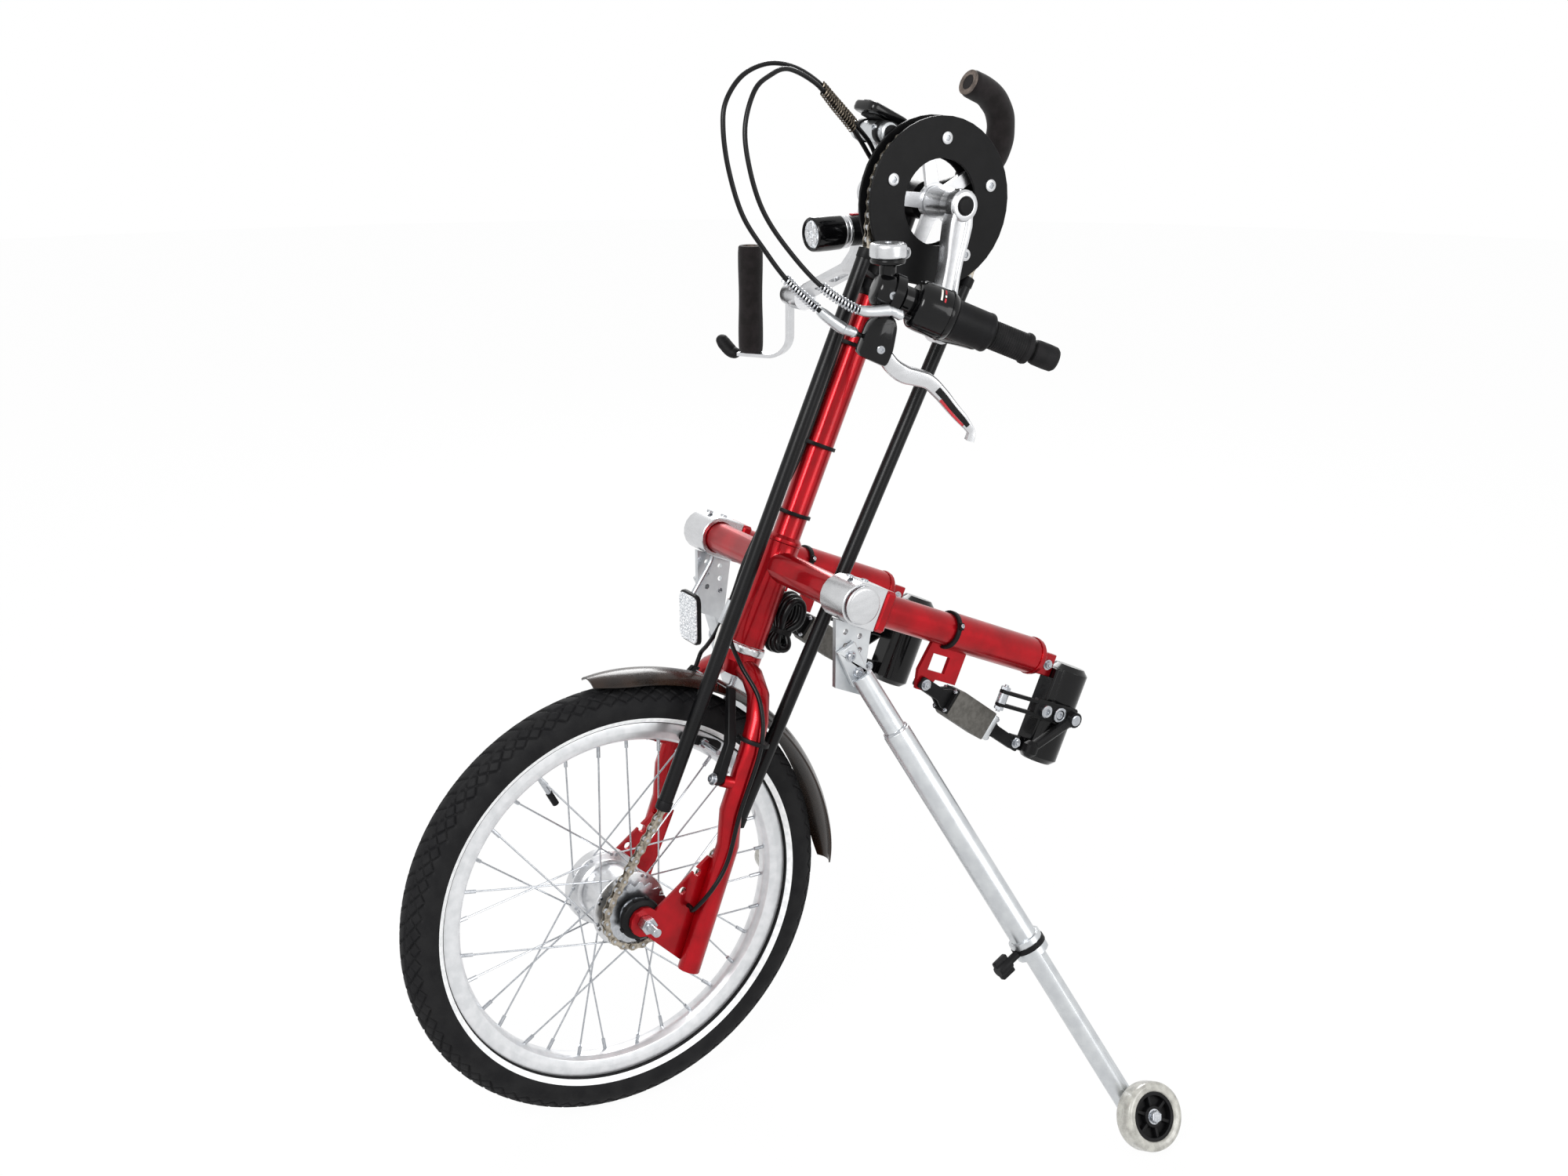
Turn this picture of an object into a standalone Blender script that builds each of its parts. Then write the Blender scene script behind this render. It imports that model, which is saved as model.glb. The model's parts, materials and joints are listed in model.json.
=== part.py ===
"""Handbike front end: a hand-cranked drive wheel with its mast, steering fork, docking arms and parking stand.

Metres. +X is the rider's left (the drive side), +Y points back to the wheelchair, +Z is up.
The origin is on the floor, under the middle of the whole object.
"""

import math

import bmesh
import bpy
import numpy as np
from mathutils import Matrix, Vector

# Gaps between pieces
SEAT = 0.0003
FINE_BEVEL = 0.0010
BLOCK_BEVEL = 0.0020
WIDE_BEVEL = 0.0030
RUNNING = 0.0005
CUT_OVERRUN = 0.002
WELD = 0.0015

# Drive wheel
WHEEL_STEPS = 40
TYRE_RADIUS = 0.250
TYRE_HALF_WIDTH = 0.0235
BEAD_SEAT_RADIUS = 0.2000
RIM_EDGE_RADIUS = 0.2090
RIM_INNER_RADIUS = 0.1860
RIM_HALF_WIDTH = 0.0130
RIM_WALL = 0.0020
RIM_WELL_HALF_WIDTH = 0.0070
SPOKE_RADIUS = 0.0010
SPOKES_A_SIDE = 16
FLANGE_RADIUS = 0.0430
FLANGE_OFFSET = 0.0300
FLANGE_THICKNESS = 0.0030
SPOKE_CIRCLE_RADIUS = 0.0400
HUB_RADIUS = 0.0330
DRUM_RADIUS = 0.0440
DRUM_WIDTH = 0.0140
AXLE_RADIUS = 0.0050
AXLE_HALF_LENGTH = 0.0980
AXLE_NUT_RADIUS = 0.0095
AXLE_NUT_LENGTH = 0.0120

# Steering line: it leans back and passes the junction of mast and cross tube
LEAN = math.radians(23.5)
JUNCTION_BEHIND_AXLE = 0.2060
JUNCTION_HEIGHT = 0.6040
CROSS_RADIUS = 0.0175
CROSS_HALF_LENGTH = 0.1745
HEAD_RADIUS = 0.0195
HEAD_LENGTH = 0.0960
BEARING_RING_RADIUS = 0.0215
BEARING_RING_LENGTH = 0.0080

# Fork
CROWN_DROP = 0.0260
BLADE_RADIUS = 0.0125
BLADE_OFFSET = 0.0760
BLADE_SHOULDER_DROP = 0.0800
BLADE_KNEE_DROP = 0.1850
BLADE_KNEE_SETBACK = 0.0150
BLADE_END_DROP = 0.3320
BLADE_END_SETBACK = 0.0230
DROPOUT_OFFSET = 0.0665
DROPOUT_THICKNESS = 0.0050
DROPOUT_EYE_RADIUS = 0.0170
DROPOUT_HOLE_RADIUS = 0.0045
DROPOUT_HOLE_INSET = 0.0140
BRAKE_BOSS_RADIUS = 0.0070
BRAKE_BOSS_DROP = 0.1300
BRAKE_BOSS_FORWARD = 0.0220

# Mast
MAST_RADIUS = 0.0160
MAST_LENGTH = 0.2850
MAST_HEAD_RADIUS = 0.0195
MAST_CONE_LENGTH = 0.0300
CRANK_HEIGHT_ON_AXIS = 0.4260
BOTTOM_SHELL_RADIUS = 0.0210
BOTTOM_SHELL_HALF_WIDTH = 0.0340
CRANK_AXLE_RADIUS = 0.0085

# Chain drive
CHAIN_PITCH = 0.0127
RING_TEETH = 40
SPROCKET_TEETH = 18
CHAIN_LINE = 0.0470
CHAIN_HALF_WIDTH = 0.0033
CHAIN_SLOT_HALF_WIDTH = 0.0017
CHAIN_SLOT_TOP = 0.0026
PLATE_HALF_HEIGHT = 0.0042
PLATE_WAIST_HALF_HEIGHT = 0.0031
TOOTH_HALF_THICKNESS = 0.0010
TOOTH_TIP = 0.0014
TOOTH_ROOT = 0.0040
RING_INNER_RADIUS = 0.0610
SPIDER_HUB_RADIUS = 0.0200
SPIDER_ARM_HALF_WIDTH = 0.0065
SPIDER_THICKNESS = 0.0050
SPIDER_ARMS = 5
GUARD_RADIUS = 0.0900
GUARD_HOLE_RADIUS = 0.0460
GUARD_THICKNESS = 0.0030
GUARD_CLEARANCE = 0.0050
GUARD_BOLT_CIRCLE = 0.0670
GUARD_SPACER_RADIUS = 0.0050
CHAIN_TUBE_RADIUS = 0.0080
CHAIN_TUBE_WALL = 0.0014
TUBE_TOP_CLEARANCE = 0.0060
FRONT_TUBE_TOP_FORWARD = 0.0600
FRONT_TUBE_END_FORWARD = 0.0620
REAR_TUBE_TOP_BACK = 0.0800
REAR_TUBE_END_BACK = 0.0380
CHAIN_TUBE_END_DROP = 0.2870

# Cranks
CRANK_LENGTH = 0.1320
CRANK_SWING = math.radians(11.0)
CRANK_BOSS_RADIUS = 0.0170
CRANK_OUTER = 0.1040
CRANK_ARM_INNER = 0.0860
CRANK_ARM_WIDTH = 0.0240
CRANK_END_RADIUS = 0.0120
RIGHT_CRANK_INNER = 0.0620
RIGHT_BAR_THICKNESS = 0.0080
RIGHT_BAR_WIDTH = 0.0260
RIGHT_PIN_OFFSET = 0.1900
RIGHT_SLOT_LENGTH = 0.0300
RIGHT_SLOT_WIDTH = 0.0100
RIGHT_SLOT_SHARE = 0.25
RIGHT_HOLE_RADIUS = 0.0050
RIGHT_HOLE_SHARE = 0.66
PIN_RADIUS = 0.0050

# Left handle: shares give the bar's aim across, back and up, and the places along the bar from its knuckle
LEFT_BOSS_GAP = 0.0006
LEFT_BOSS_RADIUS = 0.0110
LEFT_BOSS_END = 0.1500
LEFT_BOSS_WALL = 0.0080
BAR_OFFSET = 0.1700
BAR_RISE = 0.0110
BAR_AIM_SHARES = (0.33, 0.86, -0.385)
BAR_AHEAD_OF_PIN = 0.1076
KNUCKLE_RADIUS = 0.0190
KNUCKLE_HALF_LENGTH = 0.0150
NECK_RADIUS = 0.0140
SHIFTER_RADIUS = 0.0265
SHIFTER_START = 0.0290
SHIFTER_END = 0.0720
GRIP_COLLAR_RADIUS = 0.0205
GRIP_START = 0.1160
GRIP_RADIUS = 0.0150
GRIP_FLARE_RADIUS = 0.0165
GRIP_END = 0.1590
GRIP_WAIST_RADIUS = 0.0095
GRIP_KNOB_RADIUS = 0.0130
BAR_END = 0.1950
LEVER_BODY_LENGTH = 0.0360
LEVER_BODY_HEIGHT = 0.0520
LEVER_BODY_WIDTH = 0.0220
LEVER_BODY_AHEAD = 0.0100
LEVER_BODY_BEVEL = 0.0040
LEVER_BLADE_RADIUS = 0.0076
LEVER_BLADE_FLATNESS_SHARE = 0.6
LEVER_REACH = 0.1435
LEVER_DROP = 0.1100
BELL_RADIUS = 0.0190
BELL_HEIGHT = 0.0216
BELL_POST_RADIUS = 0.0100
BELL_POST_HEIGHT = 0.0280

# Right handle
RIGHT_GRIP_OFFSET = 0.2500
RIGHT_GRIP_FORWARD = 0.0300
RIGHT_GRIP_RADIUS = 0.0150
RIGHT_GRIP_TOP = 0.9200
RIGHT_GRIP_LENGTH = 0.1280
STRIP_WIDTH = 0.0180
STRIP_THICKNESS = 0.0045
STRIP_BEND = 0.0260
PAD_LENGTH = 0.0270
PAD_RISE = 0.0200
PAD_HALF_WIDTH = 0.0105
PAD_SHARES = (0.62, 0.95, 1.0, 0.55)
PAD_FLATNESS_SHARE = 0.72
RIGHT_BOSS_RADIUS = 0.0150

# Docking frame
ARM_OFFSET = 0.1500
ARM_FRONT_RADIUS = 0.0180
ARM_REAR_RADIUS = 0.0205
ARM_START = 0.0270
ARM_STEP = 0.1400
ARM_END = 0.2750
COLLAR_HALF_WIDTH = 0.0230
COLLAR_HALF_HEIGHT = 0.0225
COLLAR_LENGTH = 0.0140
STRAP_THICKNESS = 0.0055
STRAP_HALF_WIDTH = 0.0225
LUG_THICKNESS = 0.0100
LUG_HALF_HEIGHT = 0.0130
LUG_LENGTH = 0.0260
UNDER_PLATE_THICKNESS = 0.0050
UNDER_PLATE_START = 0.1240
UNDER_PLATE_LENGTH = 0.0500
UNDER_PLATE_DEPTH = 0.0560
UNDER_PLATE_EAR = 0.0150
JAW_RADIUS = 0.0230
JAW_LENGTH = 0.1150
JAW_SETBACK = 0.0530
JAW_TOP = 0.0020
JAW_BEVEL = 0.0060
HINGE_BAR_THICKNESS = 0.0120
HINGE_BAR_HALF_WIDTH = 0.0130
CLAMP_ARM_LENGTH = 0.0640
CLAMP_ARM_HEIGHT = 0.0220
CLAMP_ARM_THICKNESS = 0.0100
LEVER_LENGTH = 0.0600
LEVER_RADIUS = 0.0060
LEVER_BALL_RADIUS = 0.0090
STRUT_BLOCK_LENGTH = 0.0620
STRUT_BLOCK_HEIGHT = 0.0340
STRUT_BLOCK_THICKNESS = 0.0260
STRUT_BLOCK_SHARE = 0.47
STRUT_CHEEK_HEIGHT = 0.0140
STRUT_CHEEK_THICKNESS = 0.0040
HINGE_BAR_FACE = ARM_END + LUG_LENGTH - WELD + SEAT
JAW_PIN_AHEAD = 0.0130
JAW_EAR_HEIGHT = 0.0160

# Parking stand
PLATE_OFFSET = 0.1500
PLATE_THICKNESS = 0.0060
PLATE_HALF_WIDTH = 0.0240
STAND_PIVOT_BELOW_TUBE = 0.0590
PLATE_BELOW_PIVOT = 0.0170
PLATE_DROP = STAND_PIVOT_BELOW_TUBE + PLATE_BELOW_PIVOT
PLATE_FORWARD = 0.0100
PLATE_HOLE_RADIUS = 0.0032
STAND_PIVOT_BEHIND_AXLE = 0.2020
FOOT_OFFSET = 0.3900
FOOT_BEHIND_AXLE = 0.4460
FOOT_RADIUS = 0.0375
FOOT_HALF_WIDTH = 0.0120
FOOT_HUB_RADIUS = 0.0120
FOOT_AXLE_RADIUS = 0.0040
FOOT_GAP = 0.0020
STAND_NECK_RADIUS = 0.0120
STAND_TUBE_RADIUS = 0.0150
STAND_LEG_RADIUS = 0.0120
STAND_NECK_START = 0.0260
STAND_TONGUE_THICKNESS = 0.0060
STAND_TONGUE_WIDTH = 0.0230
STAND_TONGUE_LENGTH = 0.0460
STAND_STEP = 0.0950
STAND_TUBE_END = 0.3850
STAND_COLLAR_RADIUS = 0.0185
STAND_COLLAR_LENGTH = 0.0200
STAND_LEG_OVERLAP = 0.0600
STAND_TRAVEL = 0.1200
KNOB_RADIUS = 0.0110
KNOB_LENGTH = 0.0180
KNOB_STEM_LENGTH = 0.0120

# Mudguard, lights and fittings
GUARD_ARC_RADIUS = 0.2640
MUDGUARD_THICKNESS = 0.0020
MUDGUARD_HALF_WIDTH = 0.0260
MUDGUARD_CROWN = 0.0100
MUDGUARD_POST_RADIUS = 0.0040
MUDGUARD_TAIL_FLARE = 0.0120
MUDGUARD_FRONT_ANGLE = math.radians(96.0)
MUDGUARD_TAIL_ANGLE = math.radians(-4.0)
LAMP_RADIUS = 0.0195
LAMP_LENGTH = 0.0980
LAMP_TAIL_LENGTH = 0.0120
LAMP_NECK_END_SHARE = 0.56
LAMP_CUP_LENGTH = 0.0090
LAMP_DROP_SHARE = 0.03
LAMP_ARM_SINK = 0.0021
LAMP_ARM_FACE = 0.00050
LAMP_TAIL_SHARE = 0.8
LAMP_OFFSET = 0.0365
LAMP_NECK_RADIUS = 0.0170
PULL_RADIUS = 0.0160
PULL_REACH = 0.1220
PULL_RISE = 0.1200
PULL_SHARES = [(0.50, 0.08), (0.80, 0.20), (0.97, 0.42), (0.99, 0.68), (0.86, 0.88), (0.62, 1.0)]
REFLECTOR_HALF_WIDTH = 0.0220
REFLECTOR_HALF_HEIGHT = 0.0305
REFLECTOR_THICKNESS = 0.0080
REFLECTOR_CORNER = 0.0100
REFLECTOR_OFFSET = 0.1360
REFLECTOR_BEHIND_AXLE = 0.1700
REFLECTOR_STEM_RADIUS = 0.0035
REFLECTOR_HEIGHT = 0.5100
BAR_RADIUS = 0.0110
BAR_HALF_LENGTH = 0.0320
BAR_FORWARD_OF_CRANK = 0.0470
COMPUTER_TILT_SHARE = 0.48
BAR_ABOVE_CRANK = 0.0720
BAR_STEM_RADIUS = 0.0070
COMPUTER_WIDTH = 0.0400
COMPUTER_LENGTH = 0.0520
COMPUTER_THICKNESS = 0.0140
COMPUTER_BEVEL = 0.0040
CABLE_RADIUS = 0.0025
HANK_HALF_HEIGHT = 0.0360
HANK_HALF_DEPTH = 0.0180
HANK_WIDTH = 0.0340
LAMP_ARM_RADIUS = 0.0070
LAMP_BACK = 0.0080
LAMP_BELOW_CRANK = 0.0340
TUBE_BRACKET_RADIUS = 0.0035
TUBE_BRACKET_UP = 0.3300
BRAKE_ARM_THICKNESS = 0.0100
BRAKE_ARM_RISE = 0.0950
BRAKE_ARM_TOP_OFFSET = 0.0400
CABLE_POINTS = 40
CABLE_END_SHARES = (0, 2.5, 5, 8)

# Places worked out from the sizes above
SIN_LEAN = math.sin(LEAN)
COS_LEAN = math.cos(LEAN)
JAW_CENTRE_BACK = ARM_END + JAW_SETBACK
REAR_REACH = (JUNCTION_BEHIND_AXLE + (JAW_CENTRE_BACK + JAW_RADIUS) * COS_LEAN
              + (JAW_TOP - JAW_BEVEL) * SIN_LEAN)
AXLE_Y = (TYRE_RADIUS - REAR_REACH) / 2
ACROSS = Vector((1, 0, 0))
BACK = Vector((0, COS_LEAN, -SIN_LEAN))
UPWARD = Vector((0, SIN_LEAN, COS_LEAN))
WHEEL_CENTRE = Vector((0, AXLE_Y, TYRE_RADIUS))
JUNCTION = Vector((0, AXLE_Y + JUNCTION_BEHIND_AXLE, JUNCTION_HEIGHT))
AXLE_DROP = (JUNCTION - WHEEL_CENTRE).dot(UPWARD)


def on_axis(x, back, up):
    """A point given across, behind and along the steering line, from the junction."""
    return JUNCTION + ACROSS * x + BACK * back + UPWARD * up


def behind_axle(x, back, up):
    """A point given from the floor under the wheel axle."""
    return Vector((x, AXLE_Y + back, up))


CRANK_CENTRE = on_axis(0, 0, CRANK_HEIGHT_ON_AXIS)
CRANK_DOWN = Vector((0, -math.sin(CRANK_SWING), -math.cos(CRANK_SWING)))
PIN_CENTRE = CRANK_CENTRE + CRANK_DOWN * CRANK_LENGTH
RING_RADIUS = CHAIN_PITCH / (2 * math.sin(math.pi / RING_TEETH))
SPROCKET_RADIUS = CHAIN_PITCH / (2 * math.sin(math.pi / SPROCKET_TEETH))

# Finishes: sRGB hex colour, metallic, roughness
FINISHES = {
    "red_enamel": ("a5101f", 0.5, 0.3),
    "silver": ("c9cbcd", 0.9, 0.35),
    "black_metal": ("151516", 0.4, 0.45),
    "black_plastic": ("17171a", 0.0, 0.45),
    "rubber": ("1c1c1e", 0.0, 0.8),
    "foam": ("1b1718", 0.0, 0.95),
    "grey_block": ("55534f", 0.1, 0.7),
    "steel": ("9a9c9f", 0.9, 0.4),
    "cable_sheath": ("101012", 0.0, 0.35),
    "smoked_plastic": ("1d1512", 0.0, 0.25),
    "clear_reflector": ("d9dadb", 0.0, 0.15),
    "clear_urethane": ("9b9a96", 0.0, 0.3),
}


def linear(hex_colour):
    """An sRGB hex colour as linear RGBA."""
    parts = [int(hex_colour[i:i + 2], 16) / 255 for i in (0, 2, 4)]
    return [c / 12.92 if c <= 0.04045 else ((c + 0.055) / 1.055) ** 2.4 for c in parts] + [1.0]


def finish(name):
    """The material of that finish, made on first use."""
    material = bpy.data.materials.get(name)
    if material:
        return material
    colour, metallic, roughness = FINISHES[name]
    material = bpy.data.materials.new(name)
    material.use_nodes = True
    shader = material.node_tree.nodes["Principled BSDF"]
    shader.inputs["Base Color"].default_value = linear(colour)
    shader.inputs["Metallic"].default_value = metallic
    shader.inputs["Roughness"].default_value = roughness
    material.diffuse_color = linear(colour)
    return material


def clear_scene():
    for obj in list(bpy.data.objects):
        bpy.data.objects.remove(obj, do_unlink=True)


def empty(name, place, parent=None):
    """An empty on a joint's axis, which carries the pieces that move with it."""
    holder = bpy.data.objects.new(name, None)
    bpy.context.scene.collection.objects.link(holder)
    holder.location = place
    if parent:
        bpy.context.view_layer.update()
        holder.parent = parent
        holder.matrix_parent_inverse = parent.matrix_world.inverted()
    bpy.context.view_layer.update()
    return holder


def skin(rings, closed_path=False, capped=True):
    """A closed bmesh through rings of equal counts; a ring of one point is a pole."""
    mesh = bmesh.new()
    rows = [[mesh.verts.new(p) for p in ring] for ring in rings]
    pairs = list(zip(rows, rows[1:]))
    if closed_path:
        pairs.append((rows[-1], rows[0]))
    for low, high in pairs:
        count = max(len(low), len(high))
        for i in range(count):
            j = (i + 1) % count
            if len(low) == 1:
                mesh.faces.new((low[0], high[j], high[i]))
            elif len(high) == 1:
                mesh.faces.new((low[i], low[j], high[0]))
            else:
                mesh.faces.new((low[i], low[j], high[j], high[i]))
    if capped and not closed_path:
        for row in (rows[0], rows[-1]):
            if len(row) > 2:
                mesh.faces.new(row)
    bmesh.ops.recalc_face_normals(mesh, faces=mesh.faces)
    if mesh.calc_volume(signed=True) < 0:
        bmesh.ops.reverse_faces(mesh, faces=mesh.faces)
    return mesh


def side_vectors(axis, hint=None):
    """Two unit vectors square to axis and to each other; the first leans towards hint."""
    axis = axis.normalized()
    start = Vector(hint) if hint is not None else Vector((0, 0, 1))
    if abs(start.normalized().dot(axis)) > 0.98:
        start = Vector((0, 1, 0))
    first = (start - axis * start.dot(axis)).normalized()
    return first, axis.cross(first).normalized()


def circle(centre, first, second, radius, sides, squash=1.0):
    turns = (2 * math.pi * i / sides for i in range(sides))
    return [centre + first * (radius * math.cos(t)) + second * (radius * squash * math.sin(t)) for t in turns]


def rod(start, end, radius, end_radius=None, sides=16):
    """A round bar or cone from start to end."""
    first, second = side_vectors(end - start)
    far = radius if end_radius is None else end_radius
    return skin([circle(start, first, second, radius, sides), circle(end, first, second, far, sides)])


def stepped(start, axis, steps, sides=16):
    """A turned bar along axis; steps are (distance, radius) pairs."""
    axis = axis.normalized()
    first, second = side_vectors(axis)
    return skin([circle(start + axis * d, first, second, r, sides) for d, r in steps])


def pipe(points, radii, sides=16, hint=None, squash=1.0):
    """A bent bar through points, with a radius at each."""
    points = [Vector(p) for p in points]
    if not isinstance(radii, (list, tuple)):
        radii = [radii] * len(points)
    rings = []
    first = None
    for i, point in enumerate(points):
        before = points[max(i - 1, 0)]
        after = points[min(i + 1, len(points) - 1)]
        along = (after - before).normalized()
        first, second = side_vectors(along, hint if first is None else first)
        rings.append(circle(point, first, second, radii[i], sides, squash))
    return skin(rings)


def turned_ring(centre, axis, profile, steps):
    """A closed profile of (radius, distance along axis) turned once round the axis."""
    axis = axis.normalized()
    first, second = side_vectors(axis)
    rings = []
    for i in range(steps):
        turn = 2 * math.pi * i / steps
        out = first * math.cos(turn) + second * math.sin(turn)
        rings.append([centre + out * r + axis * d for r, d in profile])
    return skin(rings, closed_path=True)


def block(centre, first, second, sizes, bevel=0.0):
    """A box with sides along first, second and their cross product."""
    first = first.normalized()
    second = second.normalized()
    third = first.cross(second)
    mesh = bmesh.new()
    bmesh.ops.create_cube(mesh, size=1.0)
    matrix = Matrix((first * sizes[0], second * sizes[1], third * sizes[2])).transposed().to_4x4()
    matrix.translation = centre
    bmesh.ops.transform(mesh, matrix=matrix, verts=mesh.verts)
    if bevel:
        bmesh.ops.bevel(mesh, geom=mesh.edges[:], offset=bevel, segments=1, affect="EDGES", profile=0.5)
    return mesh


def slab(outline, first, second, thickness, centre):
    """A plate: outline points are (along first, along second), half the thickness each way from centre."""
    first = first.normalized()
    second = second.normalized()
    normal = first.cross(second)
    low = [centre + first * a + second * b - normal * (thickness / 2) for a, b in outline]
    high = [p + normal * thickness for p in low]
    return skin([low, high])


def rounded_outline(half_length, half_width, corner, steps=4):
    """A rectangle with arcs at its corners."""
    points = []
    for sx, sy, start in ((1, 1, 0), (-1, 1, 90), (-1, -1, 180), (1, -1, 270)):
        for i in range(steps + 1):
            turn = math.radians(start + 90 * i / steps)
            points.append((sx * (half_length - corner) + corner * math.cos(turn),
                           sy * (half_width - corner) + corner * math.sin(turn)))
    return points


def to_object(name, mesh):
    data = bpy.data.meshes.new(name)
    mesh.to_mesh(data)
    mesh.free()
    obj = bpy.data.objects.new(name, data)
    bpy.context.scene.collection.objects.link(obj)
    return obj


def helper(name, mesh):
    """A shape that only a Boolean uses."""
    obj = to_object(name, mesh)
    obj.hide_render = True
    obj.display_type = "WIRE"
    return obj


def merged(meshes):
    """Several closed meshes in one bmesh."""
    whole = bmesh.new()
    for mesh in meshes:
        data = bpy.data.meshes.new("part_of_whole")
        mesh.to_mesh(data)
        mesh.free()
        whole.from_mesh(data)
        bpy.data.meshes.remove(data)
    return whole


def piece(name, mesh, material, body, add=(), cut=()):
    """One node: a mesh, what is welded to it and what is cut from it, riding on a body's empty."""
    obj = to_object(name, mesh)
    obj.data.materials.append(finish(material))
    if add:
        union = obj.modifiers.new("weld", "BOOLEAN")
        union.operation = "UNION"
        union.use_self = True
        union.object = helper(name + "_added", merged(list(add)))
    if cut:
        difference = obj.modifiers.new("cut", "BOOLEAN")
        difference.operation = "DIFFERENCE"
        difference.use_self = True
        difference.object = helper(name + "_cut", merged(list(cut)))
    obj.data.shade_smooth()
    obj.data.set_sharp_from_angle(angle=math.radians(35))
    obj.parent = body
    obj.matrix_parent_inverse = body.matrix_world.inverted()
    return obj


def smooth_route(points, count, near_end):
    """Points read from a smooth curve through the given ones: at even steps, and at near_end from both ends."""
    knots = np.array([list(p) for p in points])
    padded = np.vstack([2 * knots[0] - knots[1], knots, 2 * knots[-1] - knots[-2]])
    fine = []
    for i in range(len(knots) - 1):
        a, b, c, d = padded[i:i + 4]
        for t in np.linspace(0, 1, 24, endpoint=False):
            fine.append(0.5 * (2 * b + (c - a) * t + (2 * a - 5 * b + 4 * c - d) * t ** 2
                               + (3 * b - a - 3 * c + d) * t ** 3))
    fine.append(knots[-1])
    fine = np.array(fine)
    run = np.concatenate([[0], np.cumsum(np.linalg.norm(np.diff(fine, axis=0), axis=1))])
    even = np.linspace(near_end[-1], run[-1] - near_end[-1], count - 2 * len(near_end))
    at = np.concatenate([near_end[:-1], even, (run[-1] - near_end[:-1])[::-1]])
    return [Vector((np.interp(s, run, fine[:, 0]), np.interp(s, run, fine[:, 1]),
                    np.interp(s, run, fine[:, 2])))
            for s in at]


def cable(name, points, radius, material, body, count):
    """A cable as a bevelled curve with closed ends."""
    curve = bpy.data.curves.new(name, "CURVE")
    curve.dimensions = "3D"
    route = smooth_route(points, count, radius * np.array(CABLE_END_SHARES))
    spline = curve.splines.new("POLY")
    spline.points.add(len(route) - 1)
    for point, place in zip(spline.points, route):
        point.co = (*place, 1)
    curve.bevel_depth = radius
    curve.bevel_resolution = 2
    curve.use_fill_caps = True
    curve.materials.append(finish(material))
    obj = bpy.data.objects.new(name, curve)
    bpy.context.scene.collection.objects.link(obj)
    obj.parent = body
    obj.matrix_parent_inverse = body.matrix_world.inverted()
    return obj


def tyre(body):
    """The tyre's solid section, its beads between the rim's edges."""
    bead = RIM_HALF_WIDTH - RIM_WALL - SEAT
    mid = (TYRE_RADIUS + RIM_EDGE_RADIUS) / 2
    rise = TYRE_RADIUS - mid
    profile = [(BEAD_SEAT_RADIUS + SEAT, -bead), (BEAD_SEAT_RADIUS + SEAT, bead),
               (RIM_EDGE_RADIUS + SEAT, bead)]
    for degrees in range(-30, 211, 40):
        turn = math.radians(degrees)
        profile.append((mid + rise * math.sin(turn), TYRE_HALF_WIDTH * math.cos(turn)))
    profile.append((RIM_EDGE_RADIUS + SEAT, -bead))
    piece("tyre", turned_ring(WHEEL_CENTRE, ACROSS, profile, WHEEL_STEPS), "rubber", body)


def spokes():
    """Spokes that leave both flanges on a tangent and cross on their way to the rim."""
    rods = []
    for side in (-1, 1):
        for i in range(SPOKES_A_SIDE):
            lean = 1 if i % 2 else -1
            hub_turn = 2 * math.pi * (i + side / 4) / SPOKES_A_SIDE
            rim_turn = hub_turn + lean * math.radians(52)
            hub_at = Vector((side * (FLANGE_OFFSET + lean * SPOKE_RADIUS * 1.2),
                             SPOKE_CIRCLE_RADIUS * math.cos(hub_turn),
                             SPOKE_CIRCLE_RADIUS * math.sin(hub_turn)))
            rim_at = Vector((side * SPOKE_RADIUS * 3, (RIM_INNER_RADIUS + RIM_WALL) * math.cos(rim_turn),
                             (RIM_INNER_RADIUS + RIM_WALL) * math.sin(rim_turn)))
            rods.append(rod(WHEEL_CENTRE + hub_at, WHEEL_CENTRE + rim_at, SPOKE_RADIUS, sides=4))
    return rods


def wire_wheel(body):
    """Rim, spokes and geared hub shell as one welded solid with the axle's bore."""
    well = RIM_WELL_HALF_WIDTH
    edge = RIM_HALF_WIDTH
    lip = RIM_HALF_WIDTH - RIM_WALL
    profile = [(RIM_INNER_RADIUS, -well), (RIM_INNER_RADIUS, well), (BEAD_SEAT_RADIUS - RIM_WALL, edge),
               (RIM_EDGE_RADIUS, edge), (RIM_EDGE_RADIUS, lip), (BEAD_SEAT_RADIUS, lip),
               (BEAD_SEAT_RADIUS, -lip), (RIM_EDGE_RADIUS, -lip), (RIM_EDGE_RADIUS, -edge),
               (BEAD_SEAT_RADIUS - RIM_WALL, -edge)]
    rim = turned_ring(WHEEL_CENTRE, ACROSS, profile, WHEEL_STEPS)
    half = FLANGE_THICKNESS / 2
    bore = AXLE_RADIUS + RUNNING
    outline = [(bore, -FLANGE_OFFSET - half - DRUM_WIDTH), (bore, FLANGE_OFFSET + half),
               (FLANGE_RADIUS, FLANGE_OFFSET + half), (FLANGE_RADIUS, FLANGE_OFFSET - half),
               (HUB_RADIUS, FLANGE_OFFSET - 3 * half), (HUB_RADIUS * 0.94, 0),
               (HUB_RADIUS, -FLANGE_OFFSET + 3 * half),
               (FLANGE_RADIUS, -FLANGE_OFFSET + half), (DRUM_RADIUS, -FLANGE_OFFSET - half),
               (DRUM_RADIUS * 0.97, -FLANGE_OFFSET - half - DRUM_WIDTH * 0.8),
               (DRUM_RADIUS * 0.85, -FLANGE_OFFSET - half - DRUM_WIDTH)]
    hub = turned_ring(WHEEL_CENTRE, ACROSS, outline, 24)
    piece("wire_wheel", rim, "silver", body, add=[hub] + spokes())


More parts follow.
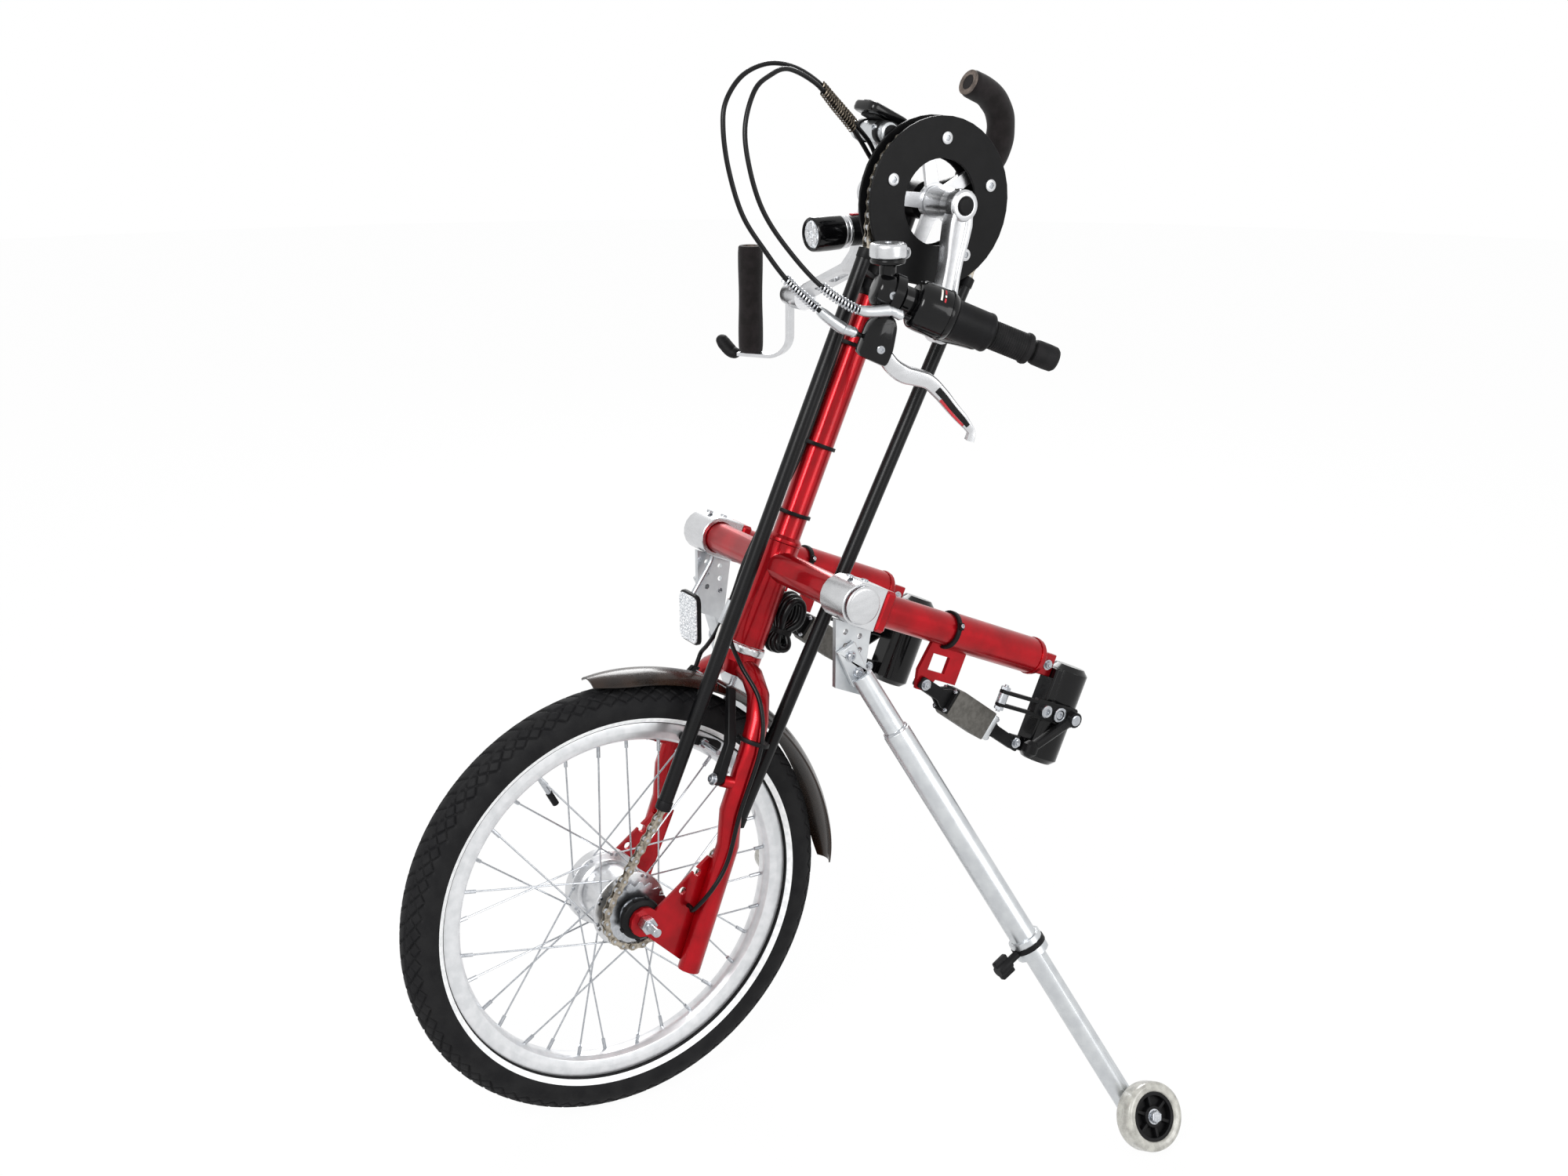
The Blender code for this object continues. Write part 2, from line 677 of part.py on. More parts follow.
def toothed_outline(teeth, radius):
    """A chain wheel's edge, four points a tooth, with a tip midway between two rollers."""
    points = []
    for i in range(teeth):
        for share, reach in ((-0.5, -TOOTH_ROOT), (-0.12, TOOTH_TIP), (0.12, TOOTH_TIP)):
            turn = 2 * math.pi * (i + share) / teeth
            points.append(((radius + reach) * math.cos(turn), (radius + reach) * math.sin(turn)))
    return points


def sprocket(body):
    centre = WHEEL_CENTRE + ACROSS * CHAIN_LINE
    first = Vector((0, 1, 0))
    second = Vector((0, 0, 1))
    disc = slab(toothed_outline(SPROCKET_TEETH, SPROCKET_RADIUS), first, second, 2 * TOOTH_HALF_THICKNESS,
                centre)
    inner = FLANGE_OFFSET + FLANGE_THICKNESS / 2 + SEAT
    boss = rod(WHEEL_CENTRE + ACROSS * inner, centre + ACROSS * (SPIDER_THICKNESS / 2), SPIDER_HUB_RADIUS,
               sides=20)
    bore = rod(WHEEL_CENTRE, centre + ACROSS * (SPIDER_THICKNESS / 2 + CUT_OVERRUN), AXLE_RADIUS + RUNNING,
               sides=16)
    piece("sprocket", disc, "steel", body, add=[boss], cut=[bore])


def hex_points(radius):
    return [(radius * math.cos(math.radians(60 * i)),
             radius * math.sin(math.radians(60 * i))) for i in range(6)]


def wheel_axle(body):
    """The fixed axle with a nut outside each dropout."""
    bar = rod(WHEEL_CENTRE - ACROSS * AXLE_HALF_LENGTH, WHEEL_CENTRE + ACROSS * AXLE_HALF_LENGTH, AXLE_RADIUS)
    outside = DROPOUT_OFFSET + DROPOUT_THICKNESS / 2 + SEAT
    nuts = []
    for side in (-1, 1):
        middle = WHEEL_CENTRE + ACROSS * (side * (outside + AXLE_NUT_LENGTH / 2))
        nuts.append(slab(hex_points(AXLE_NUT_RADIUS), Vector((0, 1, 0)), Vector((0, 0, 1)), AXLE_NUT_LENGTH,
                         middle))
    piece("wheel_axle", bar, "steel", body, add=nuts)


def blade_path(side):
    """The fork blade's line from the crown to its open lower end."""
    top = -HEAD_LENGTH - BEARING_RING_LENGTH - CROWN_DROP / 2
    return [on_axis(side * BLADE_RADIUS * 0.3, 0, top),
            on_axis(side * BLADE_OFFSET * 0.42, 0, top - CROWN_DROP * 0.25),
            on_axis(side * BLADE_OFFSET * 0.72, 0, top - CROWN_DROP * 0.8),
            on_axis(side * BLADE_OFFSET * 0.92, 0, top - CROWN_DROP * 1.8),
            on_axis(side * BLADE_OFFSET, 0, top - BLADE_SHOULDER_DROP),
            on_axis(side * BLADE_OFFSET, BLADE_KNEE_SETBACK * 0.2, top - BLADE_KNEE_DROP * 0.8),
            on_axis(side * BLADE_OFFSET, BLADE_KNEE_SETBACK, top - BLADE_KNEE_DROP),
            on_axis(side * BLADE_OFFSET, BLADE_END_SETBACK, top - BLADE_END_DROP)]


def axle_in_frame():
    """The wheel centre measured behind and along the steering line."""
    away = WHEEL_CENTRE - JUNCTION
    return away.dot(BACK), away.dot(UPWARD)


def dropout(side):
    """A plate from the blade's lower end forward to the axle, as (back, up) points."""
    back, up = axle_in_frame()
    top = -HEAD_LENGTH - BEARING_RING_LENGTH - CROWN_DROP / 2
    end = top - BLADE_END_DROP
    reach = BLADE_END_SETBACK + BLADE_RADIUS * 0.4
    outline = [(reach, end + WELD), (reach, up + 0.9 * (top - BLADE_KNEE_DROP - up))]
    outline += [(BLADE_KNEE_SETBACK - BLADE_RADIUS * 0.6, up + 0.9 * (top - BLADE_KNEE_DROP - up))]
    for degrees in range(60, 301, 30):
        turn = math.radians(degrees)
        outline.append((back + DROPOUT_EYE_RADIUS * math.cos(turn), up + DROPOUT_EYE_RADIUS * math.sin(turn)))
    centre = on_axis(side * DROPOUT_OFFSET, 0, 0)
    return slab(outline, BACK, UPWARD, DROPOUT_THICKNESS, centre)


def fork(body):
    """A crown under the lower bearing, two curved blades, dropout plates and brake bosses."""
    under = -HEAD_LENGTH - BEARING_RING_LENGTH - SEAT
    crown = stepped(on_axis(0, 0, under), -UPWARD,
                    [(0, BEARING_RING_RADIUS), (CROWN_DROP * 0.4, BEARING_RING_RADIUS),
                     (CROWN_DROP, HEAD_RADIUS * 0.8)])
    back, up = axle_in_frame()
    added = []
    holes = []
    for side in (-1, 1):
        added.append(pipe(blade_path(side), BLADE_RADIUS, sides=12, hint=ACROSS))
        added.append(dropout(side))
        boss_at = on_axis(side * BLADE_OFFSET, 0, under - BRAKE_BOSS_DROP)
        added.append(rod(boss_at, boss_at - BACK * BRAKE_BOSS_FORWARD, BRAKE_BOSS_RADIUS, sides=12))
        plate = on_axis(side * DROPOUT_OFFSET, 0, 0)
        reach = ACROSS * (DROPOUT_THICKNESS / 2 + CUT_OVERRUN)
        eye = plate + BACK * back + UPWARD * up
        holes.append(rod(eye - reach, eye + reach, AXLE_RADIUS + SEAT, sides=16))
        for share in (0.36, 0.56, 0.76):
            spot = plate + BACK * (back * (1 - share) + BLADE_KNEE_SETBACK * 0.2 * share)
            spot = spot + UPWARD * (up * (1 - share) + (under - BLADE_KNEE_DROP) * share)
            spot = spot + BACK * DROPOUT_HOLE_INSET
            holes.append(rod(spot - reach, spot + reach, DROPOUT_HOLE_RADIUS, sides=12))
    piece("fork", crown, "red_enamel", body, add=added, cut=holes)


def cross_tube(body):
    """The cross tube with the head tube welded under it and a bearing ring at each end of the head."""
    half = CROSS_HALF_LENGTH
    tube = rod(on_axis(-half, 0, 0), on_axis(half, 0, 0), CROSS_RADIUS, sides=20)
    top = CROSS_RADIUS + BEARING_RING_LENGTH
    head = stepped(on_axis(0, 0, top), -UPWARD,
                   [(0, HEAD_RADIUS), (top + HEAD_LENGTH, HEAD_RADIUS)], sides=20)
    ring = rod(on_axis(0, 0, -HEAD_LENGTH + WELD), on_axis(0, 0, -HEAD_LENGTH - BEARING_RING_LENGTH),
               BEARING_RING_RADIUS, sides=20)
    piece("cross_tube", tube, "red_enamel", body, add=[head, ring])


def mast(body):
    """The red lower mast, standing on the upper bearing."""
    low = CROSS_RADIUS + BEARING_RING_LENGTH + SEAT
    foot = stepped(on_axis(0, 0, low), UPWARD,
                   [(0, HEAD_RADIUS), (BEARING_RING_LENGTH / 2, HEAD_RADIUS),
                    (BEARING_RING_LENGTH, MAST_RADIUS),
                    (MAST_LENGTH, MAST_RADIUS)], sides=20)
    piece("mast", foot, "red_enamel", body)


def mast_head(body):
    """The black upper mast: a clamping cone, a stem and the crank's bearing shell."""
    low = CROSS_RADIUS + BEARING_RING_LENGTH + 2 * SEAT + MAST_LENGTH
    stem = stepped(on_axis(0, 0, low), UPWARD,
                   [(0, MAST_RADIUS), (MAST_CONE_LENGTH * 0.2, MAST_HEAD_RADIUS),
                    (MAST_CONE_LENGTH, MAST_HEAD_RADIUS),
                    (MAST_CONE_LENGTH * 1.3, MAST_RADIUS * 0.95),
                    (CRANK_HEIGHT_ON_AXIS - low, MAST_RADIUS * 0.9)],
                   sides=20)
    half = ACROSS * BOTTOM_SHELL_HALF_WIDTH
    shell = rod(CRANK_CENTRE - half, CRANK_CENTRE + half, BOTTOM_SHELL_RADIUS, sides=20)
    reach = ACROSS * (BOTTOM_SHELL_HALF_WIDTH + CUT_OVERRUN)
    bore = rod(CRANK_CENTRE - reach, CRANK_CENTRE + reach, CRANK_AXLE_RADIUS + RUNNING, sides=16)
    brackets = [shell]
    for is_front in (True, False):
        top, low_end = tube_line(is_front)
        share = (TUBE_BRACKET_UP - flat(top)[1]) / (flat(low_end)[1] - flat(top)[1])
        on_tube = top + (low_end - top) * share
        root = on_axis(0, 0, TUBE_BRACKET_UP)
        gap = CHAIN_TUBE_RADIUS + SEAT
        brackets.append(rod(root, on_tube - (on_tube - root).normalized() * gap, TUBE_BRACKET_RADIUS,
                            sides=10))
    piece("mast_head", stem, "black_metal", body, add=brackets, cut=[bore])


def tube_line(is_front):
    """Top and bottom of a chain tube; the top stops short of the turning guard discs."""
    top_back = -FRONT_TUBE_TOP_FORWARD if is_front else REAR_TUBE_TOP_BACK
    end_back = -FRONT_TUBE_END_FORWARD if is_front else REAR_TUBE_END_BACK
    high = on_axis(CHAIN_LINE, top_back, CRANK_HEIGHT_ON_AXIS)
    low = on_axis(CHAIN_LINE, end_back, -CHAIN_TUBE_END_DROP)
    centre = CRANK_CENTRE + ACROSS * CHAIN_LINE
    along = (low - high).normalized()
    offset = high - centre
    middle = offset.dot(along)
    keep = GUARD_RADIUS + TUBE_TOP_CLEARANCE
    run = -middle + math.sqrt(middle ** 2 - offset.length_squared + keep ** 2)
    return high + along * run, low


def chain_tube(name, is_front, body):
    """A guide tube that the chain runs through."""
    top, low = tube_line(is_front)
    axis = low - top
    length = axis.length
    inner = CHAIN_TUBE_RADIUS - CHAIN_TUBE_WALL
    profile = [(inner, 0), (inner, length), (CHAIN_TUBE_RADIUS, length), (CHAIN_TUBE_RADIUS, 0)]
    piece(name, turned_ring(top, axis, profile, 16), "black_plastic", body)


def touch(centre, radius, outside, sign):
    """Angle on a circle in the (back, up) plane where the line to an outside point is a tangent."""
    away = (outside[0] - centre[0], outside[1] - centre[1])
    distance = math.hypot(*away)
    return math.atan2(away[1], away[0]) + sign * math.acos(radius / distance)


def flat(point):
    """A world point as (back, up) in the steering frame."""
    away = point - JUNCTION
    return away.dot(BACK), away.dot(UPWARD)


def chain_stations():
    """The chain's line as (back, up, half height) stations, two a link where it shows."""
    ring = flat(CRANK_CENTRE)
    cog = flat(WHEEL_CENTRE)
    front_top, front_low = (flat(p) for p in tube_line(True))
    rear_top, rear_low = (flat(p) for p in tube_line(False))
    stations = []

    def arc(centre, radius, start, end):
        sweep = (end - start) % (2 * math.pi)
        links = max(2, round(sweep * radius / CHAIN_PITCH))
        for i in range(2 * links + 1):
            turn = start + sweep * i / (2 * links)
            reach = PLATE_HALF_HEIGHT if i % 2 == 0 else PLATE_WAIST_HALF_HEIGHT
            stations.append((centre[0] + radius * math.cos(turn), centre[1] + radius * math.sin(turn), reach))

    def line(start, end):
        distance = math.dist(start, end)
        links = max(1, round(distance / CHAIN_PITCH))
        for i in range(1, 2 * links):
            share = i / (2 * links)
            reach = PLATE_HALF_HEIGHT if i % 2 == 0 else PLATE_WAIST_HALF_HEIGHT
            stations.append((start[0] + (end[0] - start[0]) * share, start[1] + (end[1] - start[1]) * share,
                             reach))

    def on_circle(centre, radius, turn):
        return centre[0] + radius * math.cos(turn), centre[1] + radius * math.sin(turn)

    rear_turn = touch(ring, RING_RADIUS, rear_top, 1)
    front_turn = touch(ring, RING_RADIUS, front_top, -1)
    arc(ring, RING_RADIUS, rear_turn, front_turn)
    line(on_circle(ring, RING_RADIUS, front_turn), front_top)
    stations.append((*front_top, PLATE_HALF_HEIGHT))
    stations.append((*front_low, PLATE_HALF_HEIGHT))
    front_cog = touch(cog, SPROCKET_RADIUS, front_low, 1)
    rear_cog = touch(cog, SPROCKET_RADIUS, rear_low, -1)
    line(front_low, on_circle(cog, SPROCKET_RADIUS, front_cog))
    arc(cog, SPROCKET_RADIUS, front_cog, rear_cog)
    line(on_circle(cog, SPROCKET_RADIUS, rear_cog), rear_low)
    stations.append((*rear_low, PLATE_HALF_HEIGHT))
    stations.append((*rear_top, PLATE_HALF_HEIGHT))
    line(rear_top, on_circle(ring, RING_RADIUS, rear_turn))
    return stations


def chain(body):
    """One endless chain: two rows of waisted link plates, bridged outside the pitch line, open to the teeth."""
    stations = chain_stations()
    rings = []
    for i, (back, up, reach) in enumerate(stations):
        before = stations[i - 1]
        after = stations[(i + 1) % len(stations)]
        along = Vector((after[0] - before[0], after[1] - before[1])).normalized()
        out = BACK * along[1] - UPWARD * along[0]
        centre = on_axis(CHAIN_LINE, back, up)
        wide = CHAIN_HALF_WIDTH
        slot = CHAIN_SLOT_HALF_WIDTH
        section = [(-wide, reach), (wide, reach), (wide, -reach), (slot, -reach), (slot, CHAIN_SLOT_TOP),
                   (-slot, CHAIN_SLOT_TOP), (-slot, -reach), (-wide, -reach)]
        rings.append([centre + ACROSS * a + out * b for a, b in section])
    piece("chain", skin(rings, closed_path=True), "steel", body)


def chainring(body):
    """The toothed ring on its five-armed spider, with the spacers that hold the guard discs."""
    centre = CRANK_CENTRE + ACROSS * CHAIN_LINE
    first = Vector((0, 1, 0))
    second = Vector((0, 0, 1))
    disc = slab(toothed_outline(RING_TEETH, RING_RADIUS), first, second, 2 * TOOTH_HALF_THICKNESS, centre)
    opening = rod(centre - ACROSS * SPIDER_THICKNESS, centre + ACROSS * SPIDER_THICKNESS, RING_INNER_RADIUS,
                  sides=40)
    blank = piece("chainring", disc, "silver", body, cut=[opening])
    arms = [rod(centre - ACROSS * SPIDER_THICKNESS / 2, centre + ACROSS * SPIDER_THICKNESS / 2,
                SPIDER_HUB_RADIUS,
                sides=20)]
    spread = CHAIN_HALF_WIDTH + GUARD_CLEARANCE - SEAT
    for i in range(SPIDER_ARMS):
        turn = math.radians(90) + CRANK_SWING + 2 * math.pi * i / SPIDER_ARMS
        out = first * math.cos(turn) + second * math.sin(turn)
        aside = ACROSS.cross(out)
        reach = GUARD_BOLT_CIRCLE
        taper = [(SPIDER_HUB_RADIUS * 0.6, -SPIDER_ARM_HALF_WIDTH * 1.3), (reach, -SPIDER_ARM_HALF_WIDTH),
                 (reach + SPIDER_ARM_HALF_WIDTH * 0.6, 0), (reach, SPIDER_ARM_HALF_WIDTH),
                 (SPIDER_HUB_RADIUS * 0.6, SPIDER_ARM_HALF_WIDTH * 1.3)]
        arms.append(slab(taper, out, aside, SPIDER_THICKNESS * 0.9, centre))
        at = centre + out * GUARD_BOLT_CIRCLE
        arms.append(rod(at - ACROSS * spread, at + ACROSS * spread, GUARD_SPACER_RADIUS, sides=12))
    weld = blank.modifiers.new("spider", "BOOLEAN")
    weld.operation = "UNION"
    weld.use_self = True
    weld.object = helper("chainring_spider", merged(arms))
    bore = blank.modifiers.new("bore", "BOOLEAN")
    bore.operation = "DIFFERENCE"
    bore.object = helper("chainring_bore", rod(centre - ACROSS * SPIDER_THICKNESS,
                                               centre + ACROSS * SPIDER_THICKNESS,
                                               CRANK_AXLE_RADIUS + SEAT, sides=16))


def guard_disc(name, side, body):
    inner_face = CHAIN_LINE + side * (CHAIN_HALF_WIDTH + GUARD_CLEARANCE)
    profile = [(GUARD_HOLE_RADIUS, 0), (GUARD_RADIUS, 0), (GUARD_RADIUS, GUARD_THICKNESS),
               (GUARD_HOLE_RADIUS, GUARD_THICKNESS)]
    piece(name, turned_ring(CRANK_CENTRE + ACROSS * inner_face, ACROSS * side, profile, 40), "black_plastic",
          body)


def crank_left(body):
    """The drive-side crank: a tall boss through the guard's hole and a tapered arm with its pin."""
    inside = CHAIN_LINE + SPIDER_THICKNESS / 2 + SEAT
    boss = stepped(CRANK_CENTRE + ACROSS * inside, ACROSS,
                   [(0, CRANK_BOSS_RADIUS), (CRANK_ARM_INNER - inside, CRANK_BOSS_RADIUS),
                    (CRANK_OUTER - inside, CRANK_BOSS_RADIUS * 0.88)], sides=20)
    aside = ACROSS.cross(CRANK_DOWN)
    middle = (CRANK_ARM_INNER + CRANK_OUTER - WELD) / 2
    half = CRANK_ARM_WIDTH / 2
    outline = [(0, -half * 1.2), (CRANK_LENGTH * 0.5, -half * 0.85), (CRANK_LENGTH, -CRANK_END_RADIUS)]
    for degrees in range(-60, 61, 30):
        turn = math.radians(degrees)
        outline.append((CRANK_LENGTH + CRANK_END_RADIUS * math.cos(turn), CRANK_END_RADIUS * math.sin(turn)))
    outline += [(CRANK_LENGTH, CRANK_END_RADIUS), (CRANK_LENGTH * 0.5, half * 0.85), (0, half * 1.2)]
    arm = slab(outline, CRANK_DOWN, aside, CRANK_OUTER - CRANK_ARM_INNER - 2 * WELD,
               CRANK_CENTRE + ACROSS * middle)
    pin = rod(PIN_CENTRE + ACROSS * CRANK_ARM_INNER, PIN_CENTRE + ACROSS * (LEFT_BOSS_END + WELD),
              PIN_RADIUS, sides=16)
    piece("crank_left", boss, "silver", body, add=[arm, pin])


def crank_right(body):
    """The far crank with the axle: a flat bar that bends outward to the handle's pin."""
    low = -RIGHT_CRANK_INNER
    axle = rod(CRANK_CENTRE + ACROSS * (low - WELD),
               CRANK_CENTRE + ACROSS * (CHAIN_LINE + SPIDER_THICKNESS / 2),
               CRANK_AXLE_RADIUS, sides=16)
    boss = rod(CRANK_CENTRE + ACROSS * (low - 2 * RIGHT_BAR_THICKNESS),
               CRANK_CENTRE + ACROSS * (low + RIGHT_BAR_THICKNESS),
               CRANK_BOSS_RADIUS, sides=20)
    shares = [(0, low - RIGHT_BAR_THICKNESS), (0.52, low - 1.6 * RIGHT_BAR_THICKNESS),
              (0.66, low - 3.4 * RIGHT_BAR_THICKNESS), (0.97, -RIGHT_PIN_OFFSET + 1.2 * RIGHT_BAR_THICKNESS),
              (1.06, -RIGHT_PIN_OFFSET + 0.2 * RIGHT_BAR_THICKNESS)]
    path = [CRANK_CENTRE + CRANK_DOWN * (CRANK_LENGTH * share) + ACROSS * x for share, x in shares]
    aside = ACROSS.cross(CRANK_DOWN).normalized()
    rings = []
    for i, point in enumerate(path):
        along = (path[min(i + 1, len(path) - 1)] - path[max(i - 1, 0)]).normalized()
        normal = along.cross(aside).normalized()
        half = RIGHT_BAR_THICKNESS / 2
        wide = RIGHT_BAR_WIDTH / 2
        rings.append([point + normal * half + aside * wide, point + normal * half - aside * wide,
                      point - normal * half - aside * wide, point - normal * half + aside * wide])
    slope = path[3] - path[2]
    facing = slope.cross(aside).normalized()
    slot_outline = rounded_outline(RIGHT_SLOT_LENGTH / 2, RIGHT_SLOT_WIDTH / 2, RIGHT_SLOT_WIDTH / 2 - CUT_OVERRUN)
    slot = slab(slot_outline, slope, aside, 2 * RIGHT_BAR_THICKNESS, path[2] + slope * RIGHT_SLOT_SHARE)
    at_hole = path[2] + slope * RIGHT_HOLE_SHARE
    hole = rod(at_hole - facing * RIGHT_BAR_THICKNESS, at_hole + facing * RIGHT_BAR_THICKNESS,
               RIGHT_HOLE_RADIUS, sides=14)
    end = PIN_CENTRE - ACROSS * RIGHT_PIN_OFFSET
    eye = rod(end + ACROSS * 2 * RIGHT_BAR_THICKNESS, end - ACROSS * RIGHT_BAR_THICKNESS / 2,
              RIGHT_BOSS_RADIUS, sides=16)
    pin = rod(end, end - ACROSS * 3 * RIGHT_BAR_THICKNESS, PIN_RADIUS, sides=16)
    piece("crank_right", axle, "silver", body, add=[boss, skin(rings), eye, pin], cut=[slot, hole])


def from_pin(x, back, up):
    return PIN_CENTRE + Vector((x, back, up))


def left_bar():
    """The left bar's knuckle, its aim, and the unit vectors up and outward from it."""
    aim = Vector(BAR_AIM_SHARES).normalized()
    knuckle = from_pin(BAR_OFFSET, 0, BAR_RISE) - aim * BAR_AHEAD_OF_PIN
    up = side_vectors(aim)[0]
    return knuckle, aim, up, aim.cross(up)


def handle_left(body):
    """The near handle: a boss on the crank's pin, a knuckle, the twist housing, its collar and the grip."""
    start = CRANK_OUTER + LEFT_BOSS_GAP
    boss = rod(from_pin(start, 0, 0), from_pin(LEFT_BOSS_END + LEFT_BOSS_WALL, 0, 0), LEFT_BOSS_RADIUS)
    knuckle, aim, _, _ = left_bar()
    step = KNUCKLE_RADIUS * 0.1
    bar = stepped(knuckle, aim,
                  [(-KNUCKLE_HALF_LENGTH, KNUCKLE_RADIUS * 0.85),
                   (step - KNUCKLE_HALF_LENGTH, KNUCKLE_RADIUS),
                   (KNUCKLE_HALF_LENGTH, KNUCKLE_RADIUS), (KNUCKLE_HALF_LENGTH + step, NECK_RADIUS),
                   (SHIFTER_START - step, NECK_RADIUS), (SHIFTER_START, SHIFTER_RADIUS),
                   (SHIFTER_END - step, SHIFTER_RADIUS), (SHIFTER_END, GRIP_COLLAR_RADIUS),
                   (GRIP_START - step, GRIP_COLLAR_RADIUS), (GRIP_START, GRIP_RADIUS),
                   (GRIP_END - 2 * step, GRIP_RADIUS), (GRIP_END - step, GRIP_FLARE_RADIUS),
                   (GRIP_END, GRIP_FLARE_RADIUS), (GRIP_END + 2 * step, GRIP_WAIST_RADIUS),
                   (GRIP_END + 4 * step, GRIP_KNOB_RADIUS), (BAR_END, GRIP_KNOB_RADIUS)])
    post = rod(knuckle, knuckle + Vector((0, 0, BELL_POST_HEIGHT)), BELL_POST_RADIUS, sides=12)
    bore = rod(from_pin(start - CUT_OVERRUN, 0, 0), from_pin(LEFT_BOSS_END + 2 * WELD, 0, 0),
               PIN_RADIUS + RUNNING)
    piece("handle_left", bar, "black_plastic", body, add=[boss, post], cut=[bore])


def brake_lever(body):
    """The brake's body under the knuckle and its lever, which runs below the grip."""
    knuckle, aim, up, out = left_bar()
    centre = knuckle + aim * LEVER_BODY_AHEAD - up * (KNUCKLE_RADIUS + SEAT + LEVER_BODY_HEIGHT / 2)
    case = block(centre, aim, up, (LEVER_BODY_LENGTH, LEVER_BODY_HEIGHT, LEVER_BODY_WIDTH), LEVER_BODY_BEVEL)
    shares = [(0.13, 0.52), (0.34, 0.64), (0.53, 0.62), (0.78, 0.77), (0.97, 0.90), (1.0, 1.0)]
    path = [knuckle + aim * (LEVER_REACH * ahead) - up * (LEVER_DROP * down) for ahead, down in shares]
    thick = LEVER_BLADE_RADIUS
    radii = [thick * 1.4, thick * 1.4, thick * 1.4, thick * 1.1, thick * 0.8, thick * 0.9]
    piece("brake_lever", case, "black_metal", body, add=[pipe(path, radii, sides=10, hint=out,
                                                            squash=LEVER_BLADE_FLATNESS_SHARE)])


def bell(body):
    """The bell, upright on its post above the knuckle."""
    knuckle = left_bar()[0]
    base = knuckle + Vector((0, 0, BELL_POST_HEIGHT + SEAT))
    dome = stepped(base, Vector((0, 0, 1)),
                   [(0, BELL_RADIUS * 0.75), (BELL_HEIGHT * 0.15, BELL_RADIUS * 0.96),
                    (BELL_HEIGHT * 0.35, BELL_RADIUS), (BELL_HEIGHT * 0.85, BELL_RADIUS),
                    (BELL_HEIGHT, BELL_RADIUS * 0.85)], sides=20)
    piece("bell", dome, "silver", body)


def handle_right(body):
    """The far handle: a J of flat bar on the crank's pin, the upright foam grip and the pad at the J's end."""
    start = -RIGHT_PIN_OFFSET - RIGHT_BAR_THICKNESS / 2 - LEFT_BOSS_GAP
    boss_end = start - 2.2 * RIGHT_BAR_THICKNESS
    boss = rod(from_pin(start, 0, 0), from_pin(boss_end, 0, 0), RIGHT_BOSS_RADIUS * 0.85, sides=16)
    bore = rod(from_pin(start + CUT_OVERRUN, 0, 0), from_pin(boss_end - CUT_OVERRUN, 0, 0),
               PIN_RADIUS + RUNNING, sides=16)
    grip_low = RIGHT_GRIP_TOP - RIGHT_GRIP_LENGTH - PIN_CENTRE.z
    foot = from_pin(-RIGHT_GRIP_OFFSET, -RIGHT_GRIP_FORWARD, grip_low)
    top = from_pin(boss_end + STRIP_THICKNESS, 0, 0)
    outward = Vector((foot.x - top.x, foot.y - top.y, 0))
    reach = outward.length
    outward.normalize()
    drop = top.z - foot.z + SEAT + STRIP_THICKNESS / 2
    corner = []
    for degrees in range(0, 91, 15):
        turn = math.radians(degrees)
        corner.append((STRIP_BEND * (1 - math.cos(turn)), -drop + STRIP_BEND * (1 - math.sin(turn))))
    line = [(0, 0)] + corner + [(reach, -drop), (reach + RIGHT_GRIP_RADIUS, -drop)]
    aside = outward.cross(Vector((0, 0, 1)))
    strip = strip_along([top + outward * out + Vector((0, 0, up)) for out, up in line], aside)
    piece("bracket_right", boss, "silver", body, add=[strip], cut=[bore])
    stem = stepped(foot, Vector((0, 0, 1)), [(0, RIGHT_GRIP_RADIUS), (RIGHT_GRIP_LENGTH, RIGHT_GRIP_RADIUS)],
                   sides=16)
    piece("grip_right", stem, "foam", body)
    root = reach + RIGHT_GRIP_RADIUS + SEAT
    pad_line = [(0, -drop), (PAD_LENGTH * 0.35, -drop), (PAD_LENGTH * 0.8, -drop + PAD_RISE * 0.55),
                (PAD_LENGTH, -drop + PAD_RISE)]
    spots = [top + outward * (root + out) + Vector((0, 0, up)) for out, up in pad_line]
    radii = [PAD_HALF_WIDTH * share for share in PAD_SHARES]
    piece("grip_pad_right", pipe(spots, radii, sides=14, hint=aside, squash=PAD_FLATNESS_SHARE), "rubber", body)


def strip_along(points, aside):
    """A flat bar bent along points, its width along aside."""
    rings = []
    for i, point in enumerate(points):
        along = (points[min(i + 1, len(points) - 1)] - points[max(i - 1, 0)]).normalized()
        normal = along.cross(aside).normalized() * (STRIP_THICKNESS / 2)
        half = aside.normalized() * (STRIP_WIDTH / 2)
        rings.append([point + normal + half, point + normal - half, point - normal - half, point - normal + half])
    return skin(rings)


def sided(name, side):
    return name + ("_left" if side > 0 else "_right")


def strap(side, body):
    """A silver block, round at the front, that clasps the cross tube's end."""
    radius = CROSS_RADIUS + SEAT + STRAP_THICKNESS
    outline = []
    for degrees in range(90, 271, 20):
        turn = math.radians(degrees)
        outline.append((radius * math.cos(turn), radius * math.sin(turn)))
    rear = ARM_START - SEAT
    outline += [(rear, -radius), (rear, radius)]
    centre = on_axis(side * ARM_OFFSET, 0, 0)
    bored = rod(centre - ACROSS * (STRAP_HALF_WIDTH + CUT_OVERRUN),
                centre + ACROSS * (STRAP_HALF_WIDTH + CUT_OVERRUN),
                CROSS_RADIUS + SEAT, sides=20)
    piece(sided("strap", side), slab(outline, BACK, UPWARD, 2 * STRAP_HALF_WIDTH, centre), "silver", body,
          cut=[bored])


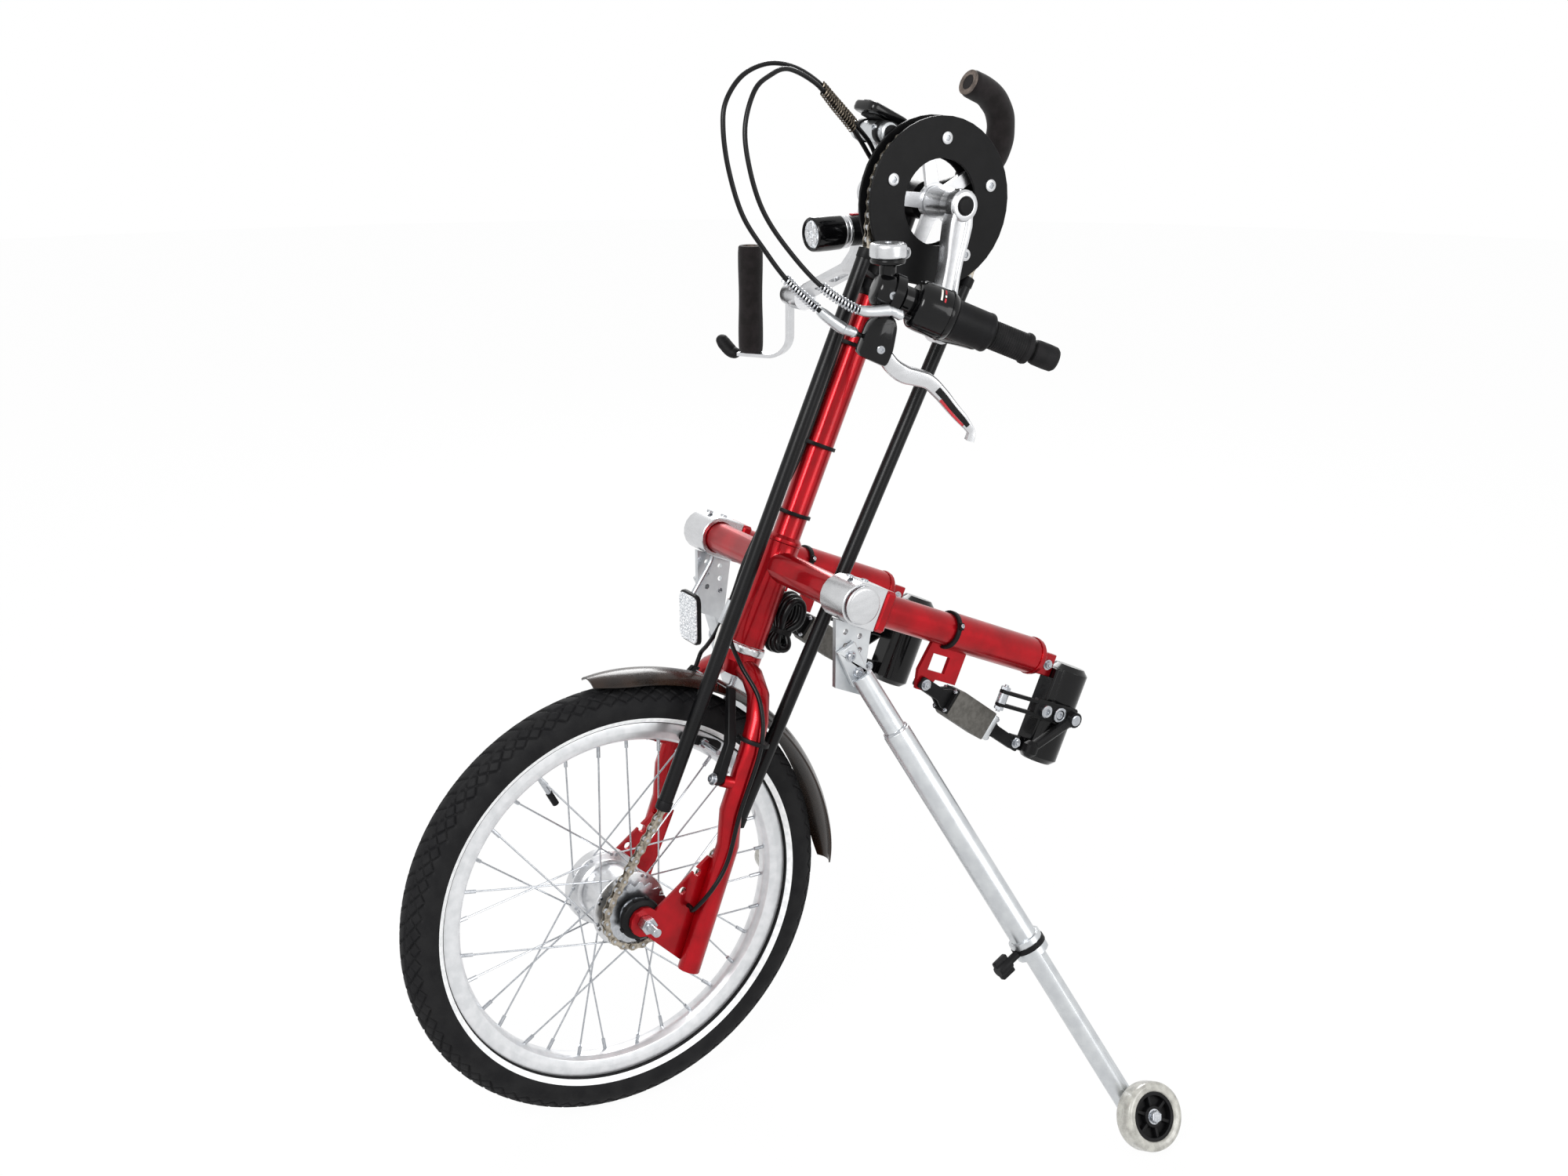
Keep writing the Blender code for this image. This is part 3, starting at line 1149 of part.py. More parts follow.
def dock_arm(side, body):
    """A red arm: square collar, two telescoped sleeves, an end lug and the windowed plate under it."""
    def along(back, up=0.0):
        return on_axis(side * ARM_OFFSET, back, up)

    sleeves = stepped(along(ARM_START), BACK,
                      [(0, ARM_FRONT_RADIUS), (ARM_STEP - ARM_START, ARM_FRONT_RADIUS),
                       (ARM_STEP - ARM_START, ARM_REAR_RADIUS),
                       (ARM_END - ARM_START - WELD * 3, ARM_REAR_RADIUS),
                       (ARM_END - ARM_START, ARM_REAR_RADIUS * 0.8)], sides=20)
    collar = block(along(ARM_START + COLLAR_LENGTH / 2), BACK, UPWARD,
                   (COLLAR_LENGTH, 2 * COLLAR_HALF_HEIGHT, 2 * COLLAR_HALF_WIDTH), WIDE_BEVEL)
    lug = block(along(ARM_END + LUG_LENGTH / 2 - WELD, -ARM_REAR_RADIUS * 0.2), BACK, UPWARD,
                (LUG_LENGTH, 2 * LUG_HALF_HEIGHT, LUG_THICKNESS), FINE_BEVEL)
    top = -ARM_FRONT_RADIUS * 0.7
    outline = [(UNDER_PLATE_START, top), (UNDER_PLATE_START - UNDER_PLATE_EAR * 0.4,
                                          -UNDER_PLATE_DEPTH * 0.9),
               (UNDER_PLATE_START, -UNDER_PLATE_DEPTH - UNDER_PLATE_EAR),
               (UNDER_PLATE_START + UNDER_PLATE_EAR, -UNDER_PLATE_DEPTH - UNDER_PLATE_EAR),
               (UNDER_PLATE_START + UNDER_PLATE_EAR * 1.4, -UNDER_PLATE_DEPTH),
               (UNDER_PLATE_START + UNDER_PLATE_LENGTH, -UNDER_PLATE_DEPTH),
               (UNDER_PLATE_START + UNDER_PLATE_LENGTH, top)]
    plate = slab(outline, BACK, UPWARD, UNDER_PLATE_THICKNESS, along(0))
    window = block(along(UNDER_PLATE_START + UNDER_PLATE_LENGTH * 0.36, -UNDER_PLATE_DEPTH * 0.68), BACK,
                   UPWARD,
                   (UNDER_PLATE_LENGTH * 0.48, UNDER_PLATE_DEPTH * 0.34, UNDER_PLATE_THICKNESS * 3))
    piece(sided("dock_arm", side), sleeves, "red_enamel", body, add=[collar, lug, plate], cut=[window])


def jaw_pin(side):
    """The pin point in the ear at the jaw's foot."""
    back = HINGE_BAR_FACE - JAW_PIN_AHEAD
    return on_axis(side * ARM_OFFSET, back, JAW_TOP - JAW_LENGTH * 0.95 + JAW_EAR_HEIGHT / 2)


def plate_ear(side):
    """The middle of the ear under the arm's plate."""
    return on_axis(side * ARM_OFFSET, UNDER_PLATE_START + UNDER_PLATE_EAR * 0.5,
                   -UNDER_PLATE_DEPTH - UNDER_PLATE_EAR * 0.5)


def dock_jaw(side, body):
    """The black docking jaw: a barrel beside a hinge bar that hangs from the arm's lug."""
    top = on_axis(side * ARM_OFFSET, JAW_CENTRE_BACK, JAW_TOP)
    barrel = stepped(top, -UPWARD, [(0, JAW_RADIUS - JAW_BEVEL), (JAW_BEVEL, JAW_RADIUS),
                                    (JAW_LENGTH - JAW_BEVEL, JAW_RADIUS),
                                    (JAW_LENGTH, JAW_RADIUS - JAW_BEVEL)], sides=20)
    bar_back = HINGE_BAR_FACE + HINGE_BAR_THICKNESS / 2
    bar = block(on_axis(side * ARM_OFFSET, bar_back, JAW_TOP - JAW_LENGTH * 0.5), BACK, UPWARD,
                (HINGE_BAR_THICKNESS, JAW_LENGTH * 0.9, 2 * HINGE_BAR_HALF_WIDTH), BLOCK_BEVEL)
    ear_length = JAW_PIN_AHEAD + JAW_EAR_HEIGHT / 2 + WELD
    ear = block(jaw_pin(side) + BACK * ((ear_length - JAW_EAR_HEIGHT) / 2), BACK, UPWARD,
                (ear_length, JAW_EAR_HEIGHT, UNDER_PLATE_THICKNESS))
    piece(sided("dock_jaw", side), barrel, "black_metal", body, add=[bar, ear])


def jaw_clamp(side, body):
    """The clamp's arm across the jaw's outer side and the lever with its ball end."""
    out = JAW_RADIUS + SEAT + CLAMP_ARM_THICKNESS / 2
    x = side * (ARM_OFFSET + out)
    middle = on_axis(x, JAW_CENTRE_BACK - CLAMP_ARM_LENGTH * 0.40, -JAW_LENGTH * 0.45)
    arm = block(middle, BACK, UPWARD, (CLAMP_ARM_LENGTH, CLAMP_ARM_HEIGHT, CLAMP_ARM_THICKNESS), BLOCK_BEVEL)
    pivot = middle + BACK * (CLAMP_ARM_LENGTH * 0.35)
    tip = pivot - BACK * (LEVER_LENGTH * 0.75) - UPWARD * (LEVER_LENGTH * 0.75)
    beside = ACROSS * side * CLAMP_ARM_THICKNESS * 0.9
    lever = pipe([pivot + beside, tip + beside], LEVER_RADIUS, sides=10)
    axle = rod(pivot, pivot + beside * 1.6, LEVER_BALL_RADIUS, sides=16)
    ball = stepped(tip + beside - UPWARD * LEVER_BALL_RADIUS, UPWARD,
                   [(0, LEVER_BALL_RADIUS * 0.5), (LEVER_BALL_RADIUS * 0.5, LEVER_BALL_RADIUS),
                    (LEVER_BALL_RADIUS * 1.5, LEVER_BALL_RADIUS),
                    (LEVER_BALL_RADIUS * 2, LEVER_BALL_RADIUS * 0.5)],
                   sides=12)
    piece(sided("jaw_clamp", side), arm, "black_metal", body, add=[lever, axle, ball])


def dock_strut(side, body):
    """The brace between the arm's plate and the jaw's foot: a grey block with a forked end at each ear."""
    start = plate_ear(side)
    end = jaw_pin(side)
    along = (end - start).normalized()
    middle = start + (end - start) * STRUT_BLOCK_SHARE
    square = along.cross(ACROSS)
    core = block(middle, along, square, (STRUT_BLOCK_LENGTH, STRUT_BLOCK_HEIGHT, STRUT_BLOCK_THICKNESS),
                 BLOCK_BEVEL)
    cheeks = []
    for place, way in ((start, 1), (end, -1)):
        face = middle - along * (way * STRUT_BLOCK_LENGTH / 2)
        length = abs((face - place).dot(along)) + STRUT_CHEEK_HEIGHT / 2 + WELD
        centre = face - along * (way * (length / 2 - WELD))
        for aside in (-1, 1):
            out = UNDER_PLATE_THICKNESS / 2 + SEAT + STRUT_CHEEK_THICKNESS / 2
            cheeks.append(block(centre + ACROSS * (aside * out), along, square,
                                (length, STRUT_CHEEK_HEIGHT, STRUT_CHEEK_THICKNESS)))
    piece(sided("dock_strut", side), core, "grey_block", body, add=cheeks)


def stand_frame(side):
    """Pivot, foot centre, the leg's end beside it, the leg's direction and its camber."""
    outboard = PLATE_OFFSET + PLATE_THICKNESS / 2 + SEAT + STAND_TONGUE_THICKNESS / 2
    pivot_height = JUNCTION.z - STAND_PIVOT_BELOW_TUBE
    pivot = behind_axle(side * outboard, STAND_PIVOT_BEHIND_AXLE, pivot_height)
    camber = math.atan2(FOOT_OFFSET - outboard, pivot_height - FOOT_RADIUS)
    height = FOOT_RADIUS * math.cos(camber) + FOOT_HALF_WIDTH * math.sin(camber)
    foot = behind_axle(side * FOOT_OFFSET, FOOT_BEHIND_AXLE, height)
    leg_end = foot - foot_axle_direction(side, camber) * (FOOT_HALF_WIDTH + FOOT_GAP + STAND_LEG_RADIUS)
    return pivot, foot, leg_end, (leg_end - pivot).normalized(), camber


def stand_plate(side, body):
    """The drilled silver plate that hangs the stand from the cross tube's strap."""
    top = -CROSS_RADIUS - STRAP_THICKNESS - 2 * SEAT
    rear = 2 * PLATE_HALF_WIDTH - PLATE_FORWARD
    sink = (PLATE_DROP * SIN_LEAN, -PLATE_DROP * COS_LEAN)
    outline = [(-PLATE_FORWARD, top), (-PLATE_FORWARD + sink[0], top + sink[1]),
               (rear * 0.7 + sink[0], top + sink[1]),
               (rear, top)]
    centre = on_axis(side * PLATE_OFFSET, 0, 0)
    plate = slab(outline, BACK, UPWARD, PLATE_THICKNESS, centre)
    middle = centre + BACK * (rear - PLATE_FORWARD) / 2 + UPWARD * top
    holes = []
    for share in (0.14, 0.34, 0.54):
        for aside in (-0.45, 0.35):
            at = middle - Vector((0, 0, PLATE_DROP * share)) + BACK * (PLATE_HALF_WIDTH * aside)
            holes.append(rod(at - ACROSS * PLATE_THICKNESS, at + ACROSS * PLATE_THICKNESS, PLATE_HOLE_RADIUS,
                             sides=10))
    piece(sided("stand_plate", side), plate, "silver", body, cut=holes)


def stand_tube(side, body):
    """The stand's upper tube: a solid neck, then the wider bored tube and its clamping collar."""
    pivot, _, _, along, _ = stand_frame(side)
    tube = stepped(pivot + along * STAND_NECK_START, along,
                   [(0, STAND_NECK_RADIUS), (STAND_STEP - STAND_NECK_START, STAND_NECK_RADIUS),
                    (STAND_STEP - STAND_NECK_START + WELD, STAND_TUBE_RADIUS),
                    (STAND_TUBE_END - STAND_NECK_START, STAND_TUBE_RADIUS)], sides=16)
    flat_way = Vector((0, along.y, along.z)).normalized()
    tongue = block(pivot + flat_way * (STAND_TONGUE_LENGTH / 2 - STAND_TONGUE_WIDTH / 2), flat_way,
                   ACROSS.cross(flat_way),
                   (STAND_TONGUE_LENGTH, STAND_TONGUE_WIDTH, STAND_TONGUE_THICKNESS), FINE_BEVEL)
    collar = rod(pivot + along * (STAND_TUBE_END - STAND_COLLAR_LENGTH),
                 pivot + along * (STAND_TUBE_END + WELD),
                 STAND_COLLAR_RADIUS, sides=16)
    bore_start = STAND_TUBE_END - STAND_TRAVEL - STAND_LEG_OVERLAP - 2 * CUT_OVERRUN
    bore = rod(pivot + along * bore_start, pivot + along * (STAND_TUBE_END + 2 * CUT_OVERRUN),
               STAND_LEG_RADIUS + RUNNING, sides=16)
    piece(sided("stand_tube", side), tube, "silver", body, add=[collar, tongue], cut=[bore])


def stand_knob(side, body):
    """The wing knob that clamps the collar, on the forward side."""
    pivot, _, _, along, _ = stand_frame(side)
    out = (Vector((0, -1, 0)) - along * along.dot(Vector((0, -1, 0)))).normalized()
    base = pivot + along * (STAND_TUBE_END - STAND_COLLAR_LENGTH / 2) + out * (STAND_COLLAR_RADIUS + SEAT)
    knob = stepped(base, out, [(0, KNOB_RADIUS * 0.4), (KNOB_STEM_LENGTH, KNOB_RADIUS * 0.4),
                               (KNOB_STEM_LENGTH * 1.1, KNOB_RADIUS),
                               (KNOB_STEM_LENGTH * 1.1 + KNOB_LENGTH, KNOB_RADIUS)],
                   sides=14)
    piece(sided("stand_knob", side), knob, "black_plastic", body)


def foot_axle_direction(side, camber):
    return Vector((side * math.cos(camber), 0, math.sin(camber)))


def stand_leg(side, body):
    """The lower leg that slides in the upper tube, with the foot's axle across its end."""
    pivot, foot, leg_end, along, camber = stand_frame(side)
    out = foot_axle_direction(side, camber)
    start = pivot + along * (STAND_TUBE_END - STAND_LEG_OVERLAP)
    leg = rod(start, leg_end + along * (STAND_LEG_RADIUS * 0.5), STAND_LEG_RADIUS, sides=16)
    axle = rod(leg_end, foot + out * (FOOT_HALF_WIDTH * 0.8), FOOT_AXLE_RADIUS, sides=12)
    piece(sided("stand_leg", side), leg, "silver", body, add=[axle])


def foot_wheel(side, body):
    """A hard clear tread on a dark hub, bored for the axle."""
    _, foot, _, _, camber = stand_frame(side)
    out = foot_axle_direction(side, camber)
    bore = FOOT_AXLE_RADIUS + RUNNING
    half = FOOT_HALF_WIDTH
    profile = [(bore, -half * 0.7), (FOOT_HUB_RADIUS, -half * 0.7), (FOOT_RADIUS * 0.62, -half * 0.55),
               (FOOT_RADIUS * 0.72, -half), (FOOT_RADIUS, -half), (FOOT_RADIUS, half),
               (FOOT_RADIUS * 0.72, half),
               (FOOT_RADIUS * 0.62, half * 0.55), (FOOT_HUB_RADIUS, half * 0.7), (bore, half * 0.7)]
    piece(sided("foot_wheel", side), turned_ring(foot, out, profile, 20), "clear_urethane", body)


def mudguard(body):
    """A crowned strip bent round the wheel, flaring a little at the tail."""
    rings = []
    steps = 18
    for i in range(steps + 1):
        share = i / steps
        turn = MUDGUARD_FRONT_ANGLE + (MUDGUARD_TAIL_ANGLE - MUDGUARD_FRONT_ANGLE) * share
        flare = MUDGUARD_TAIL_FLARE * share ** 2
        taper = 1 - 0.45 * max(0.0, 1 - share * 9) ** 2 - 0.5 * max(0.0, share * 9 - 8) ** 2
        outer = []
        inner = []
        for j in range(5):
            across = -1 + j / 2
            sink = MUDGUARD_CROWN * across ** 2
            radius = GUARD_ARC_RADIUS + flare + MUDGUARD_THICKNESS - sink * taper
            x = across * MUDGUARD_HALF_WIDTH * taper
            out = Vector((0, math.cos(turn), math.sin(turn)))
            outer.append(WHEEL_CENTRE + out * radius + ACROSS * x)
            inner.append(WHEEL_CENTRE + out * (radius - MUDGUARD_THICKNESS) + ACROSS * x * 0.97)
        rings.append(outer + inner[::-1])
    top = on_axis(0, 0, -HEAD_LENGTH - BEARING_RING_LENGTH - CROWN_DROP - 2 * SEAT)
    away = top - WHEEL_CENTRE
    turn = math.atan2(away.z, away.y)
    share = (turn - MUDGUARD_FRONT_ANGLE) / (MUDGUARD_TAIL_ANGLE - MUDGUARD_FRONT_ANGLE)
    wall = GUARD_ARC_RADIUS + MUDGUARD_TAIL_FLARE * share ** 2 + MUDGUARD_THICKNESS * 0.4
    length = (away.length - wall) / away.normalized().dot(UPWARD)
    post = rod(top, top - UPWARD * length, MUDGUARD_POST_RADIUS, sides=10)
    piece("mudguard", skin(rings), "smoked_plastic", body, add=[post])


def headlight(body):
    """A torch lamp clamped beside the mast head, pointing forward."""
    back = on_axis(-LAMP_OFFSET, LAMP_BACK, CRANK_HEIGHT_ON_AXIS - LAMP_BELOW_CRANK)
    aim = (Vector((0, -1, 0)) - Vector((0, 0, LAMP_DROP_SHARE))).normalized()
    neck_end = LAMP_LENGTH * LAMP_NECK_END_SHARE
    rings = [(0, LAMP_NECK_RADIUS * LAMP_TAIL_SHARE), (LAMP_TAIL_LENGTH, LAMP_NECK_RADIUS),
             (neck_end, LAMP_NECK_RADIUS), (neck_end + LAMP_CUP_LENGTH, LAMP_RADIUS),
             (LAMP_LENGTH, LAMP_RADIUS)]
    beside = back + aim * (LAMP_BACK + LAMP_ARM_SINK)
    arm = rod(beside, beside + ACROSS * (LAMP_OFFSET - MAST_RADIUS + LAMP_ARM_FACE), LAMP_ARM_RADIUS,
              sides=12)
    piece("headlight", stepped(back, aim, rings, sides=16), "black_metal", body, add=[arm])


def pull_handle(body):
    """The curved foam-covered pull handle behind the crank."""
    path = [CRANK_CENTRE + Vector((0, PULL_REACH * back, PULL_RISE * up)) for back, up in PULL_SHARES]
    outward = (path[0] - CRANK_CENTRE).normalized()
    path.insert(0, CRANK_CENTRE + outward * (BOTTOM_SHELL_RADIUS + SEAT))
    piece("pull_handle", pipe(path, PULL_RADIUS, sides=16, hint=ACROSS), "foam", body)


def accessory_bar(body):
    """A short cross bar on a stem above the crank's shell."""
    middle = CRANK_CENTRE + Vector((0, -BAR_FORWARD_OF_CRANK, BAR_ABOVE_CRANK))
    bar = rod(middle - ACROSS * BAR_HALF_LENGTH, middle + ACROSS * BAR_HALF_LENGTH, BAR_RADIUS, sides=16)
    foot = CRANK_CENTRE + (middle - CRANK_CENTRE).normalized() * (BOTTOM_SHELL_RADIUS + SEAT)
    piece("accessory_bar", bar, "silver", body, add=[rod(foot, middle, BAR_STEM_RADIUS, sides=14)])
    face_way = Vector((0, 1, -COMPUTER_TILT_SHARE)).normalized()
    normal = ACROSS.cross(face_way)
    on_top = middle + normal * (BAR_RADIUS + SEAT + COMPUTER_THICKNESS / 2)
    case = block(on_top, ACROSS, face_way, (COMPUTER_WIDTH, COMPUTER_LENGTH, COMPUTER_THICKNESS),
                 COMPUTER_BEVEL)
    piece("computer", case, "black_plastic", body)


def reflector(body):
    centre = behind_axle(-REFLECTOR_OFFSET, REFLECTOR_BEHIND_AXLE, REFLECTOR_HEIGHT)
    outline = rounded_outline(REFLECTOR_HALF_WIDTH, REFLECTOR_HALF_HEIGHT, REFLECTOR_CORNER)
    seat = on_axis(-REFLECTOR_OFFSET, STRAP_THICKNESS, -CROSS_RADIUS - STRAP_THICKNESS - 2 * SEAT)
    stem = pipe([seat, seat - UPWARD * REFLECTOR_STEM_RADIUS * 3,
                 centre + Vector((0, 0, REFLECTOR_HALF_HEIGHT * 0.8))],
                REFLECTOR_STEM_RADIUS, sides=10)
    face = slab(outline, ACROSS, Vector((0, 0, 1)), REFLECTOR_THICKNESS, centre)
    piece("reflector", face, "clear_reflector", body, add=[stem])


def hank(body):
    """The spare strap or cable, folded and tied behind the head tube."""
    centre = on_axis(0, HEAD_RADIUS + SEAT + HANK_HALF_DEPTH, -HEAD_LENGTH + 2 * WELD + HANK_HALF_HEIGHT)
    outline = rounded_outline(HANK_HALF_HEIGHT, HANK_HALF_DEPTH, HANK_HALF_DEPTH * 0.9)
    piece("cable_hank", slab(outline, UPWARD, BACK, HANK_WIDTH, centre), "rubber", body)


def brake_arm(side, body):
    """One arm of the rim brake, standing on the fork's boss."""
    under = -HEAD_LENGTH - BEARING_RING_LENGTH - SEAT
    ahead = -BRAKE_BOSS_FORWARD - SEAT - BRAKE_ARM_THICKNESS / 2
    centre = on_axis(0, ahead, under - BRAKE_BOSS_DROP)
    wide = BRAKE_BOSS_RADIUS
    foot = side * BLADE_OFFSET
    tip = side * BRAKE_ARM_TOP_OFFSET
    outline = [(foot - wide, 0), (foot, -wide), (foot + wide, 0), (foot + wide * 0.4, BRAKE_ARM_RISE * 0.45),
               (tip + wide * 0.5, BRAKE_ARM_RISE), (tip - wide * 0.5, BRAKE_ARM_RISE),
               (foot - wide * 0.9, BRAKE_ARM_RISE * 0.4)]
    piece(sided("brake_arm", side), slab(outline, ACROSS, UPWARD, BRAKE_ARM_THICKNESS, centre),
          "black_metal", body)


# Routes of the two control cables from the left handle: points in the world down to the guide on the mast,
# then points across, behind and along the steering line
BRAKE_CABLE_LOOP = [(0.1130, 0.0540, 0.9002), (0.1070, 0.0197, 0.9319), (0.1020, -0.0044, 0.9632),
                    (0.0970, -0.0272, 0.9991), (0.0910, -0.0392, 1.0434), (0.0850, -0.0415, 1.0824),
                    (0.0800, -0.0349, 1.1077), (0.0720, -0.0118, 1.1304), (0.0620, 0.0225, 1.1435),
                    (0.0510, 0.0581, 1.1367), (0.0400, 0.0928, 1.1220), (0.0320, 0.1198, 1.1017),
                    (0.0240, 0.1494, 1.0776), (0.0170, 0.1761, 1.0531)]
BRAKE_CABLE_DOWN = [(0.0135, -0.0560, 0.4330), (0.0100, -0.0420, 0.4030), (0.0010, -0.0300, 0.3680),
                    (-0.0030, -0.0240, 0.3300), (-0.0030, -0.0235, 0.2900), (-0.0030, -0.0205, 0.2000),
                    (-0.0030, -0.0210, 0.1200), (-0.0030, -0.0300, 0.0600), (-0.0030, -0.0380, 0.0000),
                    (-0.0040, -0.0370, -0.0500), (-0.0120, -0.0350, -0.0880), (-0.0280, -0.0300, -0.1100),
                    (-0.0380, -0.0275, -0.1200)]
SHIFT_CABLE_LOOP = [(0.1415, 0.0796, 0.9043), (0.1320, 0.0418, 0.9295), (0.1210, 0.0085, 0.9682),
                    (0.1110, -0.0123, 1.0040), (0.1020, -0.0218, 1.0435), (0.0930, -0.0216, 1.0822),
                    (0.0850, -0.0062, 1.1160), (0.0760, 0.0168, 1.1299), (0.0660, 0.0444, 1.1351),
                    (0.0470, 0.0884, 1.1193), (0.0350, 0.1189, 1.0956), (0.0270, 0.1466, 1.0715),
                    (0.0210, 0.1696, 1.0455)]
SHIFT_CABLE_DOWN = [(0.0200, -0.0560, 0.4280), (0.0160, -0.0420, 0.3980), (0.0070, -0.0300, 0.3650),
                    (0.0030, -0.0240, 0.3280), (0.0030, -0.0235, 0.2900), (0.0030, -0.0205, 0.2000),
                    (0.0030, -0.0210, 0.1200), (0.0030, -0.0300, 0.0600), (0.0030, -0.0380, 0.0000),
                    (0.0040, -0.0370, -0.0500), (0.0150, -0.0350, -0.0880), (0.0450, -0.0290, -0.1120),
                    (0.0760, -0.0110, -0.1400), (0.0925, 0.0000, -0.1850), (0.0925, 0.0040, -0.2600),
                    (0.0960, 0.0080, -0.3150), (0.0950, 0.0020, -0.3500)]


def control_cables(body):
    """The brake's and the gear's cable, each whole from the left handle to the arm or the dropout it ends at."""
    knuckle, aim, up, out = left_bar()
    case_end = LEVER_BODY_AHEAD - LEVER_BODY_LENGTH / 2 - SEAT
    in_case = knuckle - up * (KNUCKLE_RADIUS + LEVER_BODY_HEIGHT * 0.7)
    arm_top = HEAD_LENGTH + BEARING_RING_LENGTH + 2 * SEAT + BRAKE_BOSS_DROP - BRAKE_ARM_RISE
    arm_ahead = BRAKE_BOSS_FORWARD + SEAT + BRAKE_ARM_THICKNESS / 2
    brake = [in_case + aim * (case_end - CABLE_RADIUS * ahead) for ahead in (0, 3, 6, 9)]
    brake += [Vector(p) for p in BRAKE_CABLE_LOOP] + [on_axis(*p) for p in BRAKE_CABLE_DOWN]
    for lift in (6, 3, 0):
        brake.append(on_axis(-BRAKE_ARM_TOP_OFFSET, -arm_ahead, CABLE_RADIUS * lift + 2 * SEAT - arm_top))
    cable("brake_cable", brake, CABLE_RADIUS, "cable_sheath", body, CABLE_POINTS)
    spread = (SHIFTER_RADIUS - CABLE_RADIUS) * math.cos(math.pi / 16) * 0.98
    at_housing = knuckle + out * (spread * 0.75) - up * (spread * 0.66)
    housing_face = SHIFTER_START - KNUCKLE_RADIUS * 0.1 - SEAT
    shift = [at_housing + aim * (housing_face - CABLE_RADIUS * ahead) for ahead in (0, 3, 6, 12)]
    shift += [Vector(p) for p in SHIFT_CABLE_LOOP] + [on_axis(*p) for p in SHIFT_CABLE_DOWN]
    plate = DROPOUT_OFFSET + DROPOUT_THICKNESS / 2 + SEAT
    for reach in (5, 2.5, 0):
        shift.append(on_axis(plate + CABLE_RADIUS * reach, -CABLE_RADIUS * 0.8,
                             -AXLE_DROP + 11 * CABLE_RADIUS))
    cable("shift_cable", shift, CABLE_RADIUS, "cable_sheath", body, CABLE_POINTS)


def build():
    clear_scene()
    frame = empty("frame", JUNCTION)
    steer = empty("steer_axis", JUNCTION, frame)
    wheel = empty("wheel_axis", WHEEL_CENTRE, steer)
    crank = empty("crank_axis", CRANK_CENTRE, steer)
    left = empty("handle_left_axis", PIN_CENTRE + ACROSS * CRANK_OUTER, crank)
    right = empty("handle_right_axis", PIN_CENTRE - ACROSS * RIGHT_PIN_OFFSET, crank)
    cross_tube(frame)
    for side in (1, -1):
        strap(side, frame)
        dock_arm(side, frame)
        dock_jaw(side, frame)
        jaw_clamp(side, frame)
        dock_strut(side, frame)
        stand_plate(side, frame)
        stand_tube(side, frame)
        stand_knob(side, frame)
        pivot, foot, _, along, _ = stand_frame(side)
        slide = empty(sided("stand_slide", side), pivot + along * STAND_TUBE_END, frame)
        stand_leg(side, slide)
        foot_wheel(side, empty(sided("foot_axis", side), foot, slide))
        brake_arm(side, steer)
    reflector(frame)
    hank(frame)
    fork(steer)
    mast(steer)
    mast_head(steer)
    chain_tube("chain_tube_front", True, steer)
    chain_tube("chain_tube_rear", False, steer)
    chain(steer)
    mudguard(steer)
    headlight(steer)
    accessory_bar(steer)
    pull_handle(steer)
    control_cables(steer)
    wheel_axle(steer)
    tyre(wheel)
    wire_wheel(wheel)
    sprocket(wheel)
    chainring(crank)
    guard_disc("guard_outer", 1, crank)
    guard_disc("guard_inner", -1, crank)
    crank_left(crank)
    crank_right(crank)
    handle_left(left)
    brake_lever(left)
    bell(left)
    handle_right(right)


build()
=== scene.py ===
"""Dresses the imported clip-on handbike: its pieces, its finishes and the studio that it stands in."""

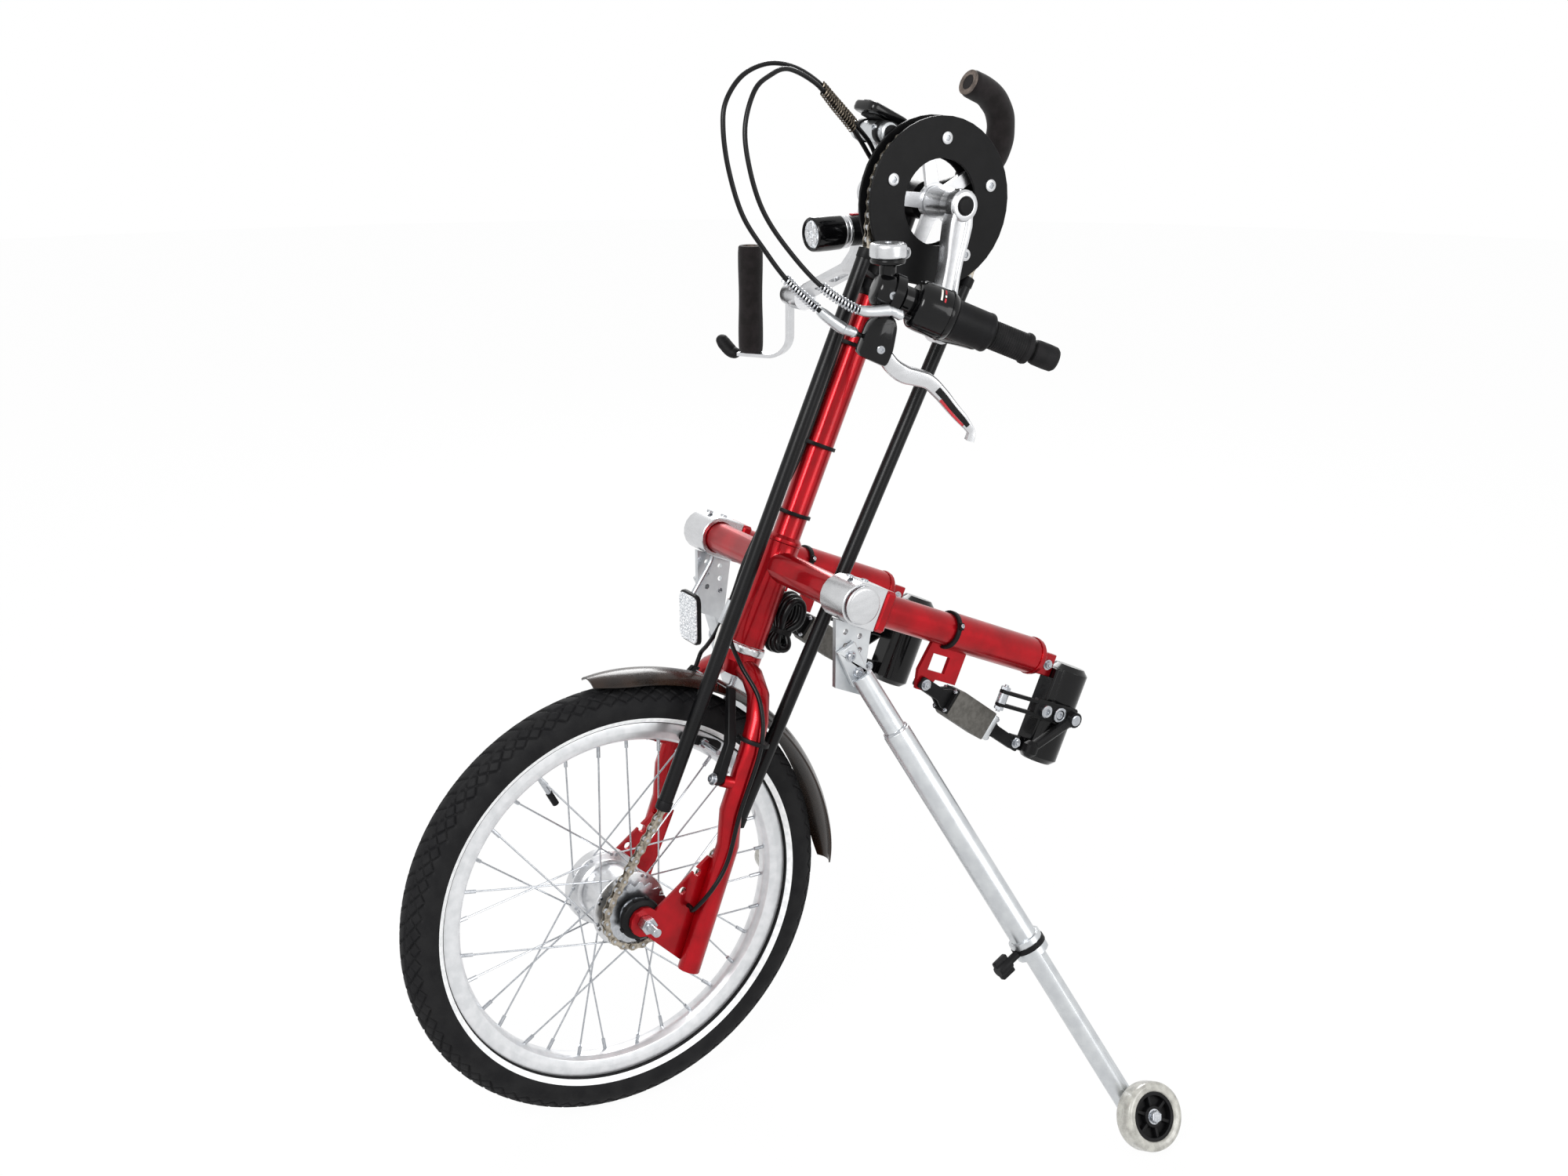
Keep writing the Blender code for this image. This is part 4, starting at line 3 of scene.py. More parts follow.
import sys
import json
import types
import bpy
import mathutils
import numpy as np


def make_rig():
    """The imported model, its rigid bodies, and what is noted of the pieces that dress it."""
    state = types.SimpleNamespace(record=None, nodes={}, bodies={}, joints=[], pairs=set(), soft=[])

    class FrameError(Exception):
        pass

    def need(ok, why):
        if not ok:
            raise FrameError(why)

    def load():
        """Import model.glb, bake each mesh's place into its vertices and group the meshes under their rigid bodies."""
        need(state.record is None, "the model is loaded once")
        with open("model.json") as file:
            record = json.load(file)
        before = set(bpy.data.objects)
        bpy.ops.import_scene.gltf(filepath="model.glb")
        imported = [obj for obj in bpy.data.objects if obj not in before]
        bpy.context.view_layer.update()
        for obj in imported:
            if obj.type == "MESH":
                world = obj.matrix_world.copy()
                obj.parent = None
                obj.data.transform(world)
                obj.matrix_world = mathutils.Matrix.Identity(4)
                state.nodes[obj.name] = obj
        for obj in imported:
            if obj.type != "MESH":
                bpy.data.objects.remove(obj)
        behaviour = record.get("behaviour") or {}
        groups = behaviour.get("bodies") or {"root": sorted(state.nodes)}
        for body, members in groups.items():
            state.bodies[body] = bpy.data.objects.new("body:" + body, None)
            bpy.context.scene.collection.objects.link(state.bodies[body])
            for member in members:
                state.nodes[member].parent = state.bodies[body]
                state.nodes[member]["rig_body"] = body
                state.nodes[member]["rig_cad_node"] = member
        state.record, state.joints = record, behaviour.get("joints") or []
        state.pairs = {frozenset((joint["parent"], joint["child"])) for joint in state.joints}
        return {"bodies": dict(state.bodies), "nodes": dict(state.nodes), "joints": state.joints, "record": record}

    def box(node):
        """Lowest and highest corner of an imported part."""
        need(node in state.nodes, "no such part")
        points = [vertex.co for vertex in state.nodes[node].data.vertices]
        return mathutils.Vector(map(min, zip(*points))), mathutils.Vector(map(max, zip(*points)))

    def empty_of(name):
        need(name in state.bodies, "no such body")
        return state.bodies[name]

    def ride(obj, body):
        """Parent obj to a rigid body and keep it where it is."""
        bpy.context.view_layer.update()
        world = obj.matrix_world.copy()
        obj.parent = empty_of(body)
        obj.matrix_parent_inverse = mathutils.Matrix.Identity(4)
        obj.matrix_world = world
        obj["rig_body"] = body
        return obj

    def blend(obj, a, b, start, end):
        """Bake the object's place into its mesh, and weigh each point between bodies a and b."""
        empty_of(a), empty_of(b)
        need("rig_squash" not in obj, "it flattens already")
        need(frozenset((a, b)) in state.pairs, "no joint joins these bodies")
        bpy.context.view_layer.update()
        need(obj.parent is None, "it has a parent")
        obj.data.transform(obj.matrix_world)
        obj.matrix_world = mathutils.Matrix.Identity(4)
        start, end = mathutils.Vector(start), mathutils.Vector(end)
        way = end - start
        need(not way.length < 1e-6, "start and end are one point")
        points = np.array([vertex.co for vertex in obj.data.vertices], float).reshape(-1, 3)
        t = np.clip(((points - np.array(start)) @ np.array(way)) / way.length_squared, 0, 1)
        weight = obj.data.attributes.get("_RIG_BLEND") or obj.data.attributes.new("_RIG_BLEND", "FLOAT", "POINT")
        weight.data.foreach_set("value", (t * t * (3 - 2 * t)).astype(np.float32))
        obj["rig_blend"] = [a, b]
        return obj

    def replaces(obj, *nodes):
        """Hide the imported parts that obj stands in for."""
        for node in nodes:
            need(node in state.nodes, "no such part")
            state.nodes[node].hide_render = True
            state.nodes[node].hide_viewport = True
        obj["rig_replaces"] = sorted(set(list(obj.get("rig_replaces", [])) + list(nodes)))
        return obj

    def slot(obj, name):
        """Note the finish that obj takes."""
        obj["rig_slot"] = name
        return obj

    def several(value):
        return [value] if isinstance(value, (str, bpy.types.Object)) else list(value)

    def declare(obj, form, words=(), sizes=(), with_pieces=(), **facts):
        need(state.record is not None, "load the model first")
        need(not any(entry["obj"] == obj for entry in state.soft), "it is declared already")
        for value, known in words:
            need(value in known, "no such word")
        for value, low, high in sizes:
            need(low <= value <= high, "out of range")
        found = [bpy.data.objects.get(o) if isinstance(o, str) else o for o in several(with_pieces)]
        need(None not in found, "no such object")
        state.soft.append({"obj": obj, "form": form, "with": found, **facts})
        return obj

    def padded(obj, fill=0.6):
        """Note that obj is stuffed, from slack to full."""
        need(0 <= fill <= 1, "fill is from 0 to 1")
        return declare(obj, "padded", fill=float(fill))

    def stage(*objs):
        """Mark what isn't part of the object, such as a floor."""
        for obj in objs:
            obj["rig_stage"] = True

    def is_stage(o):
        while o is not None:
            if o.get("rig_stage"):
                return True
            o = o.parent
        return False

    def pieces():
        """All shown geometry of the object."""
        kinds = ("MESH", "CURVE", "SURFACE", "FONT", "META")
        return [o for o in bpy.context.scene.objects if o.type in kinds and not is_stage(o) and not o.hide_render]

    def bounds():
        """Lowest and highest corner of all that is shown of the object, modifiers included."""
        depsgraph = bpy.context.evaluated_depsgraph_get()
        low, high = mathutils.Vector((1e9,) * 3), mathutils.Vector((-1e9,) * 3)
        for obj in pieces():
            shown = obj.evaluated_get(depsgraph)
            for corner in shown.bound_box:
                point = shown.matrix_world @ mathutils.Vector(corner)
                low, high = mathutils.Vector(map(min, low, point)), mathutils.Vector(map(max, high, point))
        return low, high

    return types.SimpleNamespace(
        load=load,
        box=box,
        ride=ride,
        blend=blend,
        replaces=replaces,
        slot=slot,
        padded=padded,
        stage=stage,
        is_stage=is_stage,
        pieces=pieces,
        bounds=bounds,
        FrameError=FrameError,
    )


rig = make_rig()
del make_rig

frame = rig.load()

import json

import bmesh
import bpy
import numpy as np
from mathutils import Vector

bl_info = {"name": "Handbike dressing", "version": (1, 0, 0), "blender": (4, 5, 0),
    "location": "3D View > Sidebar > Handbike",
    "description": "Makes the pieces, finishes and studio of a clip-on handbike over its packed frame",
    "category": "Object"}

CAD_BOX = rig.bounds()
TURN = 2 * np.pi
MM = 0.001

# The frame's own lines, in metres
LEAN = np.radians(23.5)
ACROSS = np.array([1.0, 0.0, 0.0])
BACK = np.array([0.0, np.cos(LEAN), -np.sin(LEAN)])
UPWARD = np.array([0.0, np.sin(LEAN), np.cos(LEAN)])
WHEEL_CENTRE = np.array([0.0, -0.138147, 0.25])
JUNCTION = np.array([0.0, 0.067853, 0.604])
CRANK_CENTRE = np.array([0.0, 0.237721, 0.994668])
CRANK_PIN = np.array([0.0, 0.212534, 0.865093])
ARM_X, PLATE_X = 0.15, 0.1783
JAW_BACK, JAW_UP = 0.3024, -0.05175
Z = np.array([0.0, 0.0, 1.0])
AHEAD = np.array([0.0, -1.0, 0.0])
ANY_SIDE = (0.31, 0.22, 0.93)
BODY_OF = {node: body for body, nodes in frame["record"]["behaviour"]["bodies"].items() for node in nodes}


def steered(across, back, up):
    """The point JUNCTION + across, back and up along the steering line's own directions."""
    parts = np.broadcast_arrays(*(np.asarray(p, float) for p in (across, back, up)))
    return JUNCTION + sum(p[..., None] * d for p, d in zip(parts, (ACROSS, BACK, UPWARD)))


def on_wheel(radius, turn, across):
    """The point (across, y + radius cos turn, z + radius sin turn) about the drive wheel's axle."""
    return np.stack(np.broadcast_arrays(across, WHEEL_CENTRE[1] + radius * np.cos(turn),
        WHEEL_CENTRE[2] + radius * np.sin(turn)), -1)


def mm(*rows):
    """Rows of lengths in millimetres, as metres."""
    return np.array(rows) * MM


# Shapes as grids of points
def unit(vectors):
    """v / |v| along the last axis."""
    vectors = np.asarray(vectors, float)
    return vectors / np.linalg.norm(vectors, axis=-1, keepdims=True)


def square_to(axis, hint):
    """Unit directions u and v square to an axis: u = hint less its part along the axis, v = axis x u."""
    axis = unit(axis)
    u = unit(np.asarray(hint, float) - axis * np.dot(hint, axis))
    return u, np.cross(axis, u)


def eased(points, radius, steps=3, closed=False):
    """Each corner C becomes (1-t)^2 A + 2t(1-t) C + t^2 B, from A to B one radius along its two sides."""
    p = np.asarray(points, float)
    back, ahead = np.roll(p, 1, 0) - p, np.roll(p, -1, 0) - p
    back_length = np.maximum(np.linalg.norm(back, axis=1), 1e-9)
    ahead_length = np.maximum(np.linalg.norm(ahead, axis=1), 1e-9)
    r = np.broadcast_to(np.asarray(radius, float), len(p))
    a = p + back * (np.minimum(r, back_length * 0.49) / back_length)[:, None]
    b = p + ahead * (np.minimum(r, ahead_length * 0.49) / ahead_length)[:, None]
    t = np.linspace(0, 1, steps + 1)[None, :, None]
    curve = (1 - t) ** 2 * a[:, None] + 2 * t * (1 - t) * p[:, None] + t**2 * b[:, None]
    if closed:
        return curve.reshape(-1, p.shape[1])
    return np.concatenate([p[:1], curve[1:-1].reshape(-1, p.shape[1]), p[-1:]])


def circle(radius, steps=24):
    """Section (r cos a, r sin a)."""
    a = np.linspace(0, TURN, steps, endpoint=False)
    return np.stack([radius * np.cos(a), radius * np.sin(a)], 1)


def oblong(wide, tall, corner, steps=3):
    """Section of a rectangle, wide by tall about the middle, with eased corners."""
    w, h = wide / 2, tall / 2
    return eased([(w, -h), (w, h), (-w, h), (-w, -h)], corner, steps, closed=True)


def revolved(profile, centre, axis, steps=48, hint=ANY_SIDE):
    """P(i, a) = centre + along_i axis + radius_i (cos a u + sin a v), from a profile (radius, along)."""
    profile = np.asarray(profile, float)
    u, v = square_to(axis, hint)
    a = np.linspace(0, TURN, steps, endpoint=False)
    ring = np.cos(a)[:, None] * u + np.sin(a)[:, None] * v
    return np.asarray(centre) + profile[:, None, 1:2] * unit(axis) + profile[:, None, :1] * ring[None]


def swept(section, path, hint, scale=1.0, loop=False):
    """P(i, j) = path_i + scale_i (s_j u_i + r_j v_i), u the hint made square to the path, v = along x u."""
    path = np.asarray(path, float)
    along = unit(np.roll(path, -1, 0) - np.roll(path, 1, 0)) if loop else unit(np.gradient(path, axis=0))
    hint = np.broadcast_to(np.asarray(hint, float), path.shape)
    u = unit(hint - along * (hint * along).sum(1, keepdims=True))
    v = np.cross(along, u)
    scale = np.asarray(scale, float)
    scale = scale[:, None] if scale.ndim == 1 else scale
    scale = np.broadcast_to(scale, (len(path), 2))
    section = np.asarray(section, float)
    return (path[:, None] + (scale[:, :1] * section[:, 0])[..., None] * u[:, None]
            + (scale[:, 1:] * section[:, 1])[..., None] * v[:, None])


def piped(path, radius, steps=16):
    """A round section carried along a path, its sides turned as little as can be from point to point."""
    path = np.asarray(path, float)
    along = unit(np.gradient(path, axis=0))
    least = np.eye(3)[np.argmin(np.abs(along[0]))]
    sides = [unit(np.cross(along[0], least))]
    for after in along[1:]:
        side = sides[-1] - after * np.dot(sides[-1], after)
        sides.append(unit(side))
    return swept(circle(1.0, steps), path, np.array(sides), np.broadcast_to(radius, len(path)))


def flat(outline, low, high, ease, centre, axis, hint):
    """A plate: an outline in (u, v) at four heights along the axis, the outer two drawn in by the ease."""
    outline = np.asarray(outline, float)
    u, v = square_to(axis, hint)
    ahead = unit(np.roll(outline, -1, 0) - np.roll(outline, 1, 0))
    inward = np.stack([-ahead[:, 1], ahead[:, 0]], 1)
    if np.sum(outline[:, 0] * np.roll(outline[:, 1], -1) - outline[:, 1] * np.roll(outline[:, 0], -1)) < 0:
        inward = -inward
    heights = np.array([low, low + ease * 0.3, low + ease, high - ease, high - ease * 0.3, high])
    drawn = np.array([1.0, 0.3, 0.0, 0.0, 0.3, 1.0]) * ease
    rim = outline[None] + drawn[:, None, None] * inward[None]
    return np.asarray(centre) + rim[..., :1] * u + rim[..., 1:] * v + heights[:, None, None] * unit(axis)


def run_of(line):
    """The length along a line up to each of its points: the sum of the steps |p(i + 1) - p(i)|."""
    return np.concatenate([[0], np.cumsum(np.linalg.norm(np.diff(line, axis=0), axis=1))])


def curve_through(points, count):
    """A smooth line through points: Catmull-Rom, p(t) = h(t) . (p0, p1, p2, p3), sampled evenly by length."""
    p = np.asarray(points, float)
    p = np.concatenate([2 * p[:1] - p[1:2], p, 2 * p[-1:] - p[-2:-1]])
    t = np.linspace(0, 1, 24, endpoint=False)[None, :, None]
    a, b, c, d = (p[i:len(p) - 3 + i, None] for i in range(4))
    line = 0.5 * (2 * b + (c - a) * t + (2 * a - 5 * b + 4 * c - d) * t**2 + (3 * b - a - 3 * c + d) * t**3)
    line = np.concatenate([line.reshape(-1, p.shape[1]), p[-2:-1]])
    run = run_of(line)
    at = np.linspace(0, run[-1], count)
    return np.stack([np.interp(at, run, line[:, k]) for k in range(line.shape[1])], 1)


class Skin:
    """Gathers grids of points into the faces of one mesh, each grid with the number of its finish."""

    def __init__(self):
        self.points, self.faces, self.finish, self.count = [], [], [], 0

    def add(self, grid, finish=0, loop=False, rows=None):
        """Joins neighbours of a grid into quads, round each row; a loop joins its last row to its first,
        and without one both are capped. The finish is one number, or rows holds one for each row."""
        grid = np.asarray(grid, float)
        tall, wide = grid.shape[:2]
        index = np.arange(tall * wide).reshape(tall, wide) + self.count
        index = np.concatenate([index, index[:, :1]], 1)
        if loop:
            index = np.concatenate([index, index[:1]], 0)
        quads = np.stack([index[:-1, :-1], index[:-1, 1:], index[1:, 1:], index[1:, :-1]], -1)
        numbers = np.broadcast_to(finish if rows is None else np.asarray(rows)[:, None], quads.shape[:2])
        self.faces += quads.reshape(-1, 4).tolist()
        self.finish += numbers.reshape(-1).tolist()
        if not loop:
            self.faces += [index[0, :wide][::-1].tolist(), index[-1, :wide].tolist()]
            self.finish += [int(numbers[0, 0]), int(numbers[-1, 0])]
        self.points.append(grid.reshape(-1, 3))
        self.count += tall * wide
        return self

    def turn(self, profile, line, steps, finish=0, ease=0.0, rounds=2, closed=False):
        """Adds an eased profile turned about a line (centre, axis, hint); closed joins its two ends."""
        if ease:
            profile = eased(profile, ease, rounds, closed)
        centre, axis, *hint = line
        return self.add(revolved(profile, centre, axis, steps, *hint), finish, closed)

    def many(self, shapes, finish=0):
        """Adds a stack of like grids, shaped (how many, rows, columns, 3), each closed at its ends."""
        for shape in np.asarray(shapes, float):
            self.add(shape, finish)
        return self

    def piece(self, name, body, finishes, replaces=(), slot=None, crease=35.0):
        """Makes the object: doubles merged, faces outward, smooth but for edges sharper than crease."""
        mesh = bpy.data.meshes.new(name)
        mesh.from_pydata(np.concatenate(self.points).tolist(), [], self.faces)
        mesh.polygons.foreach_set("material_index", np.asarray(self.finish, np.int32))
        work = bmesh.new()
        work.from_mesh(mesh)
        bmesh.ops.remove_doubles(work, verts=work.verts, dist=1e-6)
        bmesh.ops.recalc_face_normals(work, faces=work.faces)
        work.to_mesh(mesh)
        work.free()
        return settle(mesh, name, body, finishes, replaces, slot, crease)


def settle(mesh, name, body, finishes, replaces=(), slot=None, crease=35.0):
    """Puts a mesh into the scene as a piece that rides on a body, and gives it its finishes."""
    mesh.polygons.foreach_set("use_smooth", np.ones(len(mesh.polygons), bool))
    mesh.set_sharp_from_angle(angle=np.radians(crease))
    obj = bpy.data.objects.new(name, mesh)
    bpy.context.scene.collection.objects.link(obj)
    if mesh.materials:
        mesh.materials.clear()
    for each in finishes:
        mesh.materials.append(FINISHES[each])
    if body:
        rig.ride(obj, body)
    if replaces:
        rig.replaces(obj, *replaces)
    if slot:
        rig.slot(obj, slot)
    return obj


def refined(node, finish, ease=0.0, crease=35.0):
    """A node's own shape with its triangles joined, its flats made one face each and its edges eased."""
    mesh = frame["nodes"][node].data.copy()
    work = bmesh.new()
    work.from_mesh(mesh)
    bmesh.ops.remove_doubles(work, verts=work.verts, dist=2e-5)
    bmesh.ops.dissolve_limit(work, angle_limit=np.radians(0.5), verts=work.verts, edges=work.edges,
        delimit=set())
    bmesh.ops.recalc_face_normals(work, faces=work.faces)
    work.to_mesh(mesh)
    work.free()
    mesh.polygons.foreach_set("material_index", np.zeros(len(mesh.polygons), np.int32))
    obj = settle(mesh, f"{node}_skin", BODY_OF[node], [finish], [node], crease=crease)
    if ease:
        bevel = obj.modifiers.new("eased edges", "BEVEL")
        bevel.width = ease * bpy.context.scene.handbike_sizes.edge_share
        bevel.segments = 2
        bevel.limit_method = "ANGLE"
        bevel.angle_limit = np.radians(38)
        bevel.harden_normals = False
    return obj


# Finishes, and short names for those that come up most
FINISHES = {}
ZINC, NYLON, POLISHED = "zinc_plated_steel", "moulded_black_nylon", "polished_aluminium"
SILVER, ENAMEL, ABS = "silver_anodised_aluminium", "candy_red_enamel", "glossy_black_abs"
RUBBER, PVC, COATED = "moulded_rubber", "extruded_pvc_casing", "black_powder_coat"


def linear(code):
    """An sRGB hex code as linear light, (red, green, blue, 1)."""
    c = np.array([int(code[i:i + 2], 16) for i in (0, 2, 4)]) / 255
    low, high = c / 12.92, ((c + 0.055) / 1.055) ** 2.4
    return (*np.where(c <= 0.04045, low, high).tolist(), 1.0)


def node(tree, kind, settings=(), links=()):
    """Adds a shader node, sets its settings or unlinked inputs by name and links its inputs."""
    made = tree.nodes.new(kind)
    for key, value in dict(settings).items():
        if isinstance(key, str) and hasattr(made, key):
            setattr(made, key, value)
        else:
            made.inputs[key].default_value = value
    for key, source in dict(links).items():
        tree.links.new(source, made.inputs[key])
    return made


def made_surface(name, tones, grain, rough, fine, bump=0.0, stretch=(1, 1, 1), **sockets):
    """Two tones mixed by noise of a grain in mm, with roughness and bump by a finer noise."""
    material = bpy.data.materials.new(name)
    material.use_nodes = True
    tree = material.node_tree
    shader = tree.nodes["Principled BSDF"]
    for socket, value in sockets.items():
        shader.inputs[socket.replace("_", " ")].default_value = value
    place = node(tree, "ShaderNodeTexCoord")
    laid = node(tree, "ShaderNodeMapping", {"Scale": stretch}, {"Vector": place.outputs["Object"]})
    cloud = node(tree, "ShaderNodeTexNoise", {"Scale": 1 / (grain * MM), "Detail": 3.0},
        {"Vector": laid.outputs["Vector"]})
    spread = node(tree, "ShaderNodeMapRange", {"From Min": 0.36, "From Max": 0.64},
        {"Value": cloud.outputs["Fac"]})
    mixed = node(tree, "ShaderNodeMix", {"data_type": "RGBA", 6: linear(tones[0]), 7: linear(tones[1])},
        {0: spread.outputs["Result"]})
    grit = node(tree, "ShaderNodeTexNoise", {"Scale": 1 / (fine * MM), "Detail": 2.0},
        {"Vector": laid.outputs["Vector"]})
    dull = node(tree, "ShaderNodeMapRange", {"From Min": 0.3, "From Max": 0.7, "To Min": rough[0],
        "To Max": rough[1]}, {"Value": grit.outputs["Fac"]})
    tree.links.new(mixed.outputs[2], shader.inputs["Base Color"])
    tree.links.new(dull.outputs["Result"], shader.inputs["Roughness"])
    if bump:
        raised = node(tree, "ShaderNodeBump", {"Strength": 1.0, "Distance": bump * MM},
            {"Height": grit.outputs["Fac"]})
        tree.links.new(raised.outputs["Normal"], shader.inputs["Normal"])
    FINISHES[name] = material


def make_finishes(looks):
    """Makes every finish of the handbike, from the colours that the panel holds."""
    # Candy enamel over a bright base coat: a deep red that glows where light enters, under clear lacquer.
    made_surface(ENAMEL, (looks.enamel, looks.enamel_deep), 26, (0.3, 0.36), 0.7, Metallic=0.72,
        Coat_Weight=0.25, Coat_Roughness=0.05, Specular_IOR_Level=0.3)
    # Turned and polished aluminium, such as caps and cranks: fine marks one way, brighter where handled.
    made_surface(POLISHED, (looks.polish, "cbccce"), 16, (0.26, 0.32), 1.2, 0.0, (1, 1, 3), Metallic=1.0)
    # Silver anodised aluminium: a satin skin over drawn tube, with faint draw lines along it.
    made_surface(SILVER, ("cdd0d2", "c2c5c8"), 14, (0.3, 0.42), 0.4, 0.002, Metallic=1.0)
    # Zinc-plated steel, such as bolts, nuts and spokes: bright, bluish and a little uneven.
    made_surface(ZINC, ("bbbec2", "a9acb1"), 4, (0.22, 0.3), 0.5, Metallic=1.0)
    # Chain steel with a film of oil: warm grey, darker in the gaps between plates.
    made_surface("oiled_chain_steel", ("b8b0a2", "7a7368"), 5, (0.25, 0.5), 0.8, Metallic=1.0)
    # Spring wire, blackened in oil: bronze-grey, bright only on the crest of each turn.
    made_surface("blackened_spring_steel", ("6c6459", "443d35"), 5, (0.3, 0.42), 0.5, Metallic=1.0)
    # Black anodised aluminium: satin, nearly neutral, with bead-blast grain.
    made_surface("black_anodised_aluminium", ("0b0b0c", "070708"), 12, (0.34, 0.46), 0.35, 0.004,
        Specular_IOR_Level=0.14)
    # Black powder-coated steel: a slight orange-peel skin.
    made_surface(COATED, ("0c0c0d", "080809"), 18, (0.38, 0.5), 1.6, 0.02, Specular_IOR_Level=0.14)
    # Moulded black nylon: a fine spark-eroded grain on a soft sheen.
    made_surface(NYLON, ("0c0c0e", "080809"), 15, (0.42, 0.58), 0.5, 0.015, Specular_IOR_Level=0.16)
    # Polished black ABS: a mirror-like moulded skin, as on a lamp body.
    made_surface(ABS, ("09090a", "050506"), 20, (0.12, 0.22), 2.5, Coat_Weight=0.22, Coat_Roughness=0.04,
        Specular_IOR_Level=0.16)
    # Tyre rubber, cured in a mould: charcoal, dusty in patches, matt.
    made_surface("cured_tyre_rubber", (looks.tyre, "0e0e10"), 18, (0.58, 0.76), 0.8, 0.02,
        Specular_IOR_Level=0.16)
    # Reflective tape cured into the sidewall: a pale grey-white of tiny beads.
    made_surface("beaded_reflective_tape", ("f1f2f2", "dcdedf"), 6, (0.35, 0.5), 0.4, 0.01)
    # Closed-cell foam rubber: soft black-brown skin with cells of about half a millimetre.
    made_surface("closed_cell_foam", (looks.foam, "110e0e"), 10, (0.78, 0.92), 0.55, 0.08,
        Sheen_Weight=0.12, Sheen_Roughness=0.5, Specular_IOR_Level=0.14)
    # The cut end of the foam, where the open cells show a paler brown.
    made_surface("cut_foam", ("6a5f58", "4a423d"), 5, (0.85, 0.95), 0.6, 0.2)
    # Moulded rubber, as on grips and pads: dense, matt, with a little bloom.
    made_surface(RUBBER, ("181718", "0f0f10"), 12, (0.55, 0.72), 0.6, 0.015, Specular_IOR_Level=0.16)
    # Cast dark grey polyamide block, filled with glass: a stony look.
    made_surface("glass_filled_polyamide", ("55534f", "464440"), 5, (0.5, 0.66), 0.7, 0.04,
        Specular_IOR_Level=0.3)
    # Extruded cable casing: smooth black PVC with a soft shine.
    made_surface(PVC, ("09090b", "060607"), 16, (0.26, 0.38), 1.0, Specular_IOR_Level=0.2)
    # White PVC over thin wire: smooth, a little grey where it has been handled.
    made_surface("extruded_white_pvc", ("e4e4e1", "d2d2ce"), 8, (0.3, 0.42), 1.0)
    # Smoked acrylic sheet, formed hot: brown-black, with light only at its edge.
    made_surface("smoked_acrylic", (looks.mudguard, "150d08"), 30, (0.2, 0.3), 2.0,
        Specular_IOR_Level=0.3, Coat_Weight=0.15, Coat_Roughness=0.05)
    # Clear cast urethane, yellowed a little: grey and milky, with a wet shine.
    made_surface("cast_urethane", ("aeada6", "8f8e88"), 9, (0.2, 0.32), 0.9, Coat_Weight=0.4)
    # Clear moulded acrylic prisms over white: pale grey facets that sparkle.
    made_surface("prismatic_acrylic", ("f1f3f5", "979ca2"), 2.2, (0.08, 0.22), 0.7, 0.12, Coat_Weight=1.0,
        Coat_Roughness=0.03)
    # Lamp lens with its reflector bowl behind it: clear, with white and grey cells.
    made_surface("lens_and_bowl", ("f0f3f6", "8d9399"), 3.2, (0.06, 0.14), 1.0, 0.05, Coat_Weight=1.0,
        Coat_Roughness=0.02)
    # Display glass over a dark cell: near black with a green cast.
    made_surface("display_glass", ("1d2422", "121716"), 9, (0.05, 0.1), 2.0, Coat_Weight=1.0,
        Coat_Roughness=0.02)
    # Red rubber, as on the lever's edge and the lamp's switch.
    made_surface("red_rubber", ("b3202c", "8e1620"), 6, (0.45, 0.6), 0.6)
    # Printed marks under a clear window: off-white ink.
    made_surface("printed_white", ("e8e6df", "cfccc3"), 3, (0.35, 0.45), 0.6)
    # Anodised rim, ground bright at its braking track: pale silver with rings of fine marks.
    made_surface("machined_rim_aluminium", ("dfe0e2", "d2d4d6"), 11, (0.3, 0.42), 0.5, 0.002,
        Metallic=0.85)


# What a user would change
def colour(label, code, note):
    """A hex colour as a text property."""
    return bpy.props.StringProperty(name=label, description=note, default=code, maxlen=6)


def length(label, metres, note):
    """A small length in metres."""
    return bpy.props.FloatProperty(name=label, description=note, default=metres, min=0.0, precision=5,
        subtype="DISTANCE", unit="LENGTH")


class HandbikeSizes(bpy.types.PropertyGroup):
    """Small sizes that scene.py gives to the trim of the handbike"""
    tread_depth: length("Tread depth", 0.0019, "Depth of the grooves between the tyre's lugs")
    spoke_radius: length("Spoke radius", 0.001, "Half the thickness of a spoke")
    cable_radius: length("Cable radius", 0.0025, "Half the thickness of a control cable's casing")
    spring_wire: length("Spring wire", 0.001, "Half the thickness of the wire in the cables' springs")
    hank_radius: length("Hank radius", 0.0042, "Half the thickness of the spare cable")
    tube_radius: length("Chain tube radius", 0.008, "Outer radius of the two tubes that guide the chain")
    edge_share: bpy.props.FloatProperty(
        name="Edge easing", description="Share of their usual width that eased edges have",
        default=1.0, min=0.0, max=1.5, subtype="FACTOR")


class HandbikeLooks(bpy.types.PropertyGroup):
    """Colours and light of the handbike"""
    enamel: colour("Enamel", "a60212", "Lit colour of the candy red enamel, as sRGB hex")
    enamel_deep: colour("Enamel, deep", "90020e", "Colour where the candy enamel lies thicker, as sRGB hex")
    polish: colour("Polished metal", "d2d3d5", "Colour of the caps, cranks and lever, as sRGB hex")
    tyre: colour("Tyre", "171718", "Colour of the tyre's rubber, as sRGB hex")
    foam: colour("Foam", "1b1718", "Colour of the foam on grip and pull handle, as sRGB hex")
    mudguard: colour("Mudguard", "26180f", "Colour of the smoked mudguard, as sRGB hex")
    room_light: bpy.props.FloatProperty(
        name="Room light", description="Strength of the white room's light on matt surfaces",
        default=0.62, min=0.0, soft_max=1.0)
    floor_white: bpy.props.FloatProperty(
        name="Floor whiteness", description="Share of the floor that is plain white to the camera",
        default=0.97, min=0.0, max=1.0, subtype="FACTOR")
    lamp_power: bpy.props.FloatProperty(
        name="Lamp power", description="Power of the key lamp; the others follow it",
        default=95.0, min=0.0, unit="POWER")
    lens: bpy.props.FloatProperty(
        name="Lens", description="Focal length of the camera", default=43.2, min=1.0, unit="CAMERA")


